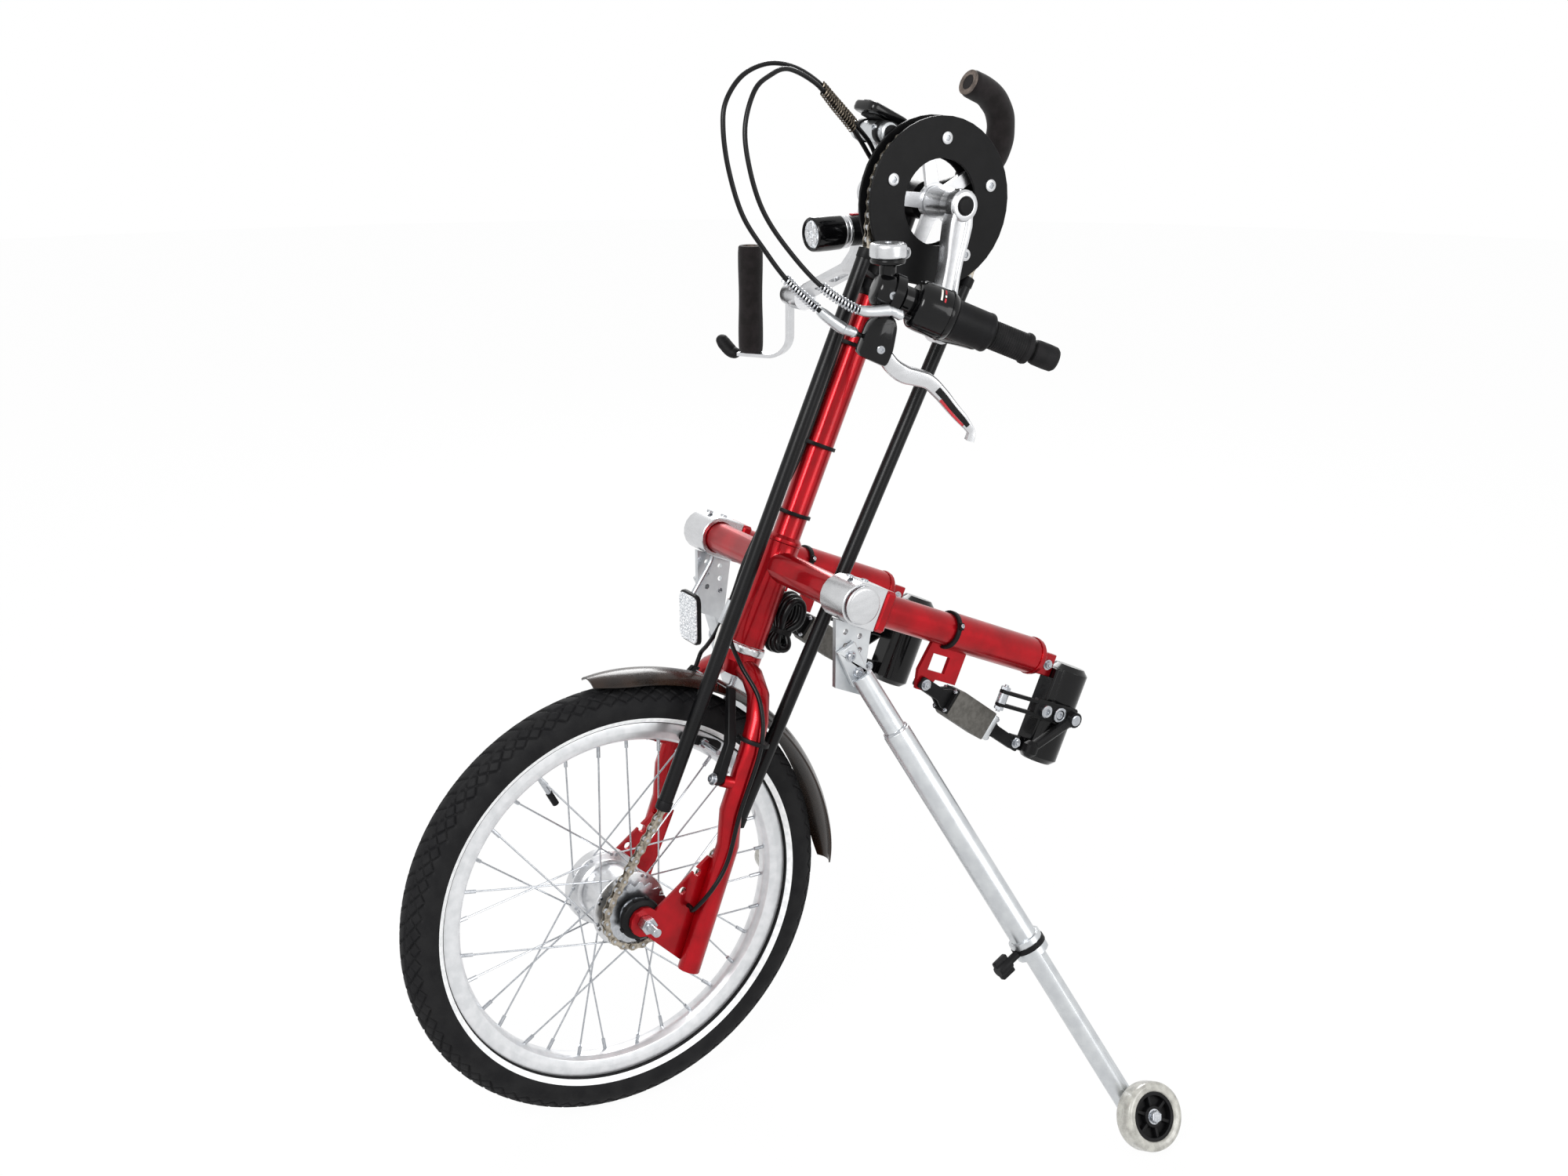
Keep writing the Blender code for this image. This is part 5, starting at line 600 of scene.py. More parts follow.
# The studio: each lamp's name, place, target, width and share of the power, and the camera as matched
FLOOR_RADIUS = 9
LAMPS = (("lamp_key", (1.6, -2.2, 2.6), (0.0, 0.1, 0.6), 1.6, 1.0), ("lamp_fill", (3.0, 1.2, 1.4),
    (0.0, 0.1, 0.5), 1.8, 0.35), ("lamp_back", (-2.4, 1.6, 2.4), (0.0, 0.1, 0.6), 1.6, 0.6))
CAMERA_STAND = (1.713, -0.956, 1.20)
CAMERA_AIM, CAMERA_DROP = (-0.856, 0.517, 0.0), np.radians(17.35)


def to_the_eye(tree):
    """One for light that meets the eye, straight, mirrored or through glass, and nothing for other light."""
    rays = node(tree, "ShaderNodeLightPath")
    seen = node(tree, "ShaderNodeMath", {"operation": "MAXIMUM"}, {0: rays.outputs["Is Camera Ray"],
        1: rays.outputs["Is Glossy Ray"]})
    return node(tree, "ShaderNodeMath", {"operation": "MAXIMUM"}, {0: seen.outputs[0],
        1: rays.outputs["Is Transmission Ray"]}).outputs[0]


class HANDBIKE_OT_studio(bpy.types.Operator):
    """Lay a pale floor, hang soft lamps and set the camera where the photographer stood"""
    bl_idname = "handbike.studio"
    bl_label = "Studio"

    def execute(self, context):
        looks = context.scene.handbike_looks
        material = bpy.data.materials.new("matt_white_backdrop_paper")
        material.use_nodes = True
        tree = material.node_tree
        paper = tree.nodes["Principled BSDF"]
        paper.inputs["Base Color"].default_value = linear("f4f4f4")
        paper.inputs["Roughness"].default_value = 0.9
        paper.inputs["Specular IOR Level"].default_value = 0.1
        share = node(tree, "ShaderNodeMath", {"operation": "MULTIPLY", 1: looks.floor_white},
            {0: to_the_eye(tree)})
        glow = node(tree, "ShaderNodeEmission", {"Color": (1, 1, 1, 1), "Strength": 1.0})
        both = node(tree, "ShaderNodeMixShader", {}, {0: share.outputs[0], 1: paper.outputs[0],
            2: glow.outputs[0]})
        tree.links.new(both.outputs[0], tree.nodes["Material Output"].inputs["Surface"])
        mesh = bpy.data.meshes.new("floor")
        rim = np.pad(circle(FLOOR_RADIUS, 64), ((0, 0), (0, 1)))
        mesh.from_pydata(rim.tolist(), [], [list(range(len(rim)))])
        mesh.materials.append(material)
        floor = bpy.data.objects.new("floor", mesh)
        context.scene.collection.objects.link(floor)
        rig.stage(floor)

        world = bpy.data.worlds.new("white_room")
        world.use_nodes = True
        context.scene.world = world
        tree = world.node_tree
        level = node(tree, "ShaderNodeMapRange", {"To Min": looks.room_light, "To Max": 1.0},
            {"Value": to_the_eye(tree)})
        tree.links.new(level.outputs[0], tree.nodes["Background"].inputs["Strength"])
        tree.nodes["Background"].inputs["Color"].default_value = (1, 1, 1, 1)

        for name, stand, target, wide, share_of_light in LAMPS:
            lamp = bpy.data.lights.new(name, "AREA")
            lamp.shape = "DISK"
            lamp.size = wide
            lamp.energy = looks.lamp_power * share_of_light
            obj = bpy.data.objects.new(name, lamp)
            obj.location = stand
            aim = Vector(target) - Vector(stand)
            obj.rotation_euler = aim.to_track_quat("-Z", "Y").to_euler()
            context.scene.collection.objects.link(obj)

        camera = bpy.data.cameras.new("camera")
        camera.sensor_width = 36.0
        camera.lens = looks.lens
        obj = bpy.data.objects.new("camera", camera)
        obj.location = CAMERA_STAND
        aim = Vector(unit(CAMERA_AIM) * np.cos(CAMERA_DROP) - Z * np.sin(CAMERA_DROP))
        obj.rotation_euler = aim.to_track_quat("-Z", "Y").to_euler()
        context.scene.collection.objects.link(obj)
        context.scene.camera = obj
        context.scene.view_settings.view_transform = "Standard"
        return {"FINISHED"}


def rods(starts, ends, radius, steps=8, rows=2):
    """Grids (rod, row, step): each a round bar of one radius, from a start to an end."""
    starts, ends = np.asarray(starts, float), np.asarray(ends, float)
    along = unit(ends - starts)
    hint = np.where(np.abs(along[:, :1]) < 0.9, np.array([[1.0, 0, 0]]), np.array([[0, 0, 1.0]]))
    u = unit(hint - along * (hint * along).sum(1, keepdims=True))
    v = np.cross(along, u)
    a = np.linspace(0, TURN, steps, endpoint=False)
    ring = np.cos(a)[:, None] * u[:, None] + np.sin(a)[:, None] * v[:, None]
    t = np.linspace(0, 1, rows)[None, :, None, None]
    axis = starts[:, None, None] * (1 - t) + ends[:, None, None] * t
    return axis + radius * ring[:, None]


def bolt_head(centre, axis, radius, tall, socket=True):
    """A round cap screw: a profile turned about its axis, drawn in at the top edge and sunk for its key."""
    r, t = radius, tall
    rim = [(0, -t * 0.3), (r, -t * 0.3), (r, t * 0.75), (r * 0.86, t)]
    sunk = [(r * 0.52, t), (r * 0.5, t * 0.35), (0, t * 0.35)] if socket else [(r * 0.5, t * 1.12),
        (0, t * 1.15)]
    return revolved(rim + sunk, centre, axis, 20)


def hex_nut(centre, axis, radius, tall):
    """A six-sided nut: six corners at four heights, the outer two drawn in."""
    return revolved([(radius * 0.88, 0), (radius, tall * 0.14), (radius, tall * 0.86),
        (radius * 0.88, tall)], centre, axis, 6)


def band(centre, axis, radius, wide, thick, ease=None, steps=36):
    """A band or tie: an oblong section turned about an axis, with a quarter of its thickness as ease."""
    rim = [(radius, -wide / 2), (radius + thick, -wide / 2), (radius + thick, wide / 2), (radius, wide / 2)]
    return revolved(eased(rim, ease or min(wide, thick) * 0.25, 2, closed=True), centre, axis, steps)


# The wheel
AXLE = (WHEEL_CENTRE, ACROSS)
LUGS, SPOKES = 84, 32
VALVE_TURN = np.radians([118.0, 118.0])


class HANDBIKE_OT_tyre(bpy.types.Operator):
    """Turn the tyre about the axle: a round section with a fine-lug tread cut in and a reflective ring"""
    bl_idname = "handbike.tyre"
    bl_label = "Tyre"

    def execute(self, context):
        steps, middle, section = 960, 0.2265, 0.0235
        phi = np.radians(np.concatenate([[-138, -134, -117, -113], np.linspace(-104, -74, 6),
            np.linspace(-70, 70, 49), np.linspace(74, 104, 6), [113, 117, 134, 138]]))
        radius, along = middle + section * np.cos(phi), section * np.sin(phi)
        across = np.clip(np.degrees(phi) / 62, -1.2, 1.2)
        turn = np.linspace(0, 1, steps, endpoint=False)[None]
        place = np.abs(across)[:, None]

        def groove(cells):
            return np.clip(1.5 - 15 * np.abs(cells % 1 - 0.5), 0, 1)

        shoulder = (place > 0.34) & (place < 1.12)
        lattice = np.maximum(groove(turn * LUGS + 1.9 * place),
            groove(turn * LUGS - 1.9 * place)) * shoulder
        fine = groove(turn * LUGS + 1.1 * across[:, None] + 0.25) * (place < 0.28)
        ring = np.exp(-((place - 0.31) / 0.03) ** 2)
        edge = np.clip((1.12 - place) * 9, 0, 1)
        cut = np.clip(np.maximum(np.maximum(lattice, fine), ring), 0, 1)
        depth = context.scene.handbike_sizes.tread_depth * edge * cut
        shape = radius[:, None] - depth * np.cos(phi)[:, None]
        wide = along[:, None] - depth * np.sin(phi)[:, None]
        bead = mm((209.5, 12.8), (208.5, 10.6), (200.5, 9.2), (200.5, -9.2), (208.5, -10.6),
            (209.5, -12.8))
        whole = np.concatenate([on_wheel(shape, turn[0] * TURN, wide), on_wheel(bead[:, :1],
            turn[0] * TURN, bead[:, 1:])])
        angle = np.degrees(np.concatenate([phi, np.full(len(bead), np.pi)])).round()
        Skin().add(whole, loop=True, rows=np.isin(angle, (-134, 117)).astype(int)).piece("tyre_treaded",
            "wheel", ["cured_tyre_rubber", "beaded_reflective_tape"], ["tyre"], "rubber", 28)
        return {"FINISHED"}


class HANDBIKE_OT_wheel(bpy.types.Operator):
    """Turn the rim and hub and lace the spokes between them, with their nipples and the valve"""
    bl_idname = "handbike.wheel"
    bl_label = "Laced wheel"

    def execute(self, context):
        rim = mm((209, 13), (209, 11.2), (201.2, 10.8), (198.5, 7), (195.5, 5), (195.5, -5), (198.5, -7),
            (201.2, -10.8), (209, -11.2), (209, -13), (198.5, -13.4), (190.5, -11.8), (187, -6.6),
            (186.2, -3), (186.2, 3), (187, 6.6), (190.5, 11.8), (198.5, 13.4))
        skin = Skin()
        skin.turn(rim, AXLE, 180, 0, 0.0007, closed=True)
        hub = mm((0, -46.2), (17, -46.2), (18.5, -44.8), (38.5, -44), (42.6, -43), (43.8, -41.2),
            (43.8, -30), (43, -28.8), (34, -27.6), (31, -24), (32.2, -19), (33, -10), (33, 10),
            (32.2, 19), (31, 24), (34, 27.6), (43, 28.8), (43.6, 30.6), (43, 31.8), (25.5, 34),
            (22, 36.5), (16, 38), (0, 38))
        skin.turn(hub, AXLE, 64, 1, 0.0008)
        k = np.arange(SPOKES)
        at = (k + 0.5) * TURN / SPOKES
        side = np.where(k % 2 == 0, 1.0, -1.0)
        lean = np.radians(52) * np.where((k // 2) % 2 == 0, 1.0, -1.0)
        foot = on_wheel(0.040, at + lean, side * (0.0305 + 0.0012 * np.sign(lean)))
        head = on_wheel(0.1868, at, side * 0.0035)
        skin.many(rods(foot, head, context.scene.handbike_sizes.spoke_radius), 2)
        skin.many(rods(head + (foot - head) * 0.075, head + (foot - head) * -0.004, 0.0021, 8), 2)
        button = on_wheel(0.040, at + lean, side * 0.0335)
        inward = on_wheel(0.040, at + lean, side * 0.0275)
        skin.many(rods(button, inward, 0.0019, 8), 2)
        valve = on_wheel(np.array([0.187, 0.152]), VALVE_TURN, np.zeros(2))
        cap = on_wheel(np.array([0.162, 0.146]), VALVE_TURN, np.zeros(2))
        skin.many(rods(valve[:1], valve[1:], 0.0029, 12), 2)
        skin.many(rods(cap[:1], cap[1:], 0.0038, 12), 3)
        skin.piece("wheel_laced", "wheel", ["machined_rim_aluminium", POLISHED, ZINC, NYLON],
            ["wire_wheel"], "silver", 30)
        return {"FINISHED"}


# The drive
CHAIN_X = 0.047
PITCH = 0.0127
RING_FLAT, COG_FLAT = np.array([0.0, 0.426]), np.array([-0.04776, -0.40678])
RING_REACH, COG_REACH = 0.0809339, 0.0365683
FRONT_TUBE = np.array([(-0.06021, 0.35123), (-0.062, -0.287)])
REAR_TUBE = np.array([(0.07659, 0.36812), (0.038, -0.287)])


def chain_line():
    """The closed line (back, up): arcs on both toothed rings, joined by tangents through the guide tubes."""
    def touch(centre, reach, outside, sign):
        away = outside - centre
        return np.arctan2(away[1], away[0]) + sign * np.arccos(reach / np.hypot(*away))

    def arc(centre, reach, start, end):
        turn = start + np.linspace(0, (end - start) % TURN, 90)
        return centre + reach * np.stack([np.cos(turn), np.sin(turn)], 1)

    top = arc(RING_FLAT, RING_REACH, touch(RING_FLAT, RING_REACH, REAR_TUBE[0], 1), touch(RING_FLAT,
        RING_REACH, FRONT_TUBE[0], -1))
    low = arc(COG_FLAT, COG_REACH, touch(COG_FLAT, COG_REACH, FRONT_TUBE[1], 1), touch(COG_FLAT,
        COG_REACH, REAR_TUBE[1], -1))
    return np.concatenate([top, FRONT_TUBE, low, REAR_TUBE[::-1], top[:1]])


class HANDBIKE_OT_chain(bpy.types.Operator):
    """Hang the chain: pins and rollers at every pitch, and waisted plates from pin to pin in pairs"""
    bl_idname = "handbike.chain"
    bl_label = "Chain and sprocket"

    def execute(self, context):
        line = chain_line()
        run = run_of(line)
        count = 2 * round(run[-1] / PITCH / 2)
        at = np.arange(count + 1) * run[-1] / count
        pin = np.stack([np.interp(at, run, line[:, k]) for k in (0, 1)], 1)
        pins = steered(CHAIN_X, pin[:, 0], pin[:, 1])
        along = unit(pins[1:] - pins[:-1])
        out = np.cross(along, ACROSS)
        half = np.linalg.norm(pins[1] - pins[0]) / 2
        turn = np.radians([-100, -60, -20, 20, 60, 100])
        end = np.stack([half + 0.0041 * np.cos(turn), 0.0041 * np.sin(turn)], 1)
        outline = np.concatenate([end, [(0.0, 0.0026)], -end, [(0.0, -0.0026)]])
        middle = (pins[1:] + pins[:-1]) / 2
        face = middle[:, None] + outline[:, 0, None] * along[:, None] + outline[:, 1, None] * out[:, None]
        reach = np.where(np.arange(count) % 2 == 0, 0.0033, 0.0022)[:, None, None]
        skin = Skin()
        for side in (-1.0, 1.0):
            near, far = face + side * reach * ACROSS, face + side * (reach + 0.0009) * ACROSS
            skin.many(np.stack([near, far], 1), 0)
        skin.many(rods(pins[:-1] - ACROSS * 0.0046, pins[:-1] + ACROSS * 0.0046, 0.0018, 7), 1)
        skin.many(rods(pins[:-1] - ACROSS * 0.0021, pins[:-1] + ACROSS * 0.0021, 0.0038, 8), 1)
        skin.piece("chain_linked", "steer", ["oiled_chain_steel", ZINC], ["chain"], "steel")
        refined("sprocket", ZINC, 0.0003)
        return {"FINISHED"}


class HANDBIKE_OT_crankset(bpy.types.Operator):
    """Finish the toothed ring, its guards with their dished bolts, and both cranks"""
    bl_idname = "handbike.crankset"
    bl_label = "Crankset"

    def execute(self, context):
        refined("chainring", POLISHED, 0.0005)
        refined("guard_outer", COATED, 0.0006)
        refined("guard_inner", COATED, 0.0006)
        outer_face, inner_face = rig.box("guard_outer")[1].x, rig.box("guard_inner")[0].x
        turn = np.radians(90 + 72 * np.arange(5))
        u, v = square_to(ACROSS, UPWARD)
        spots = CRANK_CENTRE + 0.067 * (np.cos(turn)[:, None] * u + np.sin(turn)[:, None] * v)
        skin = Skin()
        for spot in spots * (0, 1, 1):
            skin.add(bolt_head(spot + ACROSS * outer_face, ACROSS, 0.0066, 0.0022), 0)
            skin.turn(mm((0, 1.9), (3.4, 1.6), (3.4, 0.5), (0, 0.5)), (spot + ACROSS * outer_face,
                ACROSS), 6, 1)
            skin.add(bolt_head(spot + ACROSS * inner_face, -ACROSS, 0.0062, 0.0018, False), 0)
        skin.piece("guard_bolts", "crank", [POLISHED, ZINC], slot="silver")

        down = unit(CRANK_PIN - CRANK_CENTRE)
        arm = Skin()
        path = CRANK_CENTRE + ACROSS * 0.0948 + down * np.array([[-0.016], [-0.012], [0.0], [0.016],
            [0.05], [0.09], [0.118], [0.132], [0.141], [0.1445]])
        wide = np.array([0.7, 1.0, 1.22, 1.12, 0.92, 0.88, 0.94, 1.0, 0.8, 0.35])
        deep = np.array([0.6, 0.95, 1.0, 1.0, 0.98, 0.96, 0.98, 1.0, 0.9, 0.6])
        section = mm((-8.8, -11.8), (8.8, -11.8), (8.8, -6.2), (6.2, -4.6), (6.2, 4.6), (8.8, 6.2),
            (8.8, 11.8), (-8.8, 11.8))
        section = eased(section, 0.0018, 3, closed=True)
        share, knots = np.linspace(0, 1, 60), np.linspace(0, 1, len(path))
        scale = np.stack([np.interp(share, knots, deep), np.interp(share, knots, wide)], 1)
        arm.add(swept(section, curve_through(path, 60), ACROSS, scale), 0)
        boss = mm((0, 0), (16.8, 0), (17, 4), (16.4, 30), (17.2, 41.5), (17, 51.5), (15, 54.2),
            (10.2, 54.6), (9.8, 53.4), (0, 53.4))
        arm.turn(boss, (CRANK_CENTRE + ACROSS * 0.0498, ACROSS), 56, 0, 0.0011, 3)
        cap = mm((0, 53), (9.6, 53), (9.4, 55.2), (7.8, 56), (0, 56.2))
        arm.turn(cap, (CRANK_CENTRE + ACROSS * 0.0498, ACROSS), 32, 1, 0.0004)
        arm.turn(mm((0, 86), (12.5, 86), (13.5, 87.5), (13.5, 103.5), (12.5, 105), (6.2, 105.2), (5, 106),
            (5, 158.3), (4.2, 159), (0, 159)), (CRANK_PIN, ACROSS), 36, 0)
        arm.piece("crank_left_fluted", "crank", [POLISHED, NYLON], ["crank_left"], "silver", 30)
        refined("crank_right", POLISHED, 0.0008)
        return {"FINISHED"}


# The control cables
KNUCKLE = np.array([0.13443, 0.11985, 0.91759])
AIM = np.array([0.33054, 0.86141, -0.38563])
BAR_UP = np.array([0.13815, 0.36004, 0.92265])
BAR_OUT = np.array([0.93363, -0.35825, 0.0])
BAR_LINE = (KNUCKLE, AIM, BAR_UP)
BRAKE_LOOP = [(0.113, 0.054, 0.9002), (0.107, 0.0197, 0.9319), (0.102, -0.0044, 0.9632),
    (0.097, -0.0272, 0.9991), (0.091, -0.0392, 1.0434), (0.085, -0.0415, 1.0824), (0.08, -0.0349, 1.1077),
    (0.072, -0.0118, 1.1304), (0.062, 0.0225, 1.1406), (0.051, 0.0581, 1.1367), (0.04, 0.0928, 1.122),
    (0.032, 0.1198, 1.1017), (0.024, 0.1494, 1.0776), (0.017, 0.1761, 1.0531)]
BRAKE_DOWN = [(0.0135, -0.056, 0.433), (0.01, -0.042, 0.403), (0.001, -0.03, 0.368),
    (-0.003, -0.024, 0.33), (-0.003, -0.0235, 0.29), (-0.003, -0.0205, 0.2), (-0.003, -0.021, 0.12),
    (-0.003, -0.03, 0.06), (-0.003, -0.038, 0.0), (-0.004, -0.037, -0.05), (-0.012, -0.035, -0.088),
    (-0.028, -0.03, -0.11), (-0.038, -0.0275, -0.12)]
SHIFT_LOOP = [(0.1415, 0.0796, 0.9043), (0.132, 0.0418, 0.9295), (0.121, 0.0085, 0.9682),
    (0.111, -0.0123, 1.004), (0.102, -0.0218, 1.0435), (0.093, -0.0216, 1.0822), (0.085, -0.0062, 1.116),
    (0.076, 0.0168, 1.1299), (0.066, 0.0444, 1.1351), (0.047, 0.0884, 1.1193), (0.035, 0.1189, 1.0956),
    (0.027, 0.1466, 1.0715), (0.021, 0.1696, 1.0455)]
SHIFT_DOWN = [(0.02, -0.056, 0.428), (0.016, -0.042, 0.398), (0.007, -0.03, 0.365),
    (0.003, -0.024, 0.328), (0.003, -0.0235, 0.29), (0.003, -0.0205, 0.2), (0.003, -0.021, 0.12),
    (0.003, -0.03, 0.06), (0.003, -0.038, 0.0), (0.004, -0.037, -0.05), (0.015, -0.035, -0.088),
    (0.045, -0.029, -0.112), (0.076, -0.011, -0.14), (0.0925, 0.0, -0.185), (0.0925, 0.004, -0.26),
    (0.096, 0.008, -0.315), (0.095, 0.002, -0.35)]


def coil(path, radius, wire, pitch):
    """A spring about a path: P(t) = path(t) + radius (cos wt u + sin wt v), with w a turn for each pitch."""
    length = np.linalg.norm(np.diff(path, axis=0), axis=1).sum()
    turns = length / pitch
    fine = curve_through(path, int(turns * 11))
    along = unit(np.gradient(fine, axis=0))
    hint = np.array([0.21, 0.93, 0.3])
    u = unit(hint - along * (along @ hint)[:, None])
    v = np.cross(along, u)
    a = np.linspace(0, TURN * turns, len(fine))[:, None]
    return piped(fine + radius * (np.cos(a) * u + np.sin(a) * v), wire, 6)


def between(line, run, start, end):
    """The points of a line whose length along it lies from start to end."""
    return line[(run >= start) & (run <= end)]


class HANDBIKE_OT_cables(bpy.types.Operator):
    """Lay both control cables, with the springs that guard their bends and the boots at the handle"""
    bl_idname = "handbike.cables"
    bl_label = "Control cables"

    def execute(self, context):
        sizes = context.scene.handbike_sizes
        back_off = np.array([[0.0], [0.0075], [0.015], [0.0225]])
        brake_exit = KNUCKLE - BAR_UP * 0.0500 + AIM * (-0.0075 - back_off)
        brake_end = steered(-0.04, -0.0273, np.array([0.015, 0.0075, 0.0]) - 0.139)
        shift_exit = KNUCKLE + BAR_OUT * 0.0173 - BAR_UP * 0.01523 + AIM * (0.0268 - back_off)
        shift_end = steered(np.array([0.0818, 0.07555, 0.0693]), -0.002, -0.37928)
        routes = {"brake": (brake_exit, BRAKE_LOOP, BRAKE_DOWN, brake_end), "shift": (shift_exit,
            SHIFT_LOOP, SHIFT_DOWN, shift_end)}
        for name, (leaving, loop, down, arriving) in routes.items():
            full = curve_through(np.concatenate([leaving, loop, steered(*np.array(down).T), arriving]), 420)
            run = run_of(full)
            rise = (full - JUNCTION) @ UPWARD
            cut = np.argmax((run > 0.4) & (rise < 0.37))
            skin = Skin().add(piped(full[:cut + 1], sizes.cable_radius, 12), 0)
            boot = curve_through(between(full, run, 0.004, 0.056), 40)
            size = np.interp(np.linspace(0, 1, 40), [0, 0.04, 0.08, 0.3, 0.34, 0.88, 1], [0.0038, 0.0052,
                0.0052, 0.0054, 0.0064, 0.0056, 0.0046])
            skin.add(piped(boot, size, 20), 1)
            collars = boot[[3, 7, 11]]
            skin.many(np.stack([revolved(mm((3, -1), (5.6, -0.9), (5.6, 0.9), (3, 1)), spot,
                boot[12] - boot[2], 20) for spot in collars]), 1)
            guard = curve_through(between(full, run, 0.054, 0.106), 30)
            skin.add(coil(guard, 0.0045, sizes.spring_wire, 0.0038), 2)
            over = run[np.argmin(np.linalg.norm(full - np.array([0.036, 0.106, 1.113]), axis=1))]
            crest = curve_through(between(full, run, over - 0.010, over + 0.058), 30)
            skin.add(coil(crest, 0.0042, sizes.spring_wire, 0.0040), 3)
            finishes = [PVC, SILVER, ZINC, "blackened_spring_steel", "extruded_white_pvc"]
            bow = skin.piece(f"{name}_cable_bow", None, finishes[:4], [f"{name}_cable"], "cable_sheath", 40)
            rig.blend(bow, "steer", "crank", start=(0.03, 0.1, 1.0), end=(0.105, 0.1, 1.0))

            skin = Skin().add(piped(full[cut:], sizes.cable_radius, 12), 0)
            if name == "brake":
                sleeve = full[(run > 0.5) & (rise < -0.052) & (rise > -0.082)]
                skin.add(piped(curve_through(sleeve, 16), 0.0040, 16), 1)
                for aside in (-0.0012, 0.0012):
                    wire = steered([-0.007, -0.002, -0.005, -0.013], [-0.036, -0.0345, -0.031, -0.0282],
                        [-0.098, -0.117, -0.132, -0.1425]) + ACROSS * aside
                    skin.add(piped(curve_through([sleeve[-2], *wire], 24), 0.0009, 8), 4)
            skin.piece(f"{name}_cable_run", "steer", finishes, [f"{name}_cable"], "cable_sheath", 40)
        return {"FINISHED"}


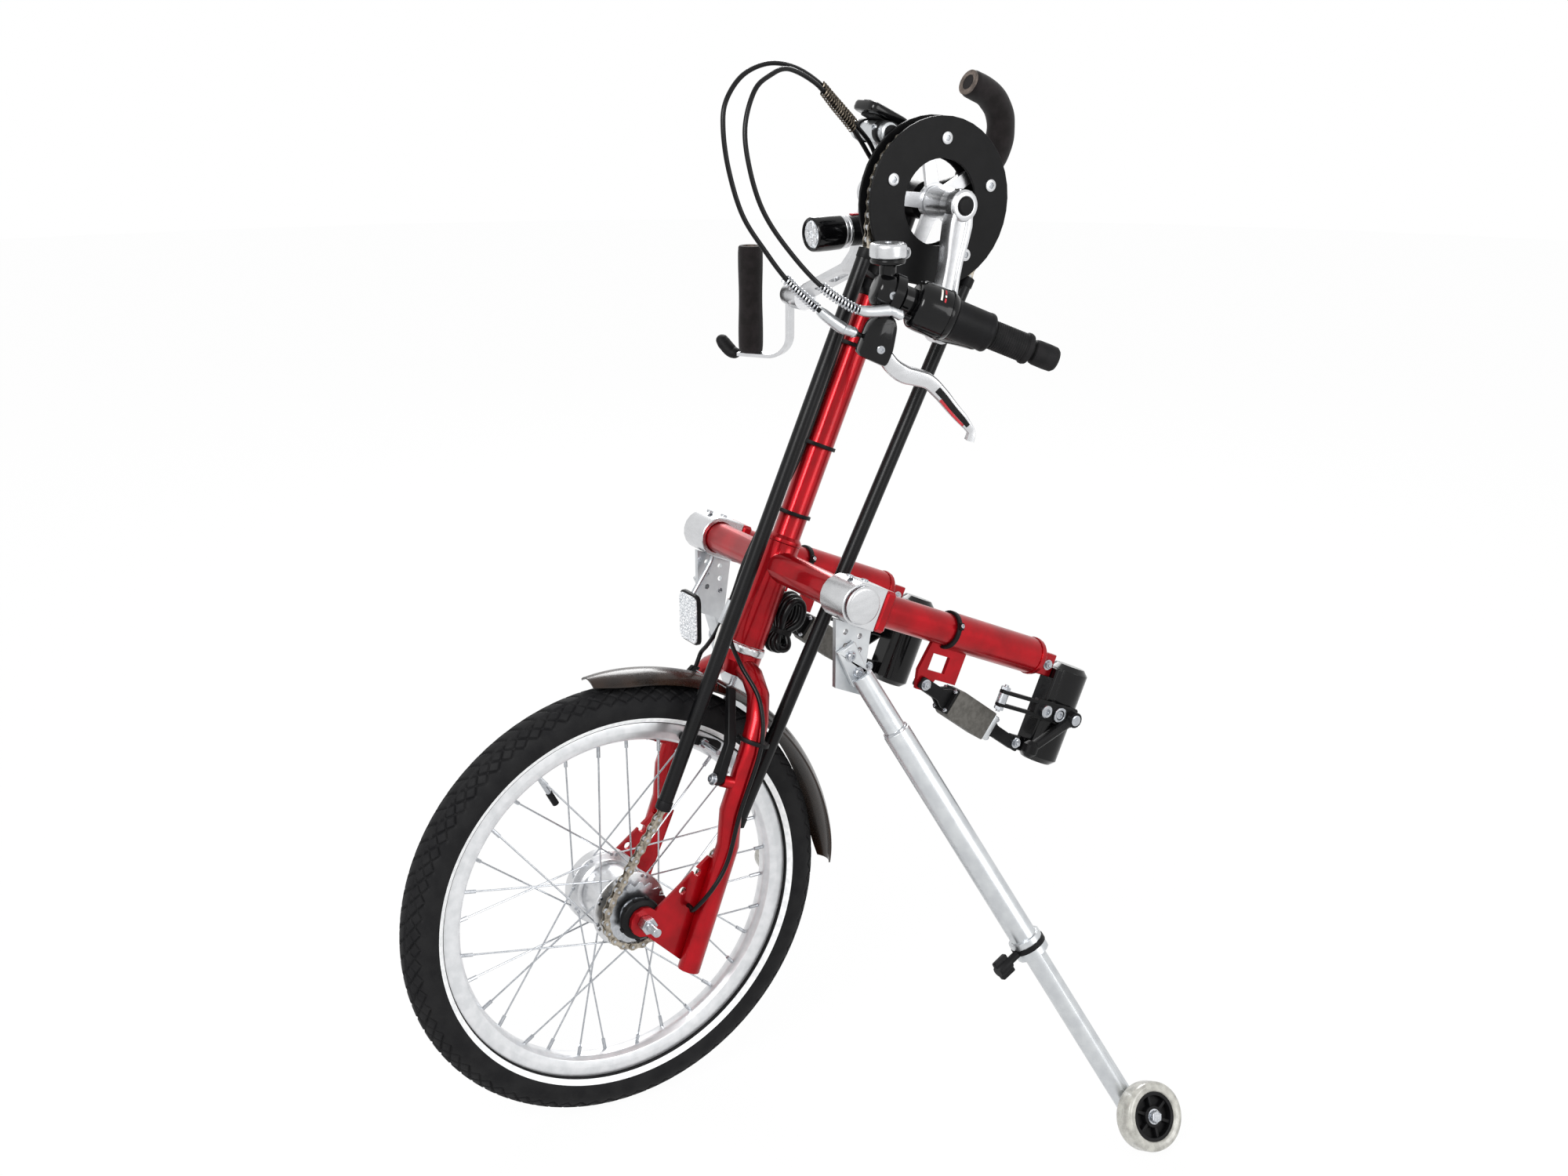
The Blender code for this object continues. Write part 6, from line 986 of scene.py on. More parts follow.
# The handles
class HANDBIKE_OT_left_handle(bpy.types.Operator):
    """Make the near handle: elbow, twist housing with its window, collar, ribbed grip, lever and bell"""
    bl_idname = "handbike.left_handle"
    bl_label = "Left handle, brake and bell"

    def execute(self, context):
        skin = Skin()
        elbow = mm((0, -16.5), (12.5, -16), (17.2, -12.5), (19, -6), (19, 8), (17.2, 13.5), (14.2, 16),
            (14.2, 29), (0, 29))
        skin.turn(elbow, BAR_LINE, 40, 0, 0.002, 3)
        housing = mm((0, 28.5), (21.5, 28.5), (25.4, 31.5), (26.5, 40), (26.5, 60), (25.2, 68),
            (22.6, 72.5), (0, 72.5))
        skin.turn(housing, BAR_LINE, 56, 1, 0.003, 4)
        skin.turn(mm((26.2, 63.5), (26.9, 64), (26.9, 65.2), (25.8, 65.7)), BAR_LINE, 56, 1, closed=True)
        collar = mm((0, 72), (20.8, 72), (21.2, 73.5), (20.7, 75.5), (20.3, 110), (20.7, 111.5),
            (20.7, 114.5), (19.6, 116.5), (0, 116.5))
        skin.turn(collar, BAR_LINE, 48, 2, 0.0006)
        ribs = np.linspace(0.1185, 0.1555, 15)
        grip = np.concatenate([mm((0, 116.3), (14.8, 116.3), (15.5, 117.8))] + [[(0.0153, at),
            (0.0147, at + 0.0006), (0.0147, at + 0.0013),
            (0.0153, at + 0.0019)] for at in ribs] + [mm((16.5, 158), (16.8, 160.5), (15.8, 163.2),
            (10.3, 165), (9.8, 166.8), (12.6, 169), (13.4, 172), (13.6, 185), (13.2, 192.5),
            (11.2, 195.2), (6, 196.2), (0, 196.4))])
        skin.turn(grip, BAR_LINE, 48, 3)
        u, v = square_to(AIM, BAR_UP)

        def patch(r, start, end, a):
            ring = np.cos(a)[:, None] * u + np.sin(a)[:, None] * v
            return KNUCKLE + AIM * np.linspace(start, end, 3)[:, None, None] + r * ring[None]

        for start, end, first, last, finish in (
                (0.0480, 0.0500, 26, 58, 5), (0.0525, 0.0542, 24, 38, 6), (0.0525, 0.0542, 41, 47, 5),
                (0.0525, 0.0542, 50, 60, 6)):
            a = np.radians(np.linspace(first, last, 8))
            outer, inner = patch(0.02668, start, end, a), patch(0.0262, start, end, a)
            block = np.concatenate([outer, inner[:, ::-1]], 1)
            skin.add(block, finish)
        boss = mm((0, 106.2), (9.6, 106.2), (11, 107.5), (11, 158), (9.8, 160.4), (0, 160.4))
        skin.turn(boss, (CRANK_PIN, ACROSS), 32, 0, 0.001)
        post = mm((0, 0), (9.8, 0), (9.8, 13), (8.8, 16), (8.8, 26.2), (9.8, 27.8), (0, 27.8))
        skin.turn(post, (KNUCKLE, Z), 32, 0, 0.0008)
        for way in (BAR_OUT, -BAR_OUT):
            skin.add(bolt_head(KNUCKLE + way * 0.0182 + AIM * 0.002, way, 0.0042, 0.0022), 4)
        skin.piece("handle_left_turned", "hand_left", [ABS, ABS, NYLON, RUBBER, ZINC, "printed_white",
            "red_rubber"], ["handle_left"], "black_plastic", 32)

        bell = Skin()
        dome = mm((0, 6.2), (16.8, 6.2), (18.8, 7.8), (19, 9.8), (19, 18.2), (18.2, 20.4), (16, 21.6),
            (10, 21.9), (0, 22))
        base = KNUCKLE + Z * 0.0283
        bell.turn(dome, (base, Z), 56, 0, 0.0008, 3)
        bell.turn(mm((0, 0), (14, 0), (17.8, 1.6), (18.4, 4.6), (17.2, 6.2), (0, 6.2)), (base, Z), 48, 1,
            0.0006)
        bell.turn(mm((0, 21.9), (3.4, 21.9), (3, 23), (0, 23.3)), (base, Z), 20, 2)
        bell.piece("bell_turned", "hand_left", [POLISHED, ABS, ZINC], ["bell"], "silver")

        lever = Skin()
        body = KNUCKLE + AIM * 0.010 - BAR_UP * 0.0453
        shell = mm((-16.5, 24), (17.5, 25.5), (18, 8), (12, -18), (4, -25.8), (-10, -23.5), (-17.5, -10))
        lever.add(flat(eased(shell, 0.006, 4, closed=True), -0.0105, 0.0105, 0.0035, body, -BAR_OUT, AIM),
            0)
        for side in (-1.0, 1.0):
            lever.add(bolt_head(body + BAR_OUT * side * 0.0104 + AIM * 0.004 - BAR_UP * 0.01,
                BAR_OUT * side, 0.0042, 0.0018), 3)
        lever.turn(mm((19.2, 2), (22.2, 2.2), (22.2, 12.2), (19.2, 12.4)), BAR_LINE, 40, 0, closed=True)
        spots = mm((18.7, 57.2), (34, 66.8), (48.8, 70.4), (62, 69), (76, 68.2), (94, 75.2),
            (111.9, 84.7), (128, 92.5), (139.2, 99), (142.6, 103.5), (143.5, 110))
        blade = curve_through(KNUCKLE + AIM * spots[:, :1] - BAR_UP * spots[:, 1:], 72)
        share = np.linspace(0, 1, 72)
        thick = np.interp(share, [0, 0.2, 0.45, 0.8, 0.93, 1], [0.0074, 0.0096, 0.008, 0.0064, 0.004,
            0.0044])
        wide = np.interp(share, [0, 0.2, 0.45, 0.8, 0.93, 1], [0.0075, 0.0088, 0.008, 0.0068, 0.005,
            0.0058])
        section = eased([(1, -1), (1, 1), (-1, 1), (-1, -1)], 0.45, 3, closed=True)
        for first, last, drop, share_thick, proud, finish in (
                (0, 72, 0.0, 1.0, 0.0, 1), (36, 63, 0.0, 0.56, 0.0006, 2), (40, 60, 0.74, 0.24, 0.0004, 4)):
            part = slice(first, last)
            lever.add(swept(section, blade[part] - BAR_UP * (thick[part, None] * drop),
                np.cross(BAR_OUT, AIM), np.stack([thick[part] * share_thick, wide[part] + proud], 1)),
                finish)
        lever.piece("brake_lever_cast", "hand_left", [ABS, POLISHED, RUBBER, ZINC, "red_rubber"],
            ["brake_lever"], "black_metal", 32)
        return {"FINISHED"}


class HANDBIKE_OT_right_handle(bpy.types.Operator):
    """Make the far handle: a folded J of flat bar, the upright foam grip and the pad at its foot"""
    bl_idname = "handbike.right_handle"
    bl_label = "Right handle"

    def execute(self, context):
        low, high = (np.array(c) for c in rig.box("grip_right"))
        centre, tall = (low + high) / 2 * (1, 1, 0) + low * (0, 0, 1), high[2] - low[2]
        skin = Skin()
        rows = np.linspace(0.02, 0.98, 25)
        swell = 0.0146 + 0.0004 * np.sin(rows * 9.0)
        side = mm((0, 0), (12.8, 0), (14.2, 1.6))
        top = [(0.0144, tall - 0.0014), (0.0132, tall), (0.0092, tall), (0.0088, tall - 0.0022),
            (0, tall - 0.0022)]
        profile = np.concatenate([side, np.stack([swell, rows * tall], 1)[1:-1], top])
        finish = np.where(np.arange(len(profile)) >= len(profile) - 3, 1, 0)
        skin.add(revolved(profile, centre, Z, 40), rows=finish[:-1])
        skin.piece("grip_right_foam", "hand_right", ["closed_cell_foam", "cut_foam"], ["grip_right"],
            "foam", 40)
        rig.padded(bpy.data.objects["grip_right_foam"], 0.9)
        bolt = CRANK_PIN - ACROSS * 0.2128
        strip = Skin()
        outward = unit(centre * (1, 1, 0) - (bolt + ACROSS * 0.0046) * (1, 1, 0))
        reach = np.linalg.norm((centre - bolt - ACROSS * 0.0046)[:2])
        drop = bolt[2] - low[2] + 0.00255
        bend = np.radians(np.linspace(0, 90, 12))
        line = np.concatenate([mm((0, 0), (0, -18)), np.stack([0.026 * (1 - np.cos(bend)),
            -drop + 0.026 * (1 - np.sin(bend))], 1), [(reach, -drop), (reach + 0.0148, -drop)]])
        path = bolt + ACROSS * 0.0046 + outward * line[:, :1] + Z * line[:, 1:]
        aside = np.cross(outward, Z)
        edge = eased([(1, -1), (1, 1), (-1, 1), (-1, -1)], 0.12, 2, closed=True) * (0.009, 0.00225)
        strip.add(swept(edge, path, aside), 0)
        boss = mm((0, -0.2), (4.6, -0.2), (5.2, 0.4), (11.2, 0.4), (12.7, 1.8), (12.7, 16.5),
            (11.7, 17.6), (0, 17.6))
        strip.turn(boss, (bolt, ACROSS), 40, 0, 0.0008)
        strip.add(bolt_head(bolt + ACROSS * 0.0002, -ACROSS, 0.0068, 0.0034), 1)
        strip.piece("bracket_right_bent", "hand_right", [POLISHED, ZINC], ["bracket_right"], "silver", 30)
        root = bolt + ACROSS * 0.0046 + outward * (reach + 0.0151) - Z * drop
        knots = root + outward * np.array([[0], [0.0095], [0.019], [0.0245],
            [0.027]]) + Z * np.array([[0], [0.0006], [0.009], [0.016], [0.02]])
        share = np.linspace(0, 1, 28)
        size = 0.0105 * np.interp(share, [0, 0.05, 0.14, 0.4, 0.7, 0.88, 0.96, 1], [0.45, 0.66, 0.86, 1.0,
            1.0, 0.86, 0.6, 0.25])
        size = np.stack([size, size * 0.74], 1)
        pad = Skin().add(swept(circle(1.0, 28), curve_through(knots, 28), aside, size), 0)
        pad.piece("grip_pad_right_moulded", "hand_right", [RUBBER], ["grip_pad_right"], "rubber")
        return {"FINISHED"}


# The head: lamp, accessories and pull handle
LAMP_AIM = unit((0.0, -1.0, -0.03))
FACE_WAY = unit((0.0, 1.0, -0.48))


class HANDBIKE_OT_headlight(bpy.types.Operator):
    """Turn the lamp: knurled body, bright ring, bezel, lens and five small emitters behind it"""
    bl_idname = "handbike.headlight"
    bl_label = "Headlight"

    def execute(self, context):
        back = steered(-0.0365, 0.008, 0.392)
        skin = Skin()
        body = mm((0, 0), (13.2, 0), (15, 2), (16.8, 11), (16.8, 49), (17.2, 52), (0, 52))
        skin.turn(body, (back, LAMP_AIM), 48, 0, 0.0009)
        ring = mm((0, 51.8), (17, 51.8), (18.4, 52.6), (18.4, 55.2), (17.6, 55.8), (17.6, 57),
            (18.6, 57.6), (18.6, 60.6), (17.8, 61.2), (0, 61.2))
        skin.turn(ring, (back, LAMP_AIM), 48, 1, 0.0003)
        bezel = mm((0, 61), (18.2, 61), (19.3, 63), (19.5, 76), (19.3, 90), (18.6, 96), (17.2, 97.8),
            (16, 97.4), (15.2, 94), (0, 94))
        skin.turn(bezel, (back, LAMP_AIM), 56, 2, 0.0008, 3)
        skin.turn(mm((0, 93.6), (15, 93.6), (15, 95.2), (13.2, 95.8), (0, 96)), (back, LAMP_AIM), 48, 3)
        u, v = square_to(LAMP_AIM, Z)
        k = np.radians(90 + 72 * np.arange(5))
        for offset in 0.0086 * (np.cos(k)[:, None] * u + np.sin(k)[:, None] * v):
            skin.turn(mm((0, 96), (1.4, 95.8), (2.6, 96), (3.8, 96.6), (4.4, 96.6), (4.4, 95.2),
                (0, 95.2))[::-1], (back + offset, LAMP_AIM), 18, 4)
        for at in np.linspace(0.016, 0.044, 10):
            skin.turn([(0.0163, at - 0.0007), (0.017, at - 0.0004), (0.017, at + 0.0004),
                (0.0163, at + 0.0007)], (back, LAMP_AIM), 40, 0, closed=True)
        skin.add(flat(oblong(0.012, 0.007, 0.002), 0.0158, 0.018, 0.0006, back + LAMP_AIM * 0.04, Z,
            LAMP_AIM), 5)
        beside = back + LAMP_AIM * 0.0101
        skin.many(rods([beside], [beside + ACROSS * 0.0205], 0.007, 24), 6)
        skin.add(band(beside + LAMP_AIM * 0.006, LAMP_AIM, 0.0163, 0.013, 0.0024), 6)
        skin.add(bolt_head(beside + LAMP_AIM * 0.006 + Z * 0.0182, Z, 0.0036, 0.0022), 4)
        skin.piece("headlight_turned", "steer", ["black_anodised_aluminium", POLISHED, ABS,
            "lens_and_bowl", POLISHED, "red_rubber", NYLON], ["headlight"], "black_metal")
        return {"FINISHED"}


class HANDBIKE_OT_accessories(bpy.types.Operator):
    """Make the silver cross bar with its plugs and clamp, the riding computer and the foam pull handle"""
    bl_idname = "handbike.accessories"
    bl_label = "Cross bar, computer and pull handle"

    def execute(self, context):
        middle = CRANK_CENTRE + np.array([0.0, -0.047, 0.072])
        way = unit(middle - CRANK_CENTRE)
        skin = Skin()
        bar = mm((0, -32), (8.6, -32), (10.5, -30.5), (11, -29), (11, 29), (10.5, 30.5), (8.6, 32),
            (0, 32))
        skin.turn(bar, (middle, ACROSS), 40, 0, 0.0006)
        for side in (-1, 1):
            skin.turn(mm((0, 31.8), (8.4, 31.8), (8.4, 33.2), (7, 34.1), (0, 34.4)),
                (middle, ACROSS * side), 32, 1)
        foot = CRANK_CENTRE + way * 0.0213
        stem = mm((0, 0), (10.5, 0), (10.5, 3.5), (7.4, 6.5), (7, 10), (7, 52), (8.2, 58), (9.8, 62.5),
            (0, 64))
        skin.turn(stem, (foot, way), 36, 0, 0.0012, 3)
        skin.add(band(middle + ACROSS * 0.018, ACROSS, 0.0112, 0.008, 0.0014), 2)
        skin.add(band(middle - ACROSS * 0.018, ACROSS, 0.0112, 0.008, 0.0014), 2)
        skin.add(bolt_head(middle + ACROSS * 0.018 - FACE_WAY * 0.0122, -FACE_WAY, 0.0034, 0.0028), 3)
        skin.piece("cross_bar_turned", "steer", [SILVER, NYLON, NYLON, ZINC], ["accessory_bar"], "silver")

        normal = np.cross(ACROSS, FACE_WAY)
        seat = middle + normal * 0.0113
        case = Skin()
        outline = eased(mm((20, -26), (20, 26), (-20, 26), (-20, -26)), 0.009, 5, closed=True)
        case.add(flat(outline, 0.0022, 0.0135, 0.0032, seat, normal, ACROSS), 0)
        foot_line = eased(mm((14, -16), (14, 16), (-14, 16), (-14, -16)), 0.004, 3, closed=True)
        case.add(flat(foot_line, 0.0, 0.0026, 0.0005, seat, normal, ACROSS), 1)
        glass = eased(mm((15.5, -14), (15.5, 20), (-15.5, 20), (-15.5, -14)), 0.003, 3, closed=True)
        case.add(flat(glass, 0.0130, 0.0140, 0.0003, seat, normal, ACROSS), 2)
        button = eased(mm((7, -22.5), (7, -17.5), (-7, -17.5), (-7, -22.5)), 0.002, 3, closed=True)
        case.add(flat(button, 0.0130, 0.0145, 0.0004, seat, normal, ACROSS), 1)
        case.piece("computer_moulded", "steer", [ABS, NYLON, "display_glass"], ["computer"],
            "black_plastic")

        shares = np.array([(0.5, 0.08), (0.8, 0.2), (0.97, 0.42), (0.99, 0.68), (0.86, 0.88),
            (0.62, 1.0)])
        knots = CRANK_CENTRE + np.stack([shares[:, 0] * 0, 0.122 * shares[:, 0], 0.120 * shares[:, 1]], 1)
        root = CRANK_CENTRE + unit(knots[0] - CRANK_CENTRE) * 0.0213
        path = curve_through(np.concatenate([[root], knots]), 90)
        share = np.linspace(0, 1, 90)
        ripple = 0.0003 * np.sin(share * 41) * np.sin(share * 17)
        size = 0.0158 + ripple - 0.0024 * np.exp(-((share - 1) / 0.012) ** 2)
        size = np.where(share < 0.25, 0.0105, size)
        pull = Skin()
        pull.add(swept(circle(1.0, 36), path, ACROSS, size), 0, rows=(share[:-1] < 0.25).astype(int))
        along_end = unit(path[-1] - path[-3])
        pull.turn(mm((9.8, -4), (9.8, 0.4), (14.4, 0.4), (14.4, -1)), (path[-1], along_end), 32, 2,
            closed=True)
        pull.turn(mm((0, -3.5), (10, -3.5), (10, 0.55), (8.6, 0.55), (8.4, -1.5), (0, -1.8)),
            (path[-1], along_end), 32, 3)
        pull.piece("pull_handle_foam", "steer", ["closed_cell_foam", COATED, "cut_foam", "cut_foam"],
            ["pull_handle"], "foam")
        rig.padded(bpy.data.objects["pull_handle_foam"], 0.9)
        refined("mast_head", "black_anodised_aluminium", 0.0009)
        return {"FINISHED"}


# The fixed frame
class HANDBIKE_OT_cross_member(bpy.types.Operator):
    """Finish the red tubes and their silver caps, with the ties, rings and screws on them"""
    bl_idname = "handbike.cross_member"
    bl_label = "Cross tube, mast and fork"

    def execute(self, context):
        refined("cross_tube", ENAMEL, 0.0006)
        refined("mast", ENAMEL, 0.0006)
        refined("fork", ENAMEL, 0.0007, crease=45)
        skin = Skin()
        for side, name in ((1, "left"), (-1, "right")):
            refined(f"strap_{name}", POLISHED, 0.0012)
            skin.turn(mm((0, 174.3), (17.6, 174.3), (20.5, 174.8), (20.3, 176.6), (18, 178), (0, 178.6)),
                (JUNCTION, ACROSS * side), 48, 0, 0.0008, 3)
            for back in (-0.010, 0.010):
                skin.add(bolt_head(steered(side * ARM_X, back, 0.0230), UPWARD, 0.0038, 0.0024), 1)
        cup = mm((19, -103.9), (21.6, -103.8), (22.2, -102.4), (22.2, -98), (21.7, -96), (20.4, -94),
            (19, -93.5))
        skin.turn(cup, (JUNCTION, UPWARD), 56, 0, 0.0005, closed=True)
        skin.piece("cross_tube_caps", "frame", [POLISHED, ZINC], slot="silver")
        ties = Skin()
        for back, up, radius, across in ((-0.0045, 0.255, 0.0214, 0), (-0.0045, 0.140, 0.0214, 0),
                                         (-0.0045, 0.060, 0.0214, 0), (-0.001, -0.184, 0.0172, 0.0762)):
            ties.add(band(steered(across, back, up), UPWARD, radius, 0.0042, 0.0013, 0.0004, 28), 0)
        for up in (0.255, 0.140, 0.060):
            ties.add(flat(oblong(0.006, 0.0055, 0.001), -0.0016, 0.0022, 0.0005,
                steered(0.0, -0.0275, up), -BACK, ACROSS), 0)
        ties.piece("cable_ties", "steer", [NYLON], slot="black_plastic")
        return {"FINISHED"}


class HANDBIKE_OT_docking(bpy.types.Operator):
    """Finish the docking arms, struts and jaws, with their rings, bolts, washers and bushings"""
    bl_idname = "handbike.docking"
    bl_label = "Docking arms and jaws"

    def execute(self, context):
        for side, name in ((1, "left"), (-1, "right")):
            refined(f"dock_arm_{name}", ENAMEL, 0.0008)
            refined(f"dock_jaw_{name}", ABS, 0.0012)
            refined(f"jaw_clamp_{name}", COATED, 0.0012)
            out = ACROSS * side
            self.strut(side, name)
            skin = Skin()
            for up in (-0.0445, -0.0590):
                skin.add(flat(oblong(0.06, 0.009, 0.003), -0.002, 0.002, 0.0007,
                    steered(side * PLATE_X, 0.2475, up), UPWARD, BACK), 3)
            pinned = steered(side * PLATE_X, 0.2225, JAW_UP)
            skin.many(rods([pinned - UPWARD * 0.0155], [pinned + UPWARD * 0.0155], 0.0024, 12), 1)
            skin.many(rods([pinned - UPWARD * 0.0056], [pinned + UPWARD * 0.0056], 0.0056, 20), 1)
            for way in (-UPWARD, UPWARD):
                skin.add(hex_nut(pinned + way * 0.0092, way, 0.0056, 0.0042), 1)
            skin.add(band(steered(side * ARM_X, 0.1385, 0), BACK, 0.0183, 0.0052, 0.0030), 0)
            for turn in (25, 155):
                aim = np.cos(np.radians(turn)) * out + np.sin(np.radians(turn)) * UPWARD
                spot = steered(side * ARM_X, 0.1385, 0) + aim * 0.0205
                skin.add(flat(oblong(0.0052, 0.008, 0.001), 0, 0.0038, 0.0006, spot, aim, BACK), 0)
                skin.add(bolt_head(spot + aim * 0.0036, aim, 0.0024, 0.0012), 1)
            skin.add(band(steered(side * ARM_X, 0.2655, 0), BACK, 0.0204, 0.0036, 0.0010), 2)
            lug = steered(side * 0.155, 0.290, -0.0041)
            ear = steered(side * 0.1568, 0.1315, -0.0635)
            pin = steered(side * 0.1568, 0.2847, -0.09925)
            for spot, radius in ((lug, 0.0060), (ear, 0.0062), (pin, 0.0060)):
                for way, start in ((out, spot), (-out, spot + ACROSS * 2 * (side * ARM_X - spot[0]))):
                    skin.turn([(0, -0.0005), (radius, -0.0005), (radius, 0.0009), (0, 0.0011)],
                        (start, way), 28, 1)
                    skin.add(hex_nut(start + way * 0.0008, way, radius * 0.74, 0.0034), 1)
                    skin.turn(mm((0, 0), (2.4, 0), (2.4, 5.2), (1.8, 5.7), (0, 5.7)), (start, way), 14, 1)
            face = side * (PLATE_X + 0.005)
            bushing = steered(face, JAW_BACK - 0.019, JAW_UP)
            skin.turn(mm((0, -0.4), (6.8, -0.4), (7.2, 0.6), (7.2, 5.2), (6.2, 6), (3.6, 6), (3.4, 3),
                (0, 3)), (bushing, out), 28, 1)
            ring_at = steered(face, JAW_BACK + 0.004, JAW_UP)
            skin.turn(mm((5.6, 0), (8.8, 0), (8.8, 3.4), (5.6, 3.4)), (ring_at, out), 32, 1, 0.0008,
                closed=True)
            skin.add(bolt_head(ring_at, out, 0.0050, 0.0026), 1)
            pivot = steered(side * (PLATE_X + 0.0151), JAW_BACK + 0.0224, JAW_UP)
            skin.add(bolt_head(pivot - out * 0.0008, out, 0.0062, 0.0016, False), 1)
            skin.piece(f"dock_fittings_{name}", "frame", [NYLON, ZINC, ENAMEL, COATED], slot="steel")
        return {"FINISHED"}

    def strut(self, side, name):
        """The cast block between ear and jaw, with a black fork bolted on above and a bright foot below."""
        start, end = steered(side * ARM_X, 0.1315, -0.0635), steered(side * ARM_X, 0.2847, -0.10125)
        along = unit(end - start)
        square = np.cross(along, ACROSS)
        middle = start + (end - start) * 0.47
        skin = Skin()
        block = mm((-31, -14), (-31, 14), (-25, 17), (31, 17), (31, -17), (-25, -17))
        skin.add(flat(eased(block, 0.0016, 3, closed=True), -0.013, 0.013, 0.0012, middle, ACROSS, along),
            0)
        for way, place, thick, finish in ((-1, start, 0.0032, 1), (1, end, 0.0075, 2)):
            face = middle + along * (way * 0.031)
            reach = abs(np.dot(place - face, along)) + 0.0070
            cheek = [(0.0, -0.0125), (0.0, 0.0125), (0.007, 0.0118), (0.016, 0.007), (reach, 0.0068),
                (reach, -0.0068), (0.016, -0.007), (0.007, -0.0118)]
            cheek = eased(np.array(cheek) * (way, 1), 0.0030, 3, closed=True)
            for aside in (-0.0048, 0.0048):
                skin.add(flat(cheek, aside - 0.0020, aside + 0.0020, 0.0006, face, ACROSS, along), 1)
            skin.add(flat(oblong(0.03, 0.024, 0.002), 0.0, thick, 0.0006, face, along * way, square),
                finish)
            for up, aside in ((0.0115, 0.0092), (0.0115, -0.0092), (-0.0115, 0.0092), (-0.0115, -0.0092)):
                seat = face + square * up + ACROSS * aside + along * way * (thick - 0.0002)
                skin.add(bolt_head(seat, along * way, 0.0026, 0.0022), 3)
        skin.piece(f"dock_strut_{name}_cast", "frame", ["glass_filled_polyamide", COATED, SILVER, ZINC],
            [f"dock_strut_{name}"], "grey_block", 30)


# The stands
class HANDBIKE_OT_stands(bpy.types.Operator):
    """Finish both stands: drilled plates, telescoping legs, wing knobs and clear foot wheels"""
    bl_idname = "handbike.stands"
    bl_label = "Stands"

    def execute(self, context):
        for side, name in ((1, "left"), (-1, "right")):
            out = ACROSS * side
            refined(f"stand_plate_{name}", SILVER, 0.0005)
            refined(f"stand_tube_{name}", SILVER, 0.0005)
            refined(f"stand_leg_{name}", SILVER, 0.0005)
            down = unit((side * 0.345027, 0.400729, -0.848747))
            pivot = np.array([side * 0.1563, 0.063853, 0.545])
            fittings = Skin()
            seat = pivot + out * 0.0032
            for spot in (seat, seat + unit(down * (0, 1, 1)) * 0.022):
                fittings.turn(mm((0, -0.4), (6.4, -0.4), (6.4, 0.8), (0, 1)), (spot, out), 28, 0)
                fittings.add(bolt_head(spot + out * 0.0006, out, 0.0048, 0.0030), 0)
            collar = pivot + down * 0.375
            fittings.add(band(collar, down, 0.0186, 0.0060, 0.0007), 1)
            fittings.add(band(pivot + down * 0.0955, down, 0.0122, 0.0040, 0.0018), 0)
            fittings.piece(f"stand_fittings_{name}", "frame", [ZINC, NYLON], slot="steel")
            ahead = square_to(down, AHEAD)[0]
            base = collar + ahead * 0.0188
            knob = Skin()
            knob.turn(mm((0, 0), (4.4, 0), (4.4, 12.2), (6.8, 12.8), (7.2, 29), (6, 31.2), (0, 31.5)),
                (base, ahead), 28, 0)
            u, v = square_to(ahead, down)
            wing = eased(mm((-11, 12.5), (11, 12.5), (10.8, 30.5), (4.6, 31.2), (3, 25), (-3, 25),
                (-4.6, 31.2), (-10.8, 30.5)), 0.0018, 3, closed=True)
            knob.add(flat(wing, -0.0032, 0.0032, 0.001, base, -v, u), 0)
            knob.piece(f"wing_knob_{name}", "frame", [NYLON], [f"stand_knob_{name}"], "black_plastic")

            foot = np.array([side * 0.39, 0.307853, 0.039081])
            axis = unit((side * 0.90832, 0, 0.418275))
            wheel = Skin()
            tread = mm((26.2, -8.5), (27.5, -11.2), (33, -12), (36.2, -10.8), (37.5, -7), (37.5, 7),
                (36.2, 10.8), (33, 12), (27.5, 11.2), (26.2, 8.5))
            wheel.turn(tread, (foot, axis), 72, 0, 0.0012, 3, closed=True)
            rim = mm((22.5, -9), (26.8, -9.2), (26.8, 9.2), (22.5, 9))
            wheel.turn(rim, (foot, axis), 60, 1, 0.0008, closed=True)
            hub = mm((4.4, -8.8), (11.2, -8.8), (11.8, -8), (11.8, 8), (11.2, 8.8), (4.4, 8.8))
            wheel.turn(hub, (foot, axis), 36, 1, 0.0006, closed=True)
            wheel.turn(mm((11.8, -1.4), (23, -1.4), (23, 1.4), (11.8, 1.4)), (foot, axis), 48, 1,
                closed=True)
            u, v = square_to(axis, Z)
            for way in circle(1.0, 6) @ (u, v):
                wheel.add(flat(oblong(0.0125, 0.0036, 0.001), -0.0078, 0.0078, 0.0008, foot + way * 0.017,
                    axis, way), 1)
            wheel.turn(mm((4.6, 8.4), (8.2, 8.4), (8.2, 9.2), (4.6, 9.4)), (foot, axis), 28, 2,
                closed=True)
            wheel.piece(f"foot_wheel_{name}_cast", f"foot_{name}", ["cast_urethane", NYLON, ZINC],
                [f"foot_wheel_{name}"], "clear_urethane")
            Skin().add(hex_nut(foot + axis * 0.0096, axis, 0.0068, 0.0048), 0).piece(f"foot_nut_{name}",
                f"leg_{name}", [ZINC], slot="steel")
        return {"FINISHED"}


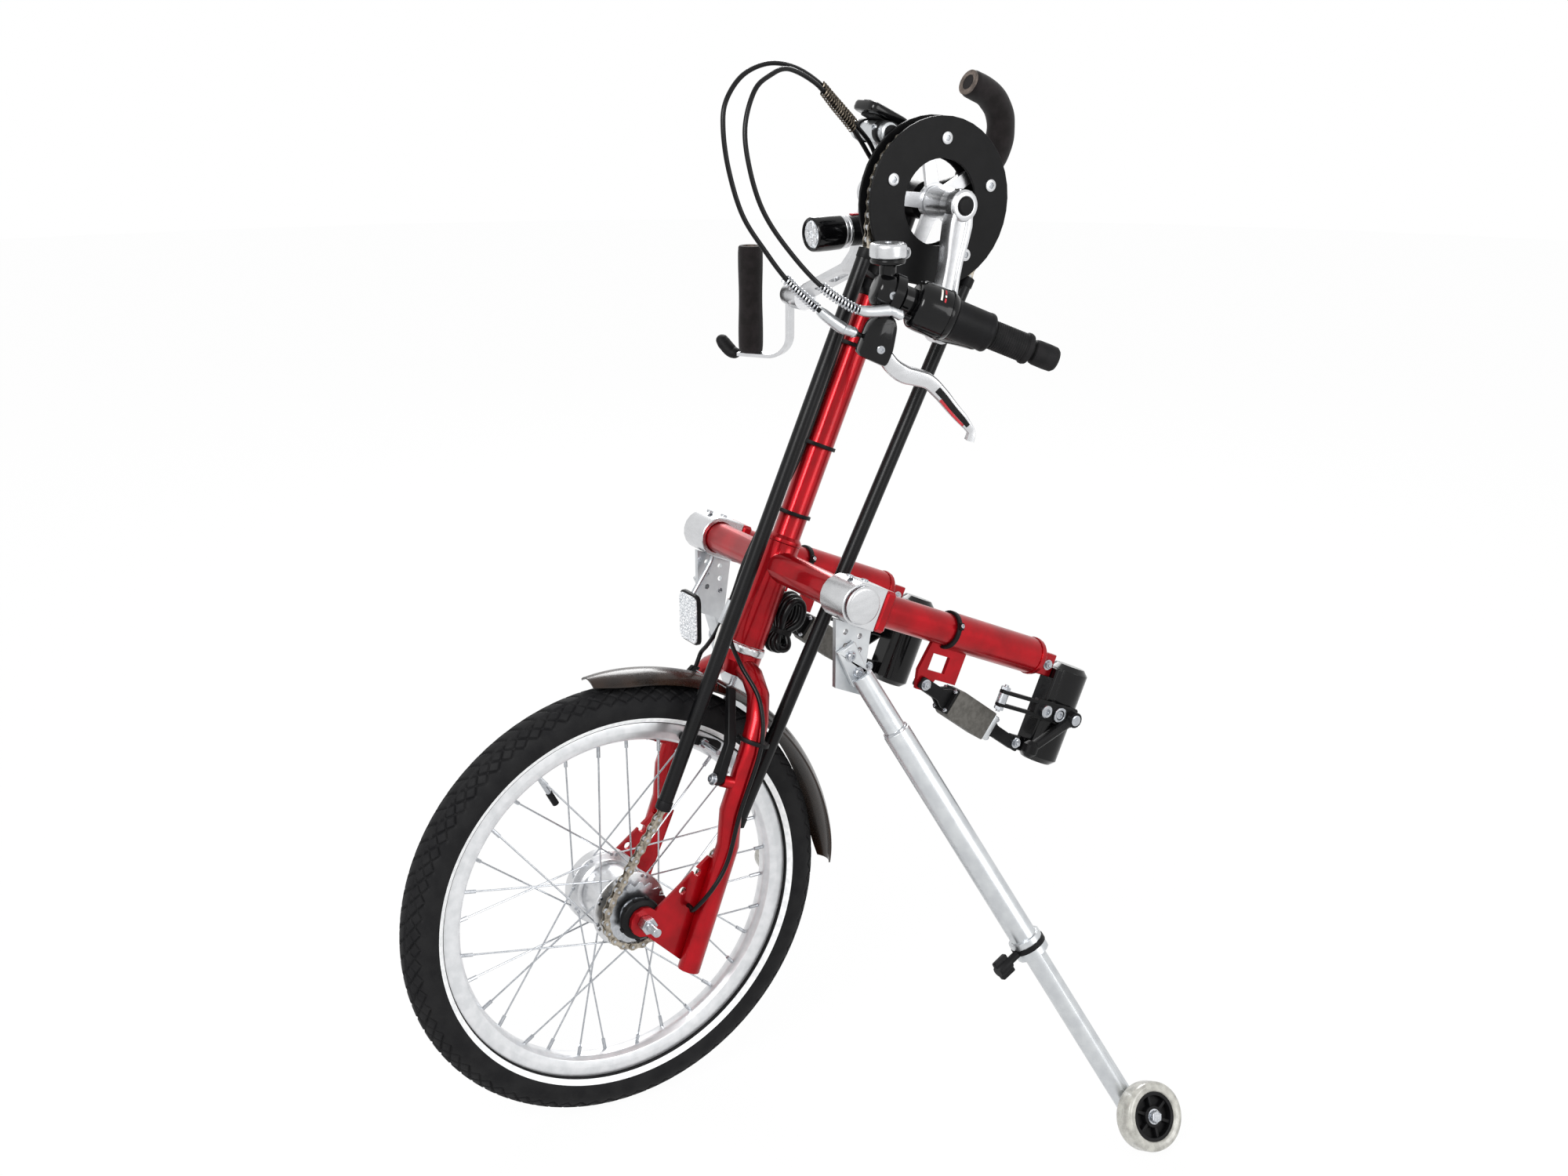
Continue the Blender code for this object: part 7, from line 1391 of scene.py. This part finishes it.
# Guards, brake and small fittings
class HANDBIKE_OT_mudguard(bpy.types.Operator):
    """Bend the smoked mudguard round the wheel, and make the reflector and the hank of spare cable"""
    bl_idname = "handbike.mudguard"
    bl_label = "Mudguard, reflector and cable hank"

    def execute(self, context):
        share = np.linspace(0, 1, 81)[:, None]
        turn = np.radians(96 - 100 * share)
        across = np.linspace(-1, 1, 19)[None]
        taper = 1 - 0.45 * np.clip(1 - share * 9, 0, None) ** 2 - 0.5 * np.clip(share * 9 - 8, 0, None) ** 2
        radius = 0.266 + 0.012 * share ** 2 - 0.010 * across ** 2 * taper
        wide = across * 0.026 * taper
        outer, inner = on_wheel(radius, turn, wide), on_wheel(radius - 0.002, turn, wide * 0.97)
        skin = Skin().add(np.concatenate([outer, inner[:, ::-1]], 1), 0)
        top = steered(0, 0, -0.1306)
        skin.many(rods([top], [top - UPWARD * 0.0335], 0.004, 16), 1)
        skin.piece("mudguard_formed", "steer", ["smoked_acrylic", ZINC], ["mudguard"], "smoked_plastic",
            40)

        centre = np.array([-0.136, WHEEL_CENTRE[1] + 0.170, 0.510])
        shield = Skin()
        outline = eased(mm((22, -30.5), (22, 30.5), (-22, 30.5), (-22, -30.5)), 0.01, 5, closed=True)
        shield.add(flat(outline, -0.0038, 0.0012, 0.0008, centre, AHEAD, ACROSS), 1)
        shield.add(flat(outline * 0.93, 0.0010, 0.0030, 0.0006, centre, AHEAD, ACROSS), 0)
        x, y = np.meshgrid(np.linspace(-0.0178, 0.0178, 11), np.linspace(-0.0262, 0.0262, 15))
        keep = (np.abs(x) / 0.0205) ** 4 + (np.abs(y) / 0.029) ** 4 < 1.0
        ways = np.stack([x[keep], y[keep]], 1)
        spots = centre + ways[:, :1] * ACROSS + ways[:, 1:] * Z + AHEAD * 0.0029
        tip = spots + AHEAD * 0.0013
        a = np.radians([30, 90, 150, 210, 270, 330])
        ring = 0.0019 * (np.cos(a)[:, None] * ACROSS + np.sin(a)[:, None] * Z)
        cells = np.stack([spots[:, None] + ring, tip[:, None] + ring * 0.15], 1)
        shield.many(cells, 0)
        seat = steered(-0.136, 0.0055, -0.0236)
        stem = curve_through([seat, seat - UPWARD * 0.0105, centre + Z * 0.0244 - AHEAD * 0.003], 24)
        shield.add(piped(stem, 0.0035, 14), 2)
        shield.piece("reflector_moulded", "frame", ["prismatic_acrylic", NYLON, ZINC], ["reflector"],
            "clear_reflector")

        middle = steered(0, 0.0378, -0.0596)
        t = np.linspace(0, TURN, 96, endpoint=False)[:, None]
        hank, section = Skin(), circle(context.scene.handbike_sizes.hank_radius, 14)
        for k, size in enumerate((0.90, 1.0, 0.96, 0.88)):
            rise = np.sign(np.sin(t)) * np.abs(np.sin(t)) ** 0.8 * 0.0320 * size
            pinch = 1 - 0.62 * np.exp(-((rise + 0.0100) / 0.0105) ** 2)
            fall = np.sign(np.cos(t)) * np.abs(np.cos(t)) ** 0.8 * 0.0138 * size
            path = middle + (ACROSS * (-0.0126 + 0.0084 * k) + BACK * fall) * pinch + UPWARD * rise
            hank.add(swept(section, path, ACROSS, loop=True), 0, loop=True)
        hank.add(flat(oblong(0.0215, 0.0215, 0.008), -0.0132, -0.0068, 0.0012, middle, UPWARD, ACROSS), 1)
        hank.piece("cable_hank_coiled", "frame", [PVC, RUBBER], ["cable_hank"], "rubber")
        return {"FINISHED"}


class HANDBIKE_OT_rim_brake(bpy.types.Operator):
    """Finish the rim brake's arms, with pads, studs, bolts, the link wire and its boot"""
    bl_idname = "handbike.rim_brake"
    bl_label = "Rim brake"

    def execute(self, context):
        skin = Skin()
        for side, name in ((1, "left"), (-1, "right")):
            refined(f"brake_arm_{name}", "black_anodised_aluminium", 0.0012)
            out = ACROSS * side
            face = steered(side * 0.0762, -0.0324, -0.2346)
            skin.turn(mm((0, -0.3), (6.6, -0.3), (7, 1), (6.6, 2.2), (0, 2.4)), (face, -BACK), 28, 0)
            skin.add(bolt_head(face - BACK * 0.0018, -BACK, 0.0046, 0.0036), 0)
            pad = steered(side * 0.0195, -0.0273, -0.2090)
            skin.add(flat(oblong(0.052, 0.0095, 0.0035), -0.0052, 0.0040, 0.0012, pad, out, BACK), 1)
            skin.many(rods([pad + out * 0.0036], [pad + out * 0.0400], 0.0030, 14), 0)
            skin.add(hex_nut(pad + out * 0.0060, out, 0.0056, 0.0042), 0)
        start, end = steered(-0.037, -0.0273, -0.1430), steered(0.043, -0.0273, -0.1430)
        skin.many(rods([start], [end], 0.0009, 8), 0)
        boot = np.linspace(0, 1, 25)
        ribs = 0.0030 + 0.0008 * np.abs(np.sin(boot * np.pi * 6)) * (boot > 0.05) * (boot < 0.95)
        skin.turn(np.concatenate([[(0, 0.02)], np.stack([ribs, 0.02 + boot * 0.026], 1), [(0, 0.046)]]),
            (start, unit(end - start)), 16, 1)
        skin.piece("rim_brake_fittings", "steer", [ZINC, RUBBER], slot="steel")
        refined("wheel_axle", ZINC, 0.0004)
        joint = Skin()
        barrel = mm((11.2, 53.2), (20.5, 53.2), (23.6, 54.4), (24, 58), (22.6, 61.2), (18, 63.2),
            (11.2, 63.6))
        joint.turn(barrel, AXLE, 48, 0, 0.0008, 3, closed=True)
        for turn in np.radians([70, 105, 140, 200, 260, 320]):
            way = np.array([0, np.cos(turn), np.sin(turn)])
            joint.add(flat(oblong(0.005, 0.0042, 0.0008), -0.0008, 0.0016, 0.0004,
                WHEEL_CENTRE + ACROSS * 0.0578 + way * 0.0238, way, ACROSS), 0)
        joint.piece("shift_joint_moulded", "steer", [NYLON], slot="black_plastic")
        return {"FINISHED"}


class HANDBIKE_OT_guide_tubes(bpy.types.Operator):
    """Draw the two chain tubes, each with a moulded cuff at its ends"""
    bl_idname = "handbike.guide_tubes"
    bl_label = "Chain tubes"

    def execute(self, context):
        for name, line in (("front", FRONT_TUBE), ("rear", REAR_TUBE)):
            top, low = steered(CHAIN_X, *line[0]), steered(CHAIN_X, *line[1])
            way, length = unit(low - top), np.linalg.norm(low - top)
            outer = context.scene.handbike_sizes.tube_radius
            wall = [(outer - 0.0014, 0.0004), (outer - 0.0008, 0), (outer, 0.0006),
                (outer, length - 0.0006), (outer - 0.0008, length), (outer - 0.0014, length - 0.0004)]
            skin = Skin().turn(wall, (top, way), 32, 0, closed=True)
            for at in (0.006, length - 0.006):
                skin.add(band(top + way * at, way, outer, 0.0100, 0.0008), 1)
            skin.piece(f"chain_tube_{name}_drawn", "steer", [PVC, NYLON], [f"chain_tube_{name}"],
                "black_plastic")
        return {"FINISHED"}


class HANDBIKE_PT_panel(bpy.types.Panel):
    """Lists the steps that dress the handbike"""
    bl_idname = "HANDBIKE_PT_panel"
    bl_label = "Handbike"
    bl_space_type = "VIEW_3D"
    bl_region_type = "UI"
    bl_category = "Handbike"

    def draw(self, context):
        looks = context.scene.handbike_looks
        for name in HandbikeLooks.__annotations__:
            self.layout.prop(looks, name)
        for name in HandbikeSizes.__annotations__:
            self.layout.prop(context.scene.handbike_sizes, name)
        for step in STEPS:
            self.layout.operator(step.bl_idname)


STEPS = [each for key, each in list(globals().items()) if key.startswith("HANDBIKE_OT_")]


def register():
    """Registers the properties, the operators and the panel."""
    bpy.utils.register_class(HandbikeLooks)
    bpy.utils.register_class(HandbikeSizes)
    bpy.types.Scene.handbike_looks = bpy.props.PointerProperty(type=HandbikeLooks)
    bpy.types.Scene.handbike_sizes = bpy.props.PointerProperty(type=HandbikeSizes)
    for each in (*STEPS, HANDBIKE_PT_panel):
        bpy.utils.register_class(each)


def unregister():
    """Takes the panel, the operators and the properties away again."""
    for each in reversed((*STEPS, HANDBIKE_PT_panel)):
        bpy.utils.unregister_class(each)
    del bpy.types.Scene.handbike_sizes
    del bpy.types.Scene.handbike_looks
    bpy.utils.unregister_class(HandbikeSizes)
    bpy.utils.unregister_class(HandbikeLooks)


def main():
    register()
    make_finishes(bpy.context.scene.handbike_looks)
    for step in STEPS:
        family, name = step.bl_idname.split(".")
        getattr(getattr(bpy.ops, family), name)()
    boxes = {"cad": [list(map(float, corner)) for corner in CAD_BOX],
             "visual": [list(map(float, corner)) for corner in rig.bounds()]}
    with open("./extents.json", "w") as out:
        json.dump(boxes, out)


if __name__ == "__main__":
    main()
